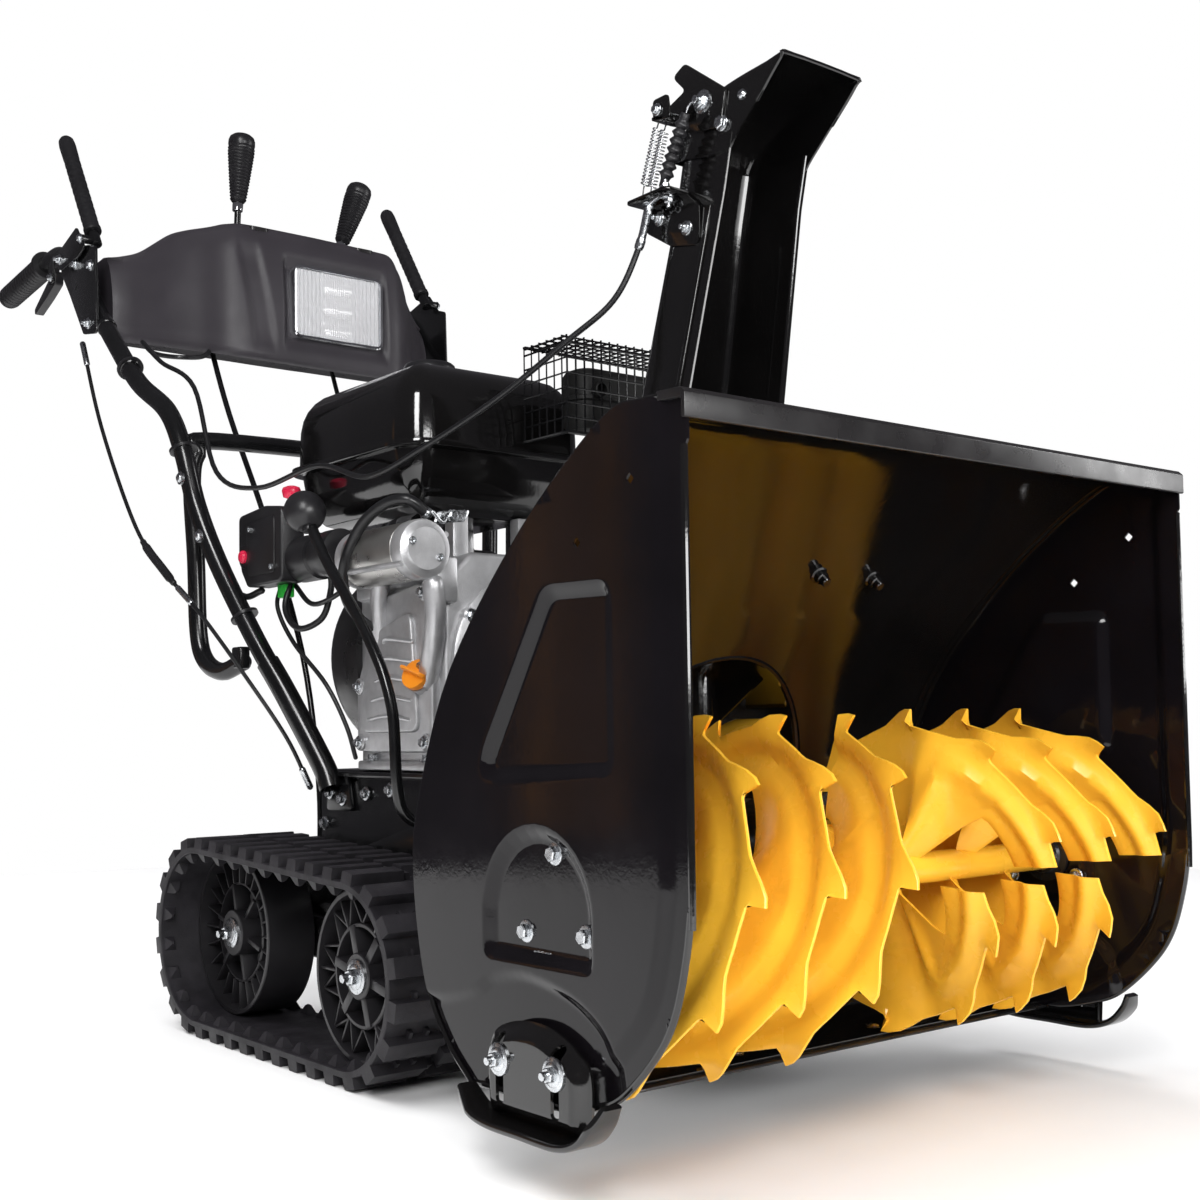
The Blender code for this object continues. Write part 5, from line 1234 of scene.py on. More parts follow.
def make_engine():
    block = Shape()
    base = FRAME_TOP + 0.0006
    outline = fillet([(-0.150, base), (0.105, base), (0.105, 0.560), (0.060, 0.610), (-0.110, 0.610),
                      (-0.150, 0.570)],
                     [0.010, 0.010, 0.02, 0.02, 0.02, 0.02], 5)
    block.prism(outline, 0.664, 0.866, "Y", 0.006, 3)
    # foot flange
    block.box((-0.158, 0.112), (0.672, 0.862), (base, base + 0.012), 0.003)
    # crankcase cover with its bolted rim and pressed ribs
    centre = place(ENGINE_X - 0.015, 0.664, 0.475)
    block.lathe(centre, (0, -1, 0), [(0.0, 0.106), (0.003, 0.108), (0.009, 0.108), (0.012, 0.104),
                                     (0.0135, 0.090),
                                     (0.0175, 0.078), (0.0190, 0.060), (0.0190, 0.034), (0.0165, 0.030),
                                     (0.0165, 0.0)], 64)
    for i in range(8):
        a = TAU * i / 8 + 0.2
        out = Vector((math.cos(a), 0, math.sin(a)))
        block.tube([centre + Vector((0, -0.012, 0)) + out * 0.100,
                    centre + Vector((0, -0.0175, 0)) + out * 0.075,
                    centre + Vector((0, -0.0195, 0)) + out * 0.040], 0.0042, 8, 3, round_ends=True)
        block.lathe(centre + out * 0.1005, (0, -1, 0), [(0, 0.0100), (0.010, 0.0100), (0.0112, 0.0088),
                                                        (0.0115, 0.004)], 20)
    # near side: bosses, webs and the breather cover
    side_x = -0.150
    block.prism(fillet([(0.676, 0.365), (0.856, 0.365), (0.856, 0.450), (0.800, 0.560), (0.700, 0.575),
                        (0.676, 0.540)],
                       0.022, 6), side_x - 0.012, side_x + 0.004, "X", 0.004, 3)
    block.prism(fillet([(0.700, 0.390), (0.836, 0.390), (0.830, 0.450), (0.790, 0.520), (0.716, 0.540)],
                       0.016, 6),
                side_x - 0.018, side_x, "X", 0.003, 3)
    for b, z in ((0.688, 0.378), (0.845, 0.378), (0.846, 0.450), (0.690, 0.560), (0.798, 0.552),
                 (0.690, 0.470)):
        block.lathe(place(side_x + 0.002, b, z), (-1, 0, 0),
                    [(0, 0.0115), (0.016, 0.0105), (0.0175, 0.0085)], 20)
    for k in range(5):
        z = 0.405 + 0.024 * k
        block.tube([place(side_x - 0.017, 0.715 - 0.001 * k, z), place(side_x - 0.0195, 0.765, z + 0.006),
                    place(side_x - 0.017, 0.818 - 0.010 * k, z + 0.002)], 0.0026, 8, 4, round_ends=True)
    # sloping arm that carries the starter, and its clamp pads
    block.tube([place(-0.158, 0.690, 0.450), place(-0.166, 0.660, 0.520), place(-0.172, 0.655, 0.568)],
               0.0135, 12, 5,
               round_ends=True)
    block.tube([place(-0.158, 0.800, 0.500), place(-0.166, 0.790, 0.555), place(-0.170, 0.780, 0.578)],
               0.0120, 12, 5,
               round_ends=True)
    block.box((-0.176, -0.140), (0.648, 0.668), (0.545, 0.600), 0.004)
    block.box((-0.160, -0.110), (0.800, 0.862), (0.560, 0.640), 0.006)
    # cylinder head with cooling fins
    for k in range(9):
        b = 0.690 + 0.0185 * k
        block.box((0.095, 0.242 - 0.006 * abs(k - 4)), (b, b + 0.0045), (0.412, 0.588), 0.001)
    block.box((0.095, 0.200), (0.700, 0.832), (0.430, 0.572), 0.006)
    block.prism(fillet([(0.692, 0.436), (0.838, 0.436), (0.838, 0.566), (0.692, 0.566)], 0.018, 5), 0.198,
                0.249, "X",
                0.005, 3)
    for x in (-0.100, 0.0):
        for b in (0.712, 0.848):
            block.box((x - 0.012, x + 0.012), (b - 0.010, b + 0.010), (0.598, 0.663), 0.003)
    block.make("engine_casting", "cast", "chassis", "engine_block", 35.0)

    shroud = Shape()
    shroud.lathe(place(ENGINE_X, 0.862, CRANK_HEIGHT + 0.020), (0, 1, 0),
                 [(0.0, 0.139), (0.062, 0.139), (0.074, 0.135), (0.082, 0.126), (0.0885, 0.112),
                  (0.0885, 0.0)], 72)
    shroud.box((0.06, 0.168), (0.850, 0.926), (0.415, 0.592), 0.010, 3)
    shroud.box((-0.080, 0.060), (0.850, 0.912), (0.585, 0.640), 0.008, 3)
    shroud.make("fan_shroud", "satin", "chassis")

    recoil = Shape()
    rear = place(ENGINE_X, 0.951, CRANK_HEIGHT + 0.020)
    recoil.lathe(rear, (0, 1, 0), [(0.0, 0.100), (0.003, 0.102), (0.014, 0.099), (0.022, 0.090),
                                   (0.025, 0.076),
                                   (0.025, 0.052), (0.028, 0.048), (0.034, 0.044), (0.036, 0.034),
                                   (0.036, 0.0)], 64)
    for i in range(20):
        a = TAU * i / 20
        out = Vector((math.cos(a), 0, math.sin(a)))
        recoil.tube([rear + out * 0.060 + Vector((0, 0.0255, 0)),
                     rear + out * 0.086 + Vector((0, 0.0225, 0))], 0.0024,
                    6, 1, round_ends=True)
    recoil.box((0.030, 0.060), (0.9535, 0.974), (0.560, 0.598), 0.004, 3)
    recoil.make("recoil_cover", "plastic", "chassis", "recoil_starter")
    handle = Shape()
    handle.lathe(place(0.010, 0.965, 0.611), (1, 0, 0), [(0.0, 0.004), (0.001, 0.0065), (0.006, 0.0092),
                                                         (0.014, 0.0098),
                 (0.035, 0.0085), (0.056, 0.0098), (0.064, 0.0092), (0.069, 0.0065), (0.070, 0.004)], 28)
    for k in range(5):
        handle.lathe(place(0.026 + 0.009 * k, 0.965, 0.611), (1, 0, 0),
                     [(0, 0.0085), (0.001, 0.0102), (0.0025, 0.0102),
                                                                        (0.0035, 0.0085)], 28)
    handle.make("recoil_handle", "plastic", "recoil_handle", "recoil_handle")
    rope = Shape()
    rope_low, rope_high = place(0.045, 0.965, 0.590), place(0.045, 0.965, 0.605)
    rope.rod(rope_low, rope_high, 0.0022, 10)
    thing = rope.make("starter_rope", "grip", None)
    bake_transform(thing)


def make_starter():
    motor = Shape()
    start = place(-0.1885, 0.6415, 0.607)
    motor.lathe(start + Vector((0, 0.026, 0)), (0, 1, 0),
                [(0.0, 0.0345), (0.001, 0.0355), (0.118, 0.0355), (0.119, 0.0345)],
                48)
    motor.make("starter_case", "motor", "chassis", "starter_motor")
    ends = Shape()
    ends.lathe(start, (0, 1, 0), [(0.0, 0.0), (0.0, 0.0255), (0.002, 0.0275), (0.004, 0.0345),
                                  (0.008, 0.0360),
                                  (0.024, 0.0360), (0.026, 0.0350)], 48)
    ends.lathe(start + Vector((0, 0.145, 0)), (0, 1, 0),
               [(0.0, 0.0350), (0.002, 0.0362), (0.012, 0.0362), (0.016, 0.033),
               (0.018, 0.024), (0.026, 0.0225), (0.0275, 0.018), (0.0275, 0.0)], 48)
    for a in (0.55, 0.55 + math.pi):
        out = Vector((math.cos(a), 0, math.sin(a)))
        ends.rod(start + out * 0.0365 + Vector((0, 0.006, 0)), start + out * 0.0365 + Vector((0, 0.158, 0)),
                 0.0036, 10)
    ends.make("starter_ends", "cast", "chassis")
    screws = Shape()
    for x, z in ((-0.020, 0.008), (0.018, -0.010)):
        screws.bolt(start + Vector((x, 0.0004, z)), (0, -1, 0), 0.0048, 0.0042, "screw")
    centre = place(ENGINE_X - 0.015, 0.664, 0.475)
    for i in range(8):
        a = TAU * i / 8 + 0.2
        out = Vector((math.cos(a), 0, math.sin(a)))
        screws.bolt(centre + out * 0.1005 + Vector((0, -0.0112, 0)), (0, -1, 0), 0.0056, 0.0052)
    for b, z in ((0.688, 0.378), (0.845, 0.378), (0.846, 0.450), (0.690, 0.560), (0.798, 0.552),
                 (0.690, 0.470)):
        screws.bolt(place(-0.1652, b, z), (-1, 0, 0), 0.0054, 0.0050)
    screws.bolt(place(-0.176, 0.658, 0.560), (-1, 0, 0), 0.0062, 0.0055)
    screws.bolt(place(-0.176, 0.658, 0.584), (-1, 0, 0), 0.0062, 0.0055)
    for b in (0.70, 0.83):
        screws.bolt(place(-0.154, b, 0.3552), (0, 0, 1), 0.0062, 0.006)
        screws.bolt(place(0.108, b, 0.3552), (0, 0, 1), 0.0062, 0.006)
    screws.make("engine_bolts", "zinc", "chassis")


def make_switch_box():
    case = Shape()
    outline = fillet([(0.930, 0.590), (1.030, 0.590), (1.048, 0.612), (1.056, 0.640), (1.056, 0.690),
                      (0.978, 0.696),
                      (0.930, 0.690)], [0.010, 0.008, 0.010, 0.010, 0.010, 0.014, 0.010], 5)
    case.prism(outline, -0.232, -0.196, "X", 0.004, 3)
    case.prism(fillet([(0.946, 0.604), (1.022, 0.604), (1.030, 0.676), (0.946, 0.680)], 0.006, 4), -0.234,
               -0.230, "X", 0.001)
    case.lathe(place(-0.1955, 0.828, 0.621), (0, 1, 0), [(0.0, 0.020), (0.001, 0.029), (0.004, 0.0305),
                                                         (0.030, 0.0305),
               (0.034, 0.0275), (0.050, 0.0275), (0.054, 0.0305), (0.108, 0.0305)], 40)
    case.lathe(place(-0.2335, 1.035, 0.632), (1, 0, 0), [(0, 0.0120), (0.0, 0.0155), (0.001, 0.0160),
                                                         (0.004, 0.0160)], 32)
    case.make("switch_box", "plastic", "chassis", "switch_box")
    button = Shape()
    button.lathe(place(-0.2225, 1.035, 0.632), (-1, 0, 0),
                 [(0.0, 0.0085), (0.010, 0.0090), (0.014, 0.0088), (0.0165, 0.0070),
                                                           (0.0175, 0.0040), (0.0178, 0.0)], 32)
    button.make("stop_button", "red", "stop_button", "stop_button")
    knob = Shape()
    knob.lathe(place(-0.2180, 0.925, 0.700), (-0.2, -0.3, 1),
               [(0, 0.006), (0.002, 0.011), (0.010, 0.0125), (0.014, 0.011),
                                                            (0.016, 0.006), (0.0162, 0.0)], 28)
    knob.make("choke_knob", "red", "chassis")
    screws = Shape()
    for b, z in ((0.952, 0.612), (1.016, 0.668)):
        screws.bolt(place(-0.2338, b, z), (-1, 0, 0), 0.0042, 0.0032, "screw")
    screws.make("switch_screws", "zinc", "chassis")
    clip = Shape()
    clip.box((-0.214, -0.200), (0.952, 0.976), (0.572, 0.590), 0.002)
    clip.make("wire_clip", "green", "chassis")


def make_dipstick():
    at, axis = place(-0.1605, 0.700, 0.455), Vector((-0.85, -0.30, 0.42)).normalized()
    neck = Shape()
    neck.lathe(at - axis * 0.012, axis, [(0, 0.0185), (0.008, 0.0180), (0.013, 0.0175), (0.0155, 0.0195),
                                         (0.0170, 0.0195)], 32)
    neck.make("filler_neck", "cast", "chassis")
    cap = Shape()
    cap.lathe(at + axis * 0.0052, axis, [(0, 0.0150), (0.001, 0.0185), (0.006, 0.0195), (0.010, 0.0190),
                                         (0.012, 0.0150),
                                         (0.013, 0.0)], 40)
    across = axis.cross(Vector((0, 0, 1))).normalized()
    up = across.cross(axis)
    tilt = (across * 0.94 + up * 0.34).normalized()
    wing = []
    for s, height in ((-1.0, 0.0045), (-0.85, 0.0095), (-0.45, 0.0120), (0.0, 0.0095), (0.45, 0.0120),
                      (0.85, 0.0095),
                      (1.0, 0.0045)):
        here = at + axis * 0.0165 + tilt * 0.0205 * s
        thick = tilt.cross(axis) * 0.0030
        wing.append([here - thick, here + thick, here + thick * 0.6 + axis * height,
                     here - thick * 0.6 + axis * height])
    cap.loft(wing, True, 0.0012, 3)
    cap.make("dipstick_cap", "orange", "dipstick", "dipstick")


def make_muffler():
    body = Shape()
    levels = ((0.764, 0.014), (0.766, 0.006), (0.772, 0.001), (0.776, 0.0), (0.800, 0.0), (0.8015, -0.0035),
              (0.8060, -0.0035),
              (0.8075, 0.0), (0.834, 0.0), (0.840, 0.004), (0.843, 0.012))
    body.loft([[place(px, pb, z) for px, pb in rounded_plan((0.005, 0.190), (0.586, 0.646), 0.028, inset)]
               for z, inset in levels])
    body.tube([place(0.160, 0.615, 0.790), place(0.170, 0.650, 0.740), place(0.172, 0.720, 0.690),
               place(0.172, 0.730, 0.630), place(0.172, 0.730, 0.566)], 0.0145, 20, 8)
    body.lathe(place(0.172, 0.730, 0.588), (0, 0, 1), [(0, 0.024), (0.007, 0.024), (0.007, 0.015)], 32)
    body.lathe(place(0.030, 0.588, 0.812), (0, -1, 0), [(0, 0.0105), (0.010, 0.0105), (0.010, 0.008),
                                                        (0.002, 0.008)], 24)
    body.make("muffler", "muffler", "chassis", "muffler")

    # wire basket round the muffler
    guard = Shape()
    x0, x1, b0, b1, low, high = -0.030, 0.215, 0.572, 0.660, 0.752, 0.872
    bend, wire = 0.010, 0.0013

    def hoop(x):
        return [place(x, b1, high - 0.0015), place(x, b0 + bend, high - 0.0015),
                place(x, b0 + bend * 0.3, high - bend * 0.35),
                place(x, b0 + 0.0015, high - bend), place(x, b0 + 0.0015, low)]
    count = 18
    for i in range(count + 1):
        guard.tube(soft_corner(hoop(x0 + 0.0015 + (x1 - x0 - 0.003) * i / count)), wire, 6, 1)
    for k in range(7):
        z = low + (high - bend - low) * k / 6
        guard.tube([place(x0, b1, z), place(x0, b0, z), place(x1, b0, z), place(x1, b1, z)], wire, 6, 1)
    for k in range(6):
        b = b0 + bend + (b1 - b0 - bend) * k / 5
        guard.tube([place(x0, b, low), place(x0, b, high), place(x1, b, high), place(x1, b, low)], wire, 6, 1)
    guard.tube([place(x0, b1, low), place(x0, b0, low), place(x1, b0, low), place(x1, b1, low)], 0.0024, 8, 1)
    guard.tube([place(x0, b1, high), place(x0, b1 - 0.003, high), place(x1, b1, high)], 0.0022, 8, 1)
    guard.make("muffler_guard", "tube", "chassis", "muffler_guard")


def soft_corner(path):
    return smooth_path(path, 2)


def make_hoses():
    """Soft lines and leads round the engine."""
    hoses = Shape()
    for radius, route in (
            (0.0068, ((-0.170, 0.668, 0.652), (-0.196, 0.672, 0.668), (-0.212, 0.700, 0.664),
                      (-0.222, 0.740, 0.640),
                      (-0.226, 0.772, 0.596), (-0.214, 0.790, 0.560), (-0.190, 0.800, 0.535),
                      (-0.166, 0.800, 0.520))),
            (0.0042, ((-0.205, 0.955, 0.592), (-0.216, 0.948, 0.555), (-0.212, 0.918, 0.528),
                      (-0.196, 0.885, 0.540),
                      (-0.190, 0.872, 0.575), (-0.192, 0.868, 0.598))),
            (0.0030, ((-0.196, 1.000, 0.592), (-0.206, 0.990, 0.560), (-0.198, 0.960, 0.512),
                      (-0.180, 0.905, 0.455),
                      (-0.164, 0.880, 0.400), (-0.156, 0.870, 0.358))),
            (0.0034, ((-0.188, 0.816, 0.585), (-0.200, 0.845, 0.565), (-0.200, 0.905, 0.560),
                      (-0.196, 0.960, 0.590)))):
        hoses.tube([place(*p) for p in route], radius, 12, 8, round_ends=True)
    hoses.make("engine_hoses", "hose", "chassis")
    clips = Shape()
    for at, axis, size in (((-0.172, 0.6685, 0.6530), (-1, 0.1, 0.6), 0.0082),
                           ((-0.168, 0.800, 0.5215), (1, 0, -0.6), 0.0082)):
        clips.lathe(place(*at), axis, [(-0.003, size), (0.003, size)], 24, 0.0006)
    # throttle arm on its plate, in front of the tank
    clips.prism(fillet([(-0.165, 0.640), (-0.120, 0.646), (-0.110, 0.662), (-0.158, 0.656)], 0.004, 3),
                0.664, 0.6670, "Y", 0.0005)
    clips.tube([place(-0.150, 0.655, 0.652), place(-0.162, 0.648, 0.640), place(-0.178, 0.646, 0.652)],
               0.0022, 10, 5,
               round_ends=True)
    clips.bolt(place(-0.138, 0.6638, 0.652), (0, -1, 0), 0.0052, 0.005)
    clips.make("hose_clips", "zinc", "chassis")
    sensor = Shape()
    sensor.lathe(place(-0.125, 0.652, 0.392), (-0.3, -1, 0.1),
                 [(0, 0.009), (0.008, 0.009), (0.009, 0.0065), (0.018, 0.006),
                                                               (0.020, 0.0045), (0.024, 0.004)], 20)
    sensor.make("oil_plug", "brass", "chassis")


def make_belt_cover():
    cover = Shape()
    outline = fillet([(-0.115, 0.205), (0.115, 0.205), (0.115, 0.500), (0.085, 0.585), (-0.105, 0.585),
                      (-0.115, 0.500)],
                     [0.03, 0.03, 0.03, 0.03, 0.03, 0.03], 6)
    cover.prism(outline, 0.4830, 0.6115, "Y", 0.010, 3)
    cover.prism(fillet([(-0.090, 0.235), (0.090, 0.235), (0.090, 0.480), (0.065, 0.555), (-0.080, 0.555),
                        (-0.090, 0.480)],
                       0.03, 6), 0.4815, 0.4900, "Y", 0.003)
    cover.make("belt_cover", "plastic", "chassis", "belt_cover")


make_tank()
make_engine()
make_starter()
make_switch_box()
make_dipstick()
make_muffler()
make_hoses()
make_belt_cover()


# ----------------------------------------------------------- handlebars and levers
HANDLE_X, HANDLE_RADIUS = 0.300, 0.0135


def handle_route(side):
    """Centre line of a handlebar, from the frame's side up to the grip."""
    inward = [(0.1670, 0.916, 0.318), (0.172, 0.930, 0.350), (0.200, 0.980, 0.445), (0.222, 1.020, 0.515),
              (0.250, 1.076, 0.622), (0.270, 1.106, 0.707), (0.284, 1.120, 0.786), (0.291, 1.158, 0.848),
              (0.296, 1.250, 0.905), (HANDLE_X, 1.336, 0.984), (HANDLE_X, 1.420, 1.062),
              (HANDLE_X, 1.500, 1.138), (HANDLE_X, 1.560, 1.172), (HANDLE_X, 1.620, 1.177)]
    return [place(side * x, back, height) for x, back, height in inward]


def make_handlebar(side, label):
    route = handle_route(side)
    tip = place(side * HANDLE_X, 1.818, 1.1652)
    bar = Shape()
    bar.tube(route + [tip], HANDLE_RADIUS, 20, 8)
    # sleeve joint and clamp half way up, lower plug-in tube
    lower = smooth_path(route[:5], 8)
    bar.tube(lower[:22], HANDLE_RADIUS + 0.0022, 20, 1)
    for k in (8, 9):
        at = route[k].lerp(route[k + 1], 0.35)
        run = (route[k + 1] - route[k]).normalized()
        bar.lathe(at - run * 0.004, run, [(0, 0.0138), (0.001, 0.0150), (0.007, 0.0150), (0.008, 0.0138)], 24)
    sign = sorted((side * (HANDLE_X + 0.0125), side * (HANDLE_X + 0.0165)))
    plate = fillet([(1.365, 1.000), (1.420, 1.010), (1.480, 1.085), (1.520, 1.130), (1.505, 1.165),
                    (1.475, 1.160),
                    (1.400, 1.145), (1.370, 1.135)], 0.008, 4)
    bar.prism(plate, sign[0], sign[1], "X", 0.0008)
    bar.prism(fillet([(0.880, 0.288), (0.948, 0.288), (0.962, 0.340), (0.893, 0.340)], 0.008, 4),
              *sorted((side * 0.1508, side * 0.1560)), "X", 0.001)
    bar.prism(fillet([(1.574, 1.130), (1.598, 1.130), (1.598, 1.171), (1.574, 1.171)], 0.006, 4),
              *sorted((side * (HANDLE_X + 0.0075), side * (HANDLE_X + 0.0105))), "X", 0.0008)
    bar.make(f"handlebar_{label}", "tube", "chassis", f"handlebar_{label}")

    bolts = Shape()
    outer = side * (HANDLE_X + 0.0166)
    for b, z in ((1.398, 1.022), (1.452, 1.128), (1.500, 1.146), (1.388, 1.110)):
        bolts.bolt(place(outer, b, z), (side, 0, 0), 0.0058, 0.0050, "nut" if z < 1.1 else "flange")
    for b, z in ((0.905, 0.304), (0.938, 0.312)):
        bolts.bolt(place(side * 0.1560, b, z), (side, 0, 0), 0.0062, 0.0056)
    for k in (5, 4):
        at = route[k].lerp(route[k + 1], 0.5)
        bolts.lathe(at + Vector((side * (HANDLE_RADIUS + 0.0005), 0, 0)), (side, 0, 0),
                    [(-0.002, 0.0095), (0.0012, 0.0095), (0.0016, 0.0065), (0.004, 0.0055),
                     (0.0055, 0.0030), (0.0058, 0)], 24)
    bolts.make(f"handle_bolts_{label}", "zinc", "chassis")

    grip = Shape()
    start = place(side * HANDLE_X, 1.640, 1.1759)
    axis = (tip - start).normalized()
    profile = [(-0.002, 0.0148), (-0.002, 0.0225), (0.000, 0.0235), (0.004, 0.0235), (0.006, 0.0205),
               (0.010, 0.0196)]
    for k in range(14):
        here = 0.014 + 0.0118 * k
        profile += [(here, 0.0196), (here + 0.0015, 0.0189), (here + 0.0045, 0.0189), (here + 0.006, 0.0196)]
    profile += [(0.184, 0.0194), (0.190, 0.0185), (0.195, 0.0150), (0.1965, 0.0090), (0.197, 0.0)]
    grip.lathe(start, axis, profile, 32)
    grip.make(f"grip_{label}", "grip", "chassis", f"grip_{label}")


def make_clutch_lever(side, label):
    foot, top = place(side * HANDLE_X, 1.408, 1.150), place(side * HANDLE_X, 1.549, 1.362)
    length = (top - foot).length
    axis = (top - foot).normalized()
    sleeve = Shape()
    profile = [(0.028, 0.0090), (0.028, 0.0125), (0.030, 0.0135), (0.036, 0.0135), (0.038, 0.0122)]
    for k in range(10):
        here = 0.050 + 0.016 * k
        profile += [(here, 0.0124), (here + 0.002, 0.0119), (here + 0.006, 0.0119), (here + 0.008, 0.0126)]
    profile += [(length - 0.020, 0.0132), (length - 0.008, 0.0122), (length - 0.003, 0.0095),
                (length - 0.0005, 0.0050),
                (length, 0.0)]
    sleeve.lathe(foot, axis, profile, 28)
    sleeve.make(f"clutch_sleeve_{label}", "grip", f"clutch_{label}", f"clutch_lever_{label}")
    steel = Shape()
    steel.rod(foot, foot + axis * 0.034, 0.0085, 16, 0.001)
    x_arm = HANDLE_X + 0.0200
    arm = fillet([(1.398, 1.140), (1.424, 1.132), (1.500, 1.128), (1.522, 1.140), (1.516, 1.160),
                  (1.434, 1.180)], 0.006, 4)
    steel.prism(arm, *sorted((side * x_arm, side * (x_arm + 0.0036))), "X", 0.0008)
    steel.rod(place(side * (HANDLE_X + 0.002), 1.413, 1.157), place(side * (x_arm + 0.002), 1.413, 1.157),
              0.0068, 14, 0.001)
    steel.make(f"clutch_arm_{label}", "tube", f"clutch_{label}")
    pins = Shape()
    pins.bolt(place(side * (x_arm + 0.0036), 1.505, 1.147), (side, 0, 0), 0.0055, 0.0045, "nut")
    pins.bolt(place(side * (x_arm + 0.0036), 1.413, 1.157), (side, 0, 0), 0.0048, 0.0040)
    pins.make(f"clutch_pins_{label}", "zinc", f"clutch_{label}")

    b, z = 1.585, 1.140
    trigger = Shape()
    outline = fillet([(b - 0.012, z + 0.012), (b + 0.012, z + 0.006), (b + 0.090, z - 0.032),
                      (b + 0.088, z - 0.042),
                      (b + 0.030, z - 0.026), (b - 0.010, z - 0.012)],
                      [0.007, 0.006, 0.005, 0.004, 0.012, 0.007], 5)
    trigger.prism(outline, side * HANDLE_X - 0.007, side * HANDLE_X + 0.007, "X", 0.0025, 3)
    trigger.make(f"steer_trigger_{label}", "plastic", f"trigger_{label}",
                 f"steer_trigger_{label}")
    pin = Shape()
    pin.bolt(place(side * (HANDLE_X + 0.0107), b, z), (side, 0, 0), 0.0045, 0.004)
    pin.make(f"trigger_pin_{label}", "zinc", "chassis")


def make_hoop():
    half = [(0.2275, 1.050, 0.490), (0.237, 1.095, 0.478), (0.246, 1.130, 0.494), (0.250, 1.146, 0.535),
            (0.252, 1.150, 0.640), (0.256, 1.154, 0.745), (0.248, 1.154, 0.790), (0.215, 1.154, 0.812)]
    hoop = Shape()
    hoop.tube([place(-x, b, z) for x, b, z in half] + [place(x, b, z) for x, b, z in reversed(half)],
              0.0125, 18, 8,
              round_ends=True)
    for side, _ in SIDES:
        hoop.box(sorted((side * 0.224, side * 0.240)), (1.036, 1.062), (0.480, 0.510), 0.003, 3)
    hoop.make("rear_hoop", "tube", "chassis", "rear_hoop")


def make_knob(name, body, foot, low, high, node):
    axis = (high - low).normalized()
    length = (high - low).length
    knob = Shape()
    profile = [(0.002, 0.0085), (0.004, 0.0105)]
    ribs = 17
    pitch = (length - 0.026) / ribs
    for k in range(ribs):
        here = 0.008 + pitch * k
        size = 0.0118 + 0.0095 * min(1.0, here / (length - 0.030)) ** 0.85
        profile += [(here, size), (here + 0.28 * pitch, size - 0.0009), (here + 0.72 * pitch, size - 0.0009)]
    profile += [(length - 0.017, 0.0213), (length - 0.010, 0.0210), (length - 0.005, 0.0192),
                (length - 0.0015, 0.0150),
                (length - 0.0003, 0.0090), (length, 0.0)]
    knob.lathe(low, axis, profile, 36)
    knob.make(f"{name}_knob", "plastic", body, node)
    stem = Shape()
    stem.tube([foot, foot.lerp(low, 0.5), low + axis * 0.01], 0.0052, 16, 4)
    stem.rod(foot - Vector((0.010, 0, 0)), foot + Vector((0.010, 0, 0)), 0.0105, 16, 0.001)
    stem.make(f"{name}_stem", "tube", body)
    collar = Shape()
    collar.lathe(low - axis * 0.012, axis, [(0, 0.0062), (0.001, 0.0082), (0.012, 0.0086),
                                            (0.0145, 0.0072)], 24)
    collar.make(f"{name}_collar", "chrome", body)


def make_track_lever():
    lever = Shape()
    lever.tube([place(-0.163, 0.628, 0.282), place(-0.225, 0.640, 0.300), place(-0.236, 0.645, 0.420),
                place(-0.245, 0.680, 0.500), place(-0.254, 0.765, 0.600), place(-0.258, 0.800, 0.650)],
                0.0068, 18, 10)
    lever.box((-0.166, -0.1526), (0.618, 0.640), (0.255, 0.300), 0.003, 3)
    lever.make("track_lever", "tube", "track_lever", "track_lever")
    ball = Shape()
    profile = [(0.0, 0.0085), (0.004, 0.0090), (0.005, 0.0140)]
    for k in range(13):
        a = -math.pi / 2 + 0.55 + (math.pi - 0.55) * k / 12
        profile.append((0.0265 + 0.0262 * math.sin(a), 0.0262 * math.cos(a)))
    ball.lathe(place(-0.259, 0.799, 0.640), (-0.05, 0.35, 0.93), profile, 40)
    ball.make("track_lever_ball", "plastic", "track_lever")


def console_rows():
    """Half-widths run left to right as columns; each column is a profile from the lower lip over the top."""
    # x, front back, lower lip, face top, crown height, crown back, rear back
    return [(-0.2835, 1.388, 1.000, 1.126, 1.136, 1.425, 1.470),
            (-0.262, 1.372, 0.997, 1.127, 1.140, 1.415, 1.474),
            (-0.240, 1.348, 0.992, 1.129, 1.144, 1.395, 1.480),
            (-0.222, 1.326, 0.987, 1.140, 1.158, 1.380, 1.485),
            (-0.202, 1.306, 0.982, 1.152, 1.174, 1.362, 1.489),
            (-0.180, 1.286, 0.977, 1.158, 1.180, 1.345, 1.494),
            (-0.160, 1.262, 0.972, 1.160, 1.182, 1.325, 1.498),
            (-0.148, 1.253, 0.969, 1.163, 1.185, 1.318, 1.500),
            (-0.132, 1.247, 0.967, 1.169, 1.191, 1.312, 1.500),
            (-0.100, 1.2425, 0.966, 1.169, 1.191, 1.308, 1.500),
            (0.000, 1.2415, 0.965, 1.169, 1.191, 1.306, 1.500),
            (0.080, 1.2415, 0.965, 1.168, 1.190, 1.306, 1.500),
            (0.138, 1.2425, 0.966, 1.167, 1.189, 1.308, 1.500),
            (0.150, 1.248, 0.968, 1.163, 1.185, 1.312, 1.500),
            (0.165, 1.260, 0.972, 1.152, 1.174, 1.322, 1.498),
            (0.185, 1.284, 0.977, 1.144, 1.164, 1.345, 1.494),
            (0.205, 1.312, 0.982, 1.138, 1.156, 1.368, 1.488),
            (0.235, 1.345, 0.990, 1.124, 1.138, 1.395, 1.480),
            (0.262, 1.372, 0.997, 1.110, 1.122, 1.415, 1.474),
            (0.2835, 1.388, 1.000, 1.100, 1.110, 1.425, 1.470)]


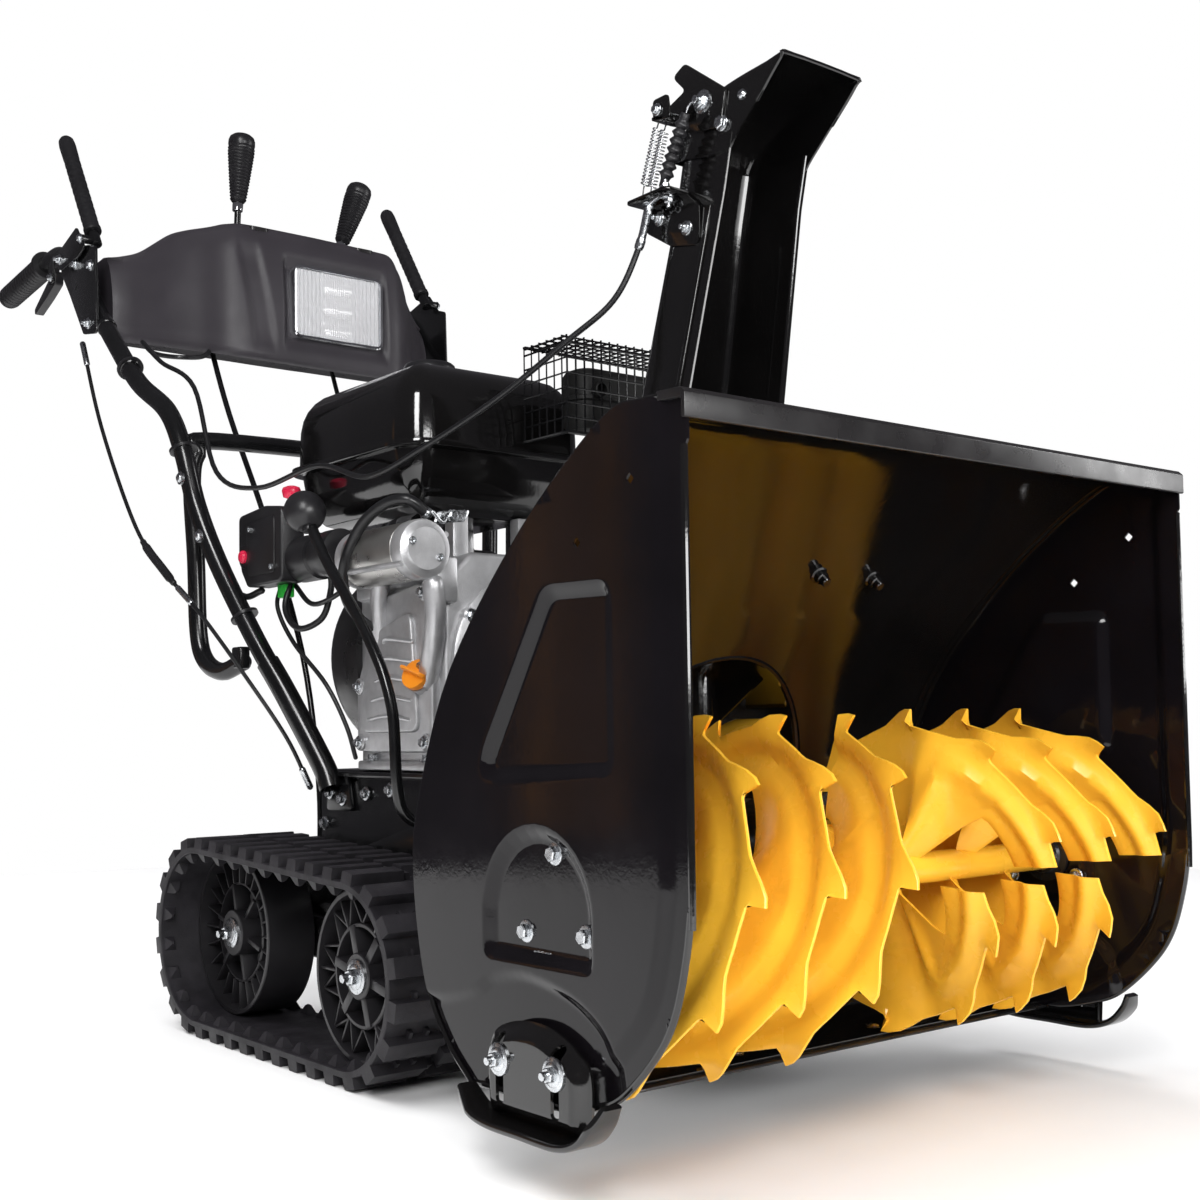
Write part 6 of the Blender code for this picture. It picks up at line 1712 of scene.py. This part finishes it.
def make_console():
    columns = console_rows()
    xs = [c[0] for c in columns]
    fine = np.linspace(xs[0], xs[-1], 193)
    tables = [np.interp(fine, xs, [c[k] for c in columns]) for k in range(1, 7)]
    kernel = np.array([1, 2, 3, 4, 5, 4, 3, 2, 1]) / 25.0
    tables = [np.convolve(np.pad(t, 4, mode="edge"), kernel, mode="valid") for t in tables]
    lamp = (-0.0600, 0.1160, 1.0015, 1.1300)
    loops = []
    for i, x in enumerate(fine):
        front, lip, face_top, crown, crown_back, rear = (t[i] for t in tables)
        profile = [(front + 0.018, lip + 0.002), (front + 0.006, lip - 0.001), (front + 0.0005, lip + 0.003),
                   (front - 0.0015, lip + 0.012)]
        rows = 16
        for k in range(1, rows):
            z = lip + 0.012 + (face_top - lip - 0.022) * k / rows
            bulge = 0.004 * math.sin(math.pi * k / rows)
            back = front + 0.012 * (k / rows) ** 2 - bulge
            drop = 1.0 - k / rows
            for crease, depth in ((-0.137 + 0.027 * drop, 0.0055), (-0.107 + 0.029 * drop, -0.0055)):
                back += depth / (1.0 + math.exp((crease - x) / 0.0016)) * min(1.0, 6.0 * k / rows, 6.0 * drop)
            inset = min(x - lamp[0], lamp[1] - x, z - lamp[2], lamp[3] - z)
            if inset > -0.006:
                back += 0.020 * min(1.0, max(0.0, (inset + 0.006) / 0.009)) * 0.55
            profile.append((back, z))
        profile += [(front + 0.015, face_top - 0.006), (front + 0.022, face_top + 0.002),
                    (front * 0.55 + crown_back * 0.45, face_top * 0.4 + crown * 0.6), (crown_back, crown),
                    (crown_back * 0.5 + rear * 0.5, crown - 0.001), (rear - 0.010, crown - 0.006),
                    (rear - 0.002, crown - 0.014),
                    (rear, crown - 0.028), (rear, lip + 0.057)]
        loops.append([place(float(x), float(b), float(z)) for b, z in profile])
    shell = Shape()
    bm = bmesh.new()
    rows = [[bm.verts.new(p) for p in loop] for loop in loops]
    for a, b in zip(rows, rows[1:]):
        for i in range(len(a) - 1):
            centre = (a[i].co + b[i + 1].co) / 2
            slots = any(abs(centre.x - sx) < 0.0110 and 0.365 < centre.y < 0.492 and centre.z > 1.12
                        for sx in (-0.094, 0.0925))
            if not slots:
                bm.faces.new((a[i], a[i + 1], b[i + 1], b[i]))
    for row, flip in ((rows[0], False), (rows[-1], True)):
        bm.faces.new(list(reversed(row)) if flip else row)
    shell.absorb(bm)
    shell.make("console_shell", "console", "chassis", "console", 55.0, solid=0.0025)

    trim = Shape()
    for sx in (-0.094, 0.0925):
        rims = [fillet([(sx - half, begin), (sx + half, begin), (sx + half, end), (sx - half, end)], radius,
                       5)
                for half, begin, end, radius in ((0.0165, 1.266, 1.413, 0.009),
                                                 (0.0115, 1.288, 1.407, 0.007))]
        trim.loft([[place(x, b, 1.1900 + lift - 0.243 * max(0.0, 1.308 - b)) for x, b in rims[k]]
                   for k, lift in ((0, -0.006), (0, 0.0), (1, 0.0), (1, -0.006))], caps=False, wrap=True)
    # tray under the panel, and a smaller flat plate below it
    trim.prism([(-0.258, 1.408), (-0.150, 1.284), (0.150, 1.284), (0.258, 1.408), (0.258, 1.462),
                (-0.258, 1.462)],
               1.0120, 1.0150, "Z", 0.001)
    trim.prism(fillet([(-0.140, 1.272), (0.140, 1.272), (0.170, 1.310), (-0.170, 1.310)], 0.01, 4), 1.004,
               1.0075, "Z", 0.001)
    trim.make("console_tray", "satin", "chassis")

    x0, x1, z0, z1 = -0.0510, 0.1090, 1.0075, 1.1240

    def window(inset, radius):
        return fillet([(x0 + inset, z0 + inset), (x1 - inset, z0 + inset), (x1 - inset, z1 - inset),
                       (x0 + inset, z1 - inset)],
                      radius, 6)
    bezel = Shape()
    bezel.loft([[place(x, 1.262, z) for x, z in window(0.0, 0.015)],
                [place(x, 1.2385, z) for x, z in window(0.0, 0.015)],
                [place(x, 1.2370, z) for x, z in window(0.0016, 0.014)],
                [place(x, 1.2376, z) for x, z in window(0.0045, 0.011)],
                [place(x, 1.2450, z) for x, z in window(0.0060, 0.008)],
                [place(x, 1.262, z) for x, z in window(0.0060, 0.008)]],
               caps=False, wrap=True)
    bezel.make("headlight_bezel", "chrome", "chassis")
    bowl = Shape()
    bowl.loft([[place(x, 1.2450, z) for x, z in window(0.0062, 0.008)],
               [place(x, 1.2560, z) for x, z in window(0.010, 0.010)],
               [place(x, 1.2640, z) for x, z in window(0.022, 0.014)],
               [place(x, 1.2670, z) for x, z in window(0.040, 0.018)]])
    bowl.make("headlight_reflector", "reflector", "chassis", "headlight", 60.0)
    lens = Shape()
    bm = bmesh.new()
    left, right = x0 + 0.0062, x1 - 0.0062
    third = (right - left) / 3.0
    columns = [(left + third * i / 14, 0.0030 * (i % 2), 0.0) for i in range(14)]
    columns += [(left + third * (1 + i / 26), 0.0006 * (i % 2), 1.0) for i in range(26)]
    columns += [(left + third * (2 + i / 14), 0.0030 * (i % 2), 0.0) for i in range(15)]
    rows = 24
    grid = []
    for x, ridge, middle in columns:
        column = []
        for k in range(rows + 1):
            z = z0 + 0.0062 + (z1 - z0 - 0.0124) * k / rows
            cushion = 0.0028 * abs(math.sin(math.pi * 3 * k / rows)) * middle
            column.append(bm.verts.new(place(x, 1.2428 - ridge - cushion, z)))
        grid.append(column)
    for a, b in zip(grid, grid[1:]):
        for k in range(rows):
            bm.faces.new((a[k], a[k + 1], b[k + 1], b[k]))
    lens.absorb(bm)
    lens.make("headlight_lens", "lens", "chassis", sharp=20.0, solid=0.0008)


def make_rods_and_cables():
    for side, label in SIDES:
        wire = [(0.302, 1.462, 1.006), (0.300, 1.386, 0.861), (0.296, 1.262, 0.696), (0.292, 1.162, 0.619),
                (0.278, 1.076, 0.555), (0.245, 1.010, 0.470), (0.196, 0.985, 0.385), (0.166, 0.976, 0.318)]
        route = [place(side * x, b, z) for x, b, z in wire]
        cable = Shape()
        cable.tube(route, 0.0029, 10, 8)
        cable.make(f"clutch_cable_{label}", "hose", "chassis", f"clutch_cable_{label}")
        fine = smooth_path(route, 8)
        boot = Shape()
        boot.tube(fine[18:27], lambda share: 0.0062 if 0.1 < share < 0.9 else 0.0045, 14, 2, round_ends=True)
        boot.make(f"cable_boot_{label}", "grip", "chassis")
        ends = Shape()
        ends.tube(fine[27:31], 0.0042, 12, 2, round_ends=True)
        ends.tube(fine[:3], 0.0046, 12, 2, round_ends=True)
        ends.tube(fine[-4:], 0.0046, 12, 2, round_ends=True)
        ends.make(f"cable_fittings_{label}", "zinc", "chassis")
    # rods from the console down to the gear case
    rods = Shape()
    for radius, route in ((0.0042, ((-0.150, 1.335, 1.0135), (-0.145, 1.270, 0.880), (-0.138, 1.160, 0.700),
                                    (-0.132, 1.060, 0.500),
                                    (-0.130, 1.020, 0.330), (-0.130, 1.015, 0.230))),
                          (0.0036, ((0.060, 1.335, 1.0135), (0.045, 1.240, 0.860), (0.020, 1.120, 0.700),
                                    (0.010, 1.060, 0.520),
                                    (0.010, 1.040, 0.320), (0.010, 1.030, 0.200))),
                          (0.0042, ((0.150, 1.335, 1.0135), (0.148, 1.230, 0.820), (0.140, 1.120, 0.640),
                                    (0.132, 1.045, 0.450),
                                    (0.130, 1.020, 0.300), (0.130, 1.015, 0.230)))):
        rods.tube([place(*p) for p in route], radius, 12, 6, round_ends=True)
    rods.make("shift_rods", "tube", "chassis")
    # harness strapped down the near handlebar, with its ribbed conduit
    harness = Shape()
    near = smooth_path(handle_route(-1), 6)
    path = [p + Vector((0.006, 0.016, 0.010)) for p in near[34:66:4]]
    harness.tube(path, 0.0062, 14, 5, round_ends=True)
    fine = smooth_path(path, 14)
    for p, q in zip(fine[::2], fine[1::2]):
        harness.lathe(p, q - p, [(0, 0.0062), (0.0007, 0.0072), (0.0018, 0.0072), (0.0025, 0.0062)], 14)
    harness.tube([place(-0.262, 1.320, 0.985), place(-0.252, 1.300, 0.965), place(-0.225, 1.262, 0.955),
                  place(-0.180, 1.275, 0.968), place(-0.150, 1.312, 1.0130)], 0.0036, 10, 8, round_ends=True)
    harness.tube([near[34] + Vector((0.006, 0.016, 0.010)), place(-0.262, 1.092, 0.690),
                  place(-0.246, 1.072, 0.610),
                  place(-0.226, 1.052, 0.580), place(-0.214, 1.020, 0.586)], 0.0046, 12, 8, round_ends=True)
    harness.make("wiring_harness", "hose", "chassis")
    straps = Shape()
    for k in (20, 36, 50, 62):
        at, run = near[k], (near[k + 1] - near[k]).normalized()
        straps.lathe(at + Vector((0.002, 0.004, 0.003)) - run * 0.002, run,
                     [(0, 0.0150), (0.0, 0.0195), (0.004, 0.0195), (0.004, 0.0150)], 24)
    straps.box((-0.271, -0.262), (1.120, 1.132), (0.735, 0.745), 0.001)
    straps.make("harness_straps", "plastic", "chassis")


for _side, _label in SIDES:
    make_handlebar(_side, _label)
    make_clutch_lever(_side, _label)
make_hoop()
make_knob("speed", "speed_lever", place(-0.098, 1.350, 1.075), place(-0.092, 1.350, 1.240),
          place(-0.084, 1.350, 1.355),
          "speed_lever")
make_knob("deflector_stick", "deflector_lever", place(0.074, 1.350, 1.075), place(0.095, 1.350, 1.210),
          place(0.134, 1.350, 1.318), "deflector_lever")
make_track_lever()
make_console()
make_rods_and_cables()


# ------------------------------------------------------------------ tracks, frame
TRACK_OUTER, TRACK_INNER = 0.316, 0.170
SPROCKET_BACK, SPROCKET_HEIGHT = 1.0135, 0.1287
IDLER_BACK, IDLER_HEIGHT = 0.629, 0.120
LUG_HEIGHT, CARCASS = 0.013, 0.008
LUGS = 34


def track_line():
    """Length of the belt's outer loop and the function that walks along it."""
    rear, front = Vector((SPROCKET_BACK, SPROCKET_HEIGHT)), Vector((IDLER_BACK, IDLER_HEIGHT))
    rear_r, front_r = SPROCKET_HEIGHT - LUG_HEIGHT, IDLER_HEIGHT - LUG_HEIGHT
    run = rear - front
    heading = math.atan2(run.y, run.x)
    lean = math.acos((front_r - rear_r) / run.length)
    straight = math.sqrt(run.length_squared - (rear_r - front_r) ** 2)
    rear_arc, front_arc = 2.0 * lean * rear_r, 2.0 * (math.pi - lean) * front_r
    total = rear_arc + front_arc + 2.0 * straight

    def at(distance, height):
        distance %= total
        if distance < rear_arc:
            angle = heading - lean + distance / rear_r
            return rear + Vector((math.cos(angle), math.sin(angle))) * (rear_r + height)
        distance -= rear_arc
        normal = Vector((math.cos(heading + lean), math.sin(heading + lean)))
        if distance < straight:
            return rear + normal * (rear_r + height) + Vector((normal.y, -normal.x)) * -distance
        distance -= straight
        if distance < front_arc:
            angle = heading + lean + distance / front_r
            return front + Vector((math.cos(angle), math.sin(angle))) * (front_r + height)
        distance -= front_arc
        normal = Vector((math.cos(heading - lean), math.sin(heading - lean)))
        return front + normal * (front_r + height) + Vector((-normal.y, normal.x)) * distance
    return total, at


def make_track(side, label):
    total, at = track_line()
    belt = Shape()
    count = LUGS * 6
    loops = []
    middle = (TRACK_OUTER + TRACK_INNER) / 2
    for i in range(count):
        s = total * i / count
        section = [(TRACK_INNER, -CARCASS + 0.001), (TRACK_INNER + 0.0012, -CARCASS),
                   (middle - 0.018, -CARCASS),
                   (middle + 0.018, -CARCASS), (TRACK_OUTER - 0.0012, -CARCASS),
                   (TRACK_OUTER, -CARCASS + 0.001),
                   (TRACK_OUTER, -0.0008), (TRACK_OUTER - 0.0010, 0.0), (TRACK_INNER + 0.0010, 0.0),
                   (TRACK_INNER, -0.0008)]
        loops.append([place(side * x, *at(s, h)) for x, h in section])
    belt.loft(loops, caps=False, wrap=True)
    pitch = total / LUGS

    def block(x, s, top, sink, low=-0.001):
        """Tapered rubber block: footprint (x, s) pairs, its top drawn in by sink."""
        (xa, xb), (sa, sb) = x[0], s[0]
        rows = []
        for height, inset in ((low, 0.0), (top - 0.0018, sink * 0.8), (top - 0.0004, sink),
                              (top, sink + 0.0014)):
            rows.append([place(side * px, *at(ps, height)) for px, ps in (
                (xa + inset, sa + inset), (xb - inset, sa + inset), (xb - inset, sb - inset),
                (xa + inset, sb - inset))])
        belt.loft(rows)
    for i in range(LUGS):
        s = pitch * (i + 0.43)
        wide = pitch * 0.52
        # outer and inner halves of each lug are staggered, with notched middles
        block([(middle + 0.004, TRACK_OUTER)], [(s, s + wide)], LUG_HEIGHT, 0.0016)
        block([(TRACK_INNER, middle - 0.004)], [(s + pitch * 0.5, s + pitch * 0.5 + wide)], LUG_HEIGHT,
              0.0016)
        block([(middle - 0.006, middle + 0.006)], [(s + pitch * 0.10, s + pitch * 0.10 + wide * 0.6)],
              LUG_HEIGHT - 0.0045,
              0.001)
        for x in (TRACK_OUTER - 0.030, middle + 0.022):
            block([(x - 0.003, x + 0.003)], [(s - pitch * 0.16, s + 0.002)], LUG_HEIGHT - 0.006, 0.0008)
        for x in (TRACK_INNER + 0.030, middle - 0.022):
            block([(x - 0.003, x + 0.003)], [(s + pitch * 0.34, s + pitch * 0.5 + 0.002)],
                  LUG_HEIGHT - 0.006, 0.0008)
        # guide teeth on the inside, outboard of the wheels
        for xa, xb in ((TRACK_OUTER - 0.020, TRACK_OUTER - 0.004),
                       (TRACK_INNER + 0.003, TRACK_INNER + 0.018)):
            sa, sb = s + pitch * 0.02, s + pitch * 0.50
            rows = []
            for height, shrink in ((-CARCASS + 0.001, 0.0), (-CARCASS - 0.010, 0.62),
                                   (-CARCASS - 0.0115, 0.85)):
                mx, ms = (xa + xb) / 2, (sa + sb) / 2
                rows.append([place(side * (mx + (px - mx) * (1 - shrink)),
                                   *at(ms + (ps - ms) * (1 - shrink), height))
                             for px, ps in ((xa, sa), (xb, sa), (xb, sb), (xa, sb))])
            belt.loft(rows)
    belt.make(f"track_belt_{label}", "rubber", "carriage", f"track_belt_{label}", 30.0)


def wheel_ring(shape, centre, side, x_in, x_out, radius, inner, edge=0.0012):
    start = place(side * x_in, *centre)
    width = x_out - x_in
    shape.lathe(start, (side, 0, 0), [(0.0, inner), (0.0, radius - edge), (edge, radius),
                                      (width - edge, radius),
                                      (width, radius - edge), (width, inner), (0.0, inner)], 72, caps=False)


def rib(shape, centre, side, a0, r0, a1, r1, x_in, x_out, thick):
    """Flat web between two points of the wheel, given as angle and radius."""
    p = Vector((centre[0] + r0 * math.cos(a0), centre[1] + r0 * math.sin(a0)))
    q = Vector((centre[0] + r1 * math.cos(a1), centre[1] + r1 * math.sin(a1)))
    run = (q - p).normalized()
    normal = Vector((-run.y, run.x)) * thick / 2
    outline = [tuple(p + normal), tuple(q + normal), tuple(q - normal), tuple(p - normal)]
    shape.prism(outline, *sorted((side * x_in, side * x_out)), "X", min(0.0008, thick * 0.3))


def make_sprocket(side, label):
    """Rear wheel: deep dish with thin radial ribs, a ring and a spoked hub."""
    centre, radius = (SPROCKET_BACK, SPROCKET_HEIGHT), SPROCKET_HEIGHT - 0.0222
    wheel = Shape()
    wheel_ring(wheel, centre, side, 0.196, 0.262, radius, radius - 0.006)
    wheel_ring(wheel, centre, side, 0.210, 0.250, 0.066, 0.0625)
    wheel_ring(wheel, centre, side, 0.206, 0.262, 0.030, 0.0128)
    wheel.lathe(place(side * 0.2145, *centre), (side, 0, 0),
                [(0, 0.028), (0, radius - 0.004), (0.003, radius - 0.004),
                                                             (0.003, 0.028), (0.0, 0.028)], 72, caps=False)
    for i in range(24):
        a = TAU * i / 24
        rib(wheel, centre, side, a, 0.065, a, radius - 0.005, 0.216, 0.252, 0.0026)
    for i in range(6):
        a = TAU * i / 6 + 0.26
        rib(wheel, centre, side, a, 0.028, a, 0.064, 0.216, 0.254, 0.0062)
    for i in range(6):
        a = TAU * (i + 0.5) / 6 + 0.26
        wheel.lathe(place(side * 0.216, centre[0] + 0.047 * math.cos(a), centre[1] + 0.047 * math.sin(a)),
                    (side, 0, 0),
                    [(0, 0.0055), (0, 0.0085), (0.022, 0.0080), (0.022, 0.0055)], 20)
    wheel.make(f"drive_sprocket_{label}", "wheel", f"drive_{label}",
               f"drive_sprocket_{label}")
    cap = Shape()
    cap.lathe(place(side * 0.2622, *centre), (side, 0, 0),
              [(0, 0.0195), (0.0018, 0.0195), (0.0024, 0.0182), (0.0024, 0.0)], 36)
    cap.bolt(place(side * 0.2640, *centre), (side, 0, 0), 0.0095, 0.0085, "nut")
    cap.make(f"sprocket_nut_{label}", "zinc", f"drive_{label}")


def make_idler(side, label):
    """Front wheel: triangular trusses between the rim and a ring, and a star hub."""
    centre, radius = (IDLER_BACK, IDLER_HEIGHT), IDLER_HEIGHT - 0.0222
    wheel = Shape()
    wheel_ring(wheel, centre, side, 0.196, 0.292, radius, radius - 0.0065, 0.002)
    wheel_ring(wheel, centre, side, 0.262, 0.288, 0.059, 0.0545)
    wheel_ring(wheel, centre, side, 0.206, 0.293, 0.026, 0.0128)
    wheel.lathe(place(side * 0.2550, *centre), (side, 0, 0),
                [(0, 0.024), (0, radius - 0.004), (0.003, radius - 0.004),
                                                             (0.003, 0.024), (0.0, 0.024)], 72, caps=False)
    count = 12
    for i in range(count):
        a, b = TAU * i / count, TAU * (i + 0.5) / count
        c = TAU * (i + 1) / count
        rib(wheel, centre, side, a, 0.0575, b, radius - 0.005, 0.257, 0.286, 0.0028)
        rib(wheel, centre, side, c, 0.0575, b, radius - 0.005, 0.257, 0.286, 0.0028)
        if i % 2 == 0:
            rib(wheel, centre, side, a, 0.0575, a, radius - 0.005, 0.257, 0.288, 0.0034)
    for i in range(6):
        a = TAU * i / 6 + 0.2
        rib(wheel, centre, side, a, 0.022, a, 0.057, 0.257, 0.290, 0.0110)
    wheel.make(f"idler_wheel_{label}", "wheel", f"idler_{label}", f"idler_wheel_{label}")
    cap = Shape()
    cap.lathe(place(side * 0.2932, *centre), (side, 0, 0),
              [(0, 0.0195), (0.0018, 0.0195), (0.0024, 0.0182), (0.0024, 0.0)], 36)
    cap.bolt(place(side * 0.2950, *centre), (side, 0, 0), 0.0095, 0.0080, "nut")
    cap.make(f"idler_nut_{label}", "zinc", "carriage")


def make_carriage():
    carriage = Shape()
    carriage.rod(place(-0.294, IDLER_BACK, IDLER_HEIGHT), place(0.294, IDLER_BACK, IDLER_HEIGHT), 0.0122,
                 24, 0.001)
    for side, _ in SIDES:
        low, high = sorted((side * 0.176, side * 0.190))
        rail = fillet([(IDLER_BACK - 0.030, IDLER_HEIGHT - 0.022),
                       (SPROCKET_BACK + 0.030, SPROCKET_HEIGHT - 0.028),
                       (SPROCKET_BACK + 0.030, SPROCKET_HEIGHT + 0.028),
                       (IDLER_BACK - 0.030, IDLER_HEIGHT + 0.022)],
                      0.020, 6)
        carriage.prism(rail, low, high, "X", 0.002, 3)
        # tensioner: screw and clamp on the outside of the rail
        carriage.box(sorted((side * 0.189, side * 0.205)), (0.740, 0.790), (0.110, 0.136), 0.002)
    carriage.make("track_carriage", "satin", "carriage", "track_frame")
    screws = Shape()
    for side, _ in SIDES:
        screws.rod(place(side * 0.197, 0.700, 0.123), place(side * 0.197, 0.745, 0.123), 0.0045, 12)
        for b in (0.752, 0.778):
            screws.bolt(place(side * 0.205, b, 0.123), (side, 0, 0), 0.0058, 0.005)
    screws.make("tension_screws", "zinc", "carriage")
    axle = Shape()
    axle.rod(place(-0.267, SPROCKET_BACK, SPROCKET_HEIGHT), place(0.267, SPROCKET_BACK, SPROCKET_HEIGHT),
             0.0122, 24, 0.001)
    axle.make("drive_axle", "shaft", "chassis", "drive_axle")
    auger_shaft = Shape()
    auger_shaft.rod(place(-0.350, AUGER_BACK, AUGER_HEIGHT), place(0.350, AUGER_BACK, AUGER_HEIGHT), 0.0124,
                    28, 0.001)
    auger_shaft.make("auger_shaft", "shaft", "augers", "auger_shaft")


def make_frame():
    frame_box = Shape()
    outline = fillet([(0.612, 0.17), (0.80, 0.12), (0.94, 0.086), (1.052, 0.086), (1.052, 0.185),
                      (0.975, 0.240),
                      (0.975, 0.342), (0.612, 0.342)], [0.02, 0.02, 0.02, 0.015, 0.02, 0.03, 0.008, 0.008], 5)
    frame_box.prism(outline, -0.150, 0.150, "X", 0.0025, 3)
    for side, _ in SIDES:
        # pressed side covers and the rib along the top edge
        low, high = sorted((side * 0.1495, side * 0.1520))
        frame_box.prism(fillet([(0.640, 0.190), (0.800, 0.145), (0.930, 0.120), (0.930, 0.225),
                                (0.640, 0.300)], 0.018, 6),
                        low, high, "X", 0.001)
        frame_box.box(sorted((side * 0.1495, side * 0.1620)), (0.616, 0.972), (0.3330, 0.3400), 0.0015)
        frame_box.lathe(place(side * 0.1500, SPROCKET_BACK, SPROCKET_HEIGHT), (side, 0, 0),
                        [(0.0, 0.0135), (0.0, 0.032), (0.006, 0.031), (0.010, 0.024), (0.015, 0.0225),
                         (0.016, 0.0135)], 36)
    frame_box.box((-0.148, 0.148), (0.478, 0.616), (0.195, 0.215), 0.003)
    frame_box.make("frame_box", "tube", "chassis", "frame_box")
    bolts = Shape()
    for side, _ in SIDES:
        for b, z in ((0.655, 0.318), (0.700, 0.318), (0.790, 0.318), (0.850, 0.312), (0.960, 0.270),
                     (0.655, 0.205),
                     (0.915, 0.145)):
            bolts.bolt(place(side * 0.1522, b, z), (side, 0, 0), 0.0060, 0.0052)
    for x in (-0.12, 0.0, 0.12):
        bolts.bolt(place(x, 0.9755, 0.310), (0, 1, 0), 0.0060, 0.0052)
        bolts.bolt(place(x, 1.0525, 0.140), (0, 1, 0), 0.0060, 0.0052)
    bolts.make("frame_bolts", "zinc", "chassis")


for _side, _label in SIDES:
    make_track(_side, _label)
    make_sprocket(_side, _label)
    make_idler(_side, _label)
make_carriage()
make_frame()


def material_for(node_name):
    for words, key in ((("cable",), "hose"), (("shaft", "axle"), "shaft"), (("pulley", "spring"), "zinc"),
                       (("track_belt", "boot", "auger_belt"), "rubber"), (("grip", "clutch_lever"), "grip"),
                       (("wheel_", "sprocket"), "wheel"), (("console",), "console"),
                       (("headlight",), "reflector"),
                       (("engine_block", "worm"), "cast"), (("starter_motor",), "motor"),
                       (("muffler",), "muffler"), (("stop_button",), "red"), (("dipstick",), "orange"),
                       (("fuel_tank",), "gloss"), (("auger_", "impeller"), "yellow"),
                       (("handlebar", "hoop", "track_lever"), "tube"), (("chute", "deflector"), "gloss"),
                       (("cover", "switch", "recoil", "cap", "trigger", "lever"), "plastic")):
        if any(word in node_name for word in words):
            return M[key]
    return M["satin"]


for _name, _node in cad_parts.items():
    if not _node.hide_render:
        _node.data.materials.clear()
        _node.data.materials.append(material_for(_name))

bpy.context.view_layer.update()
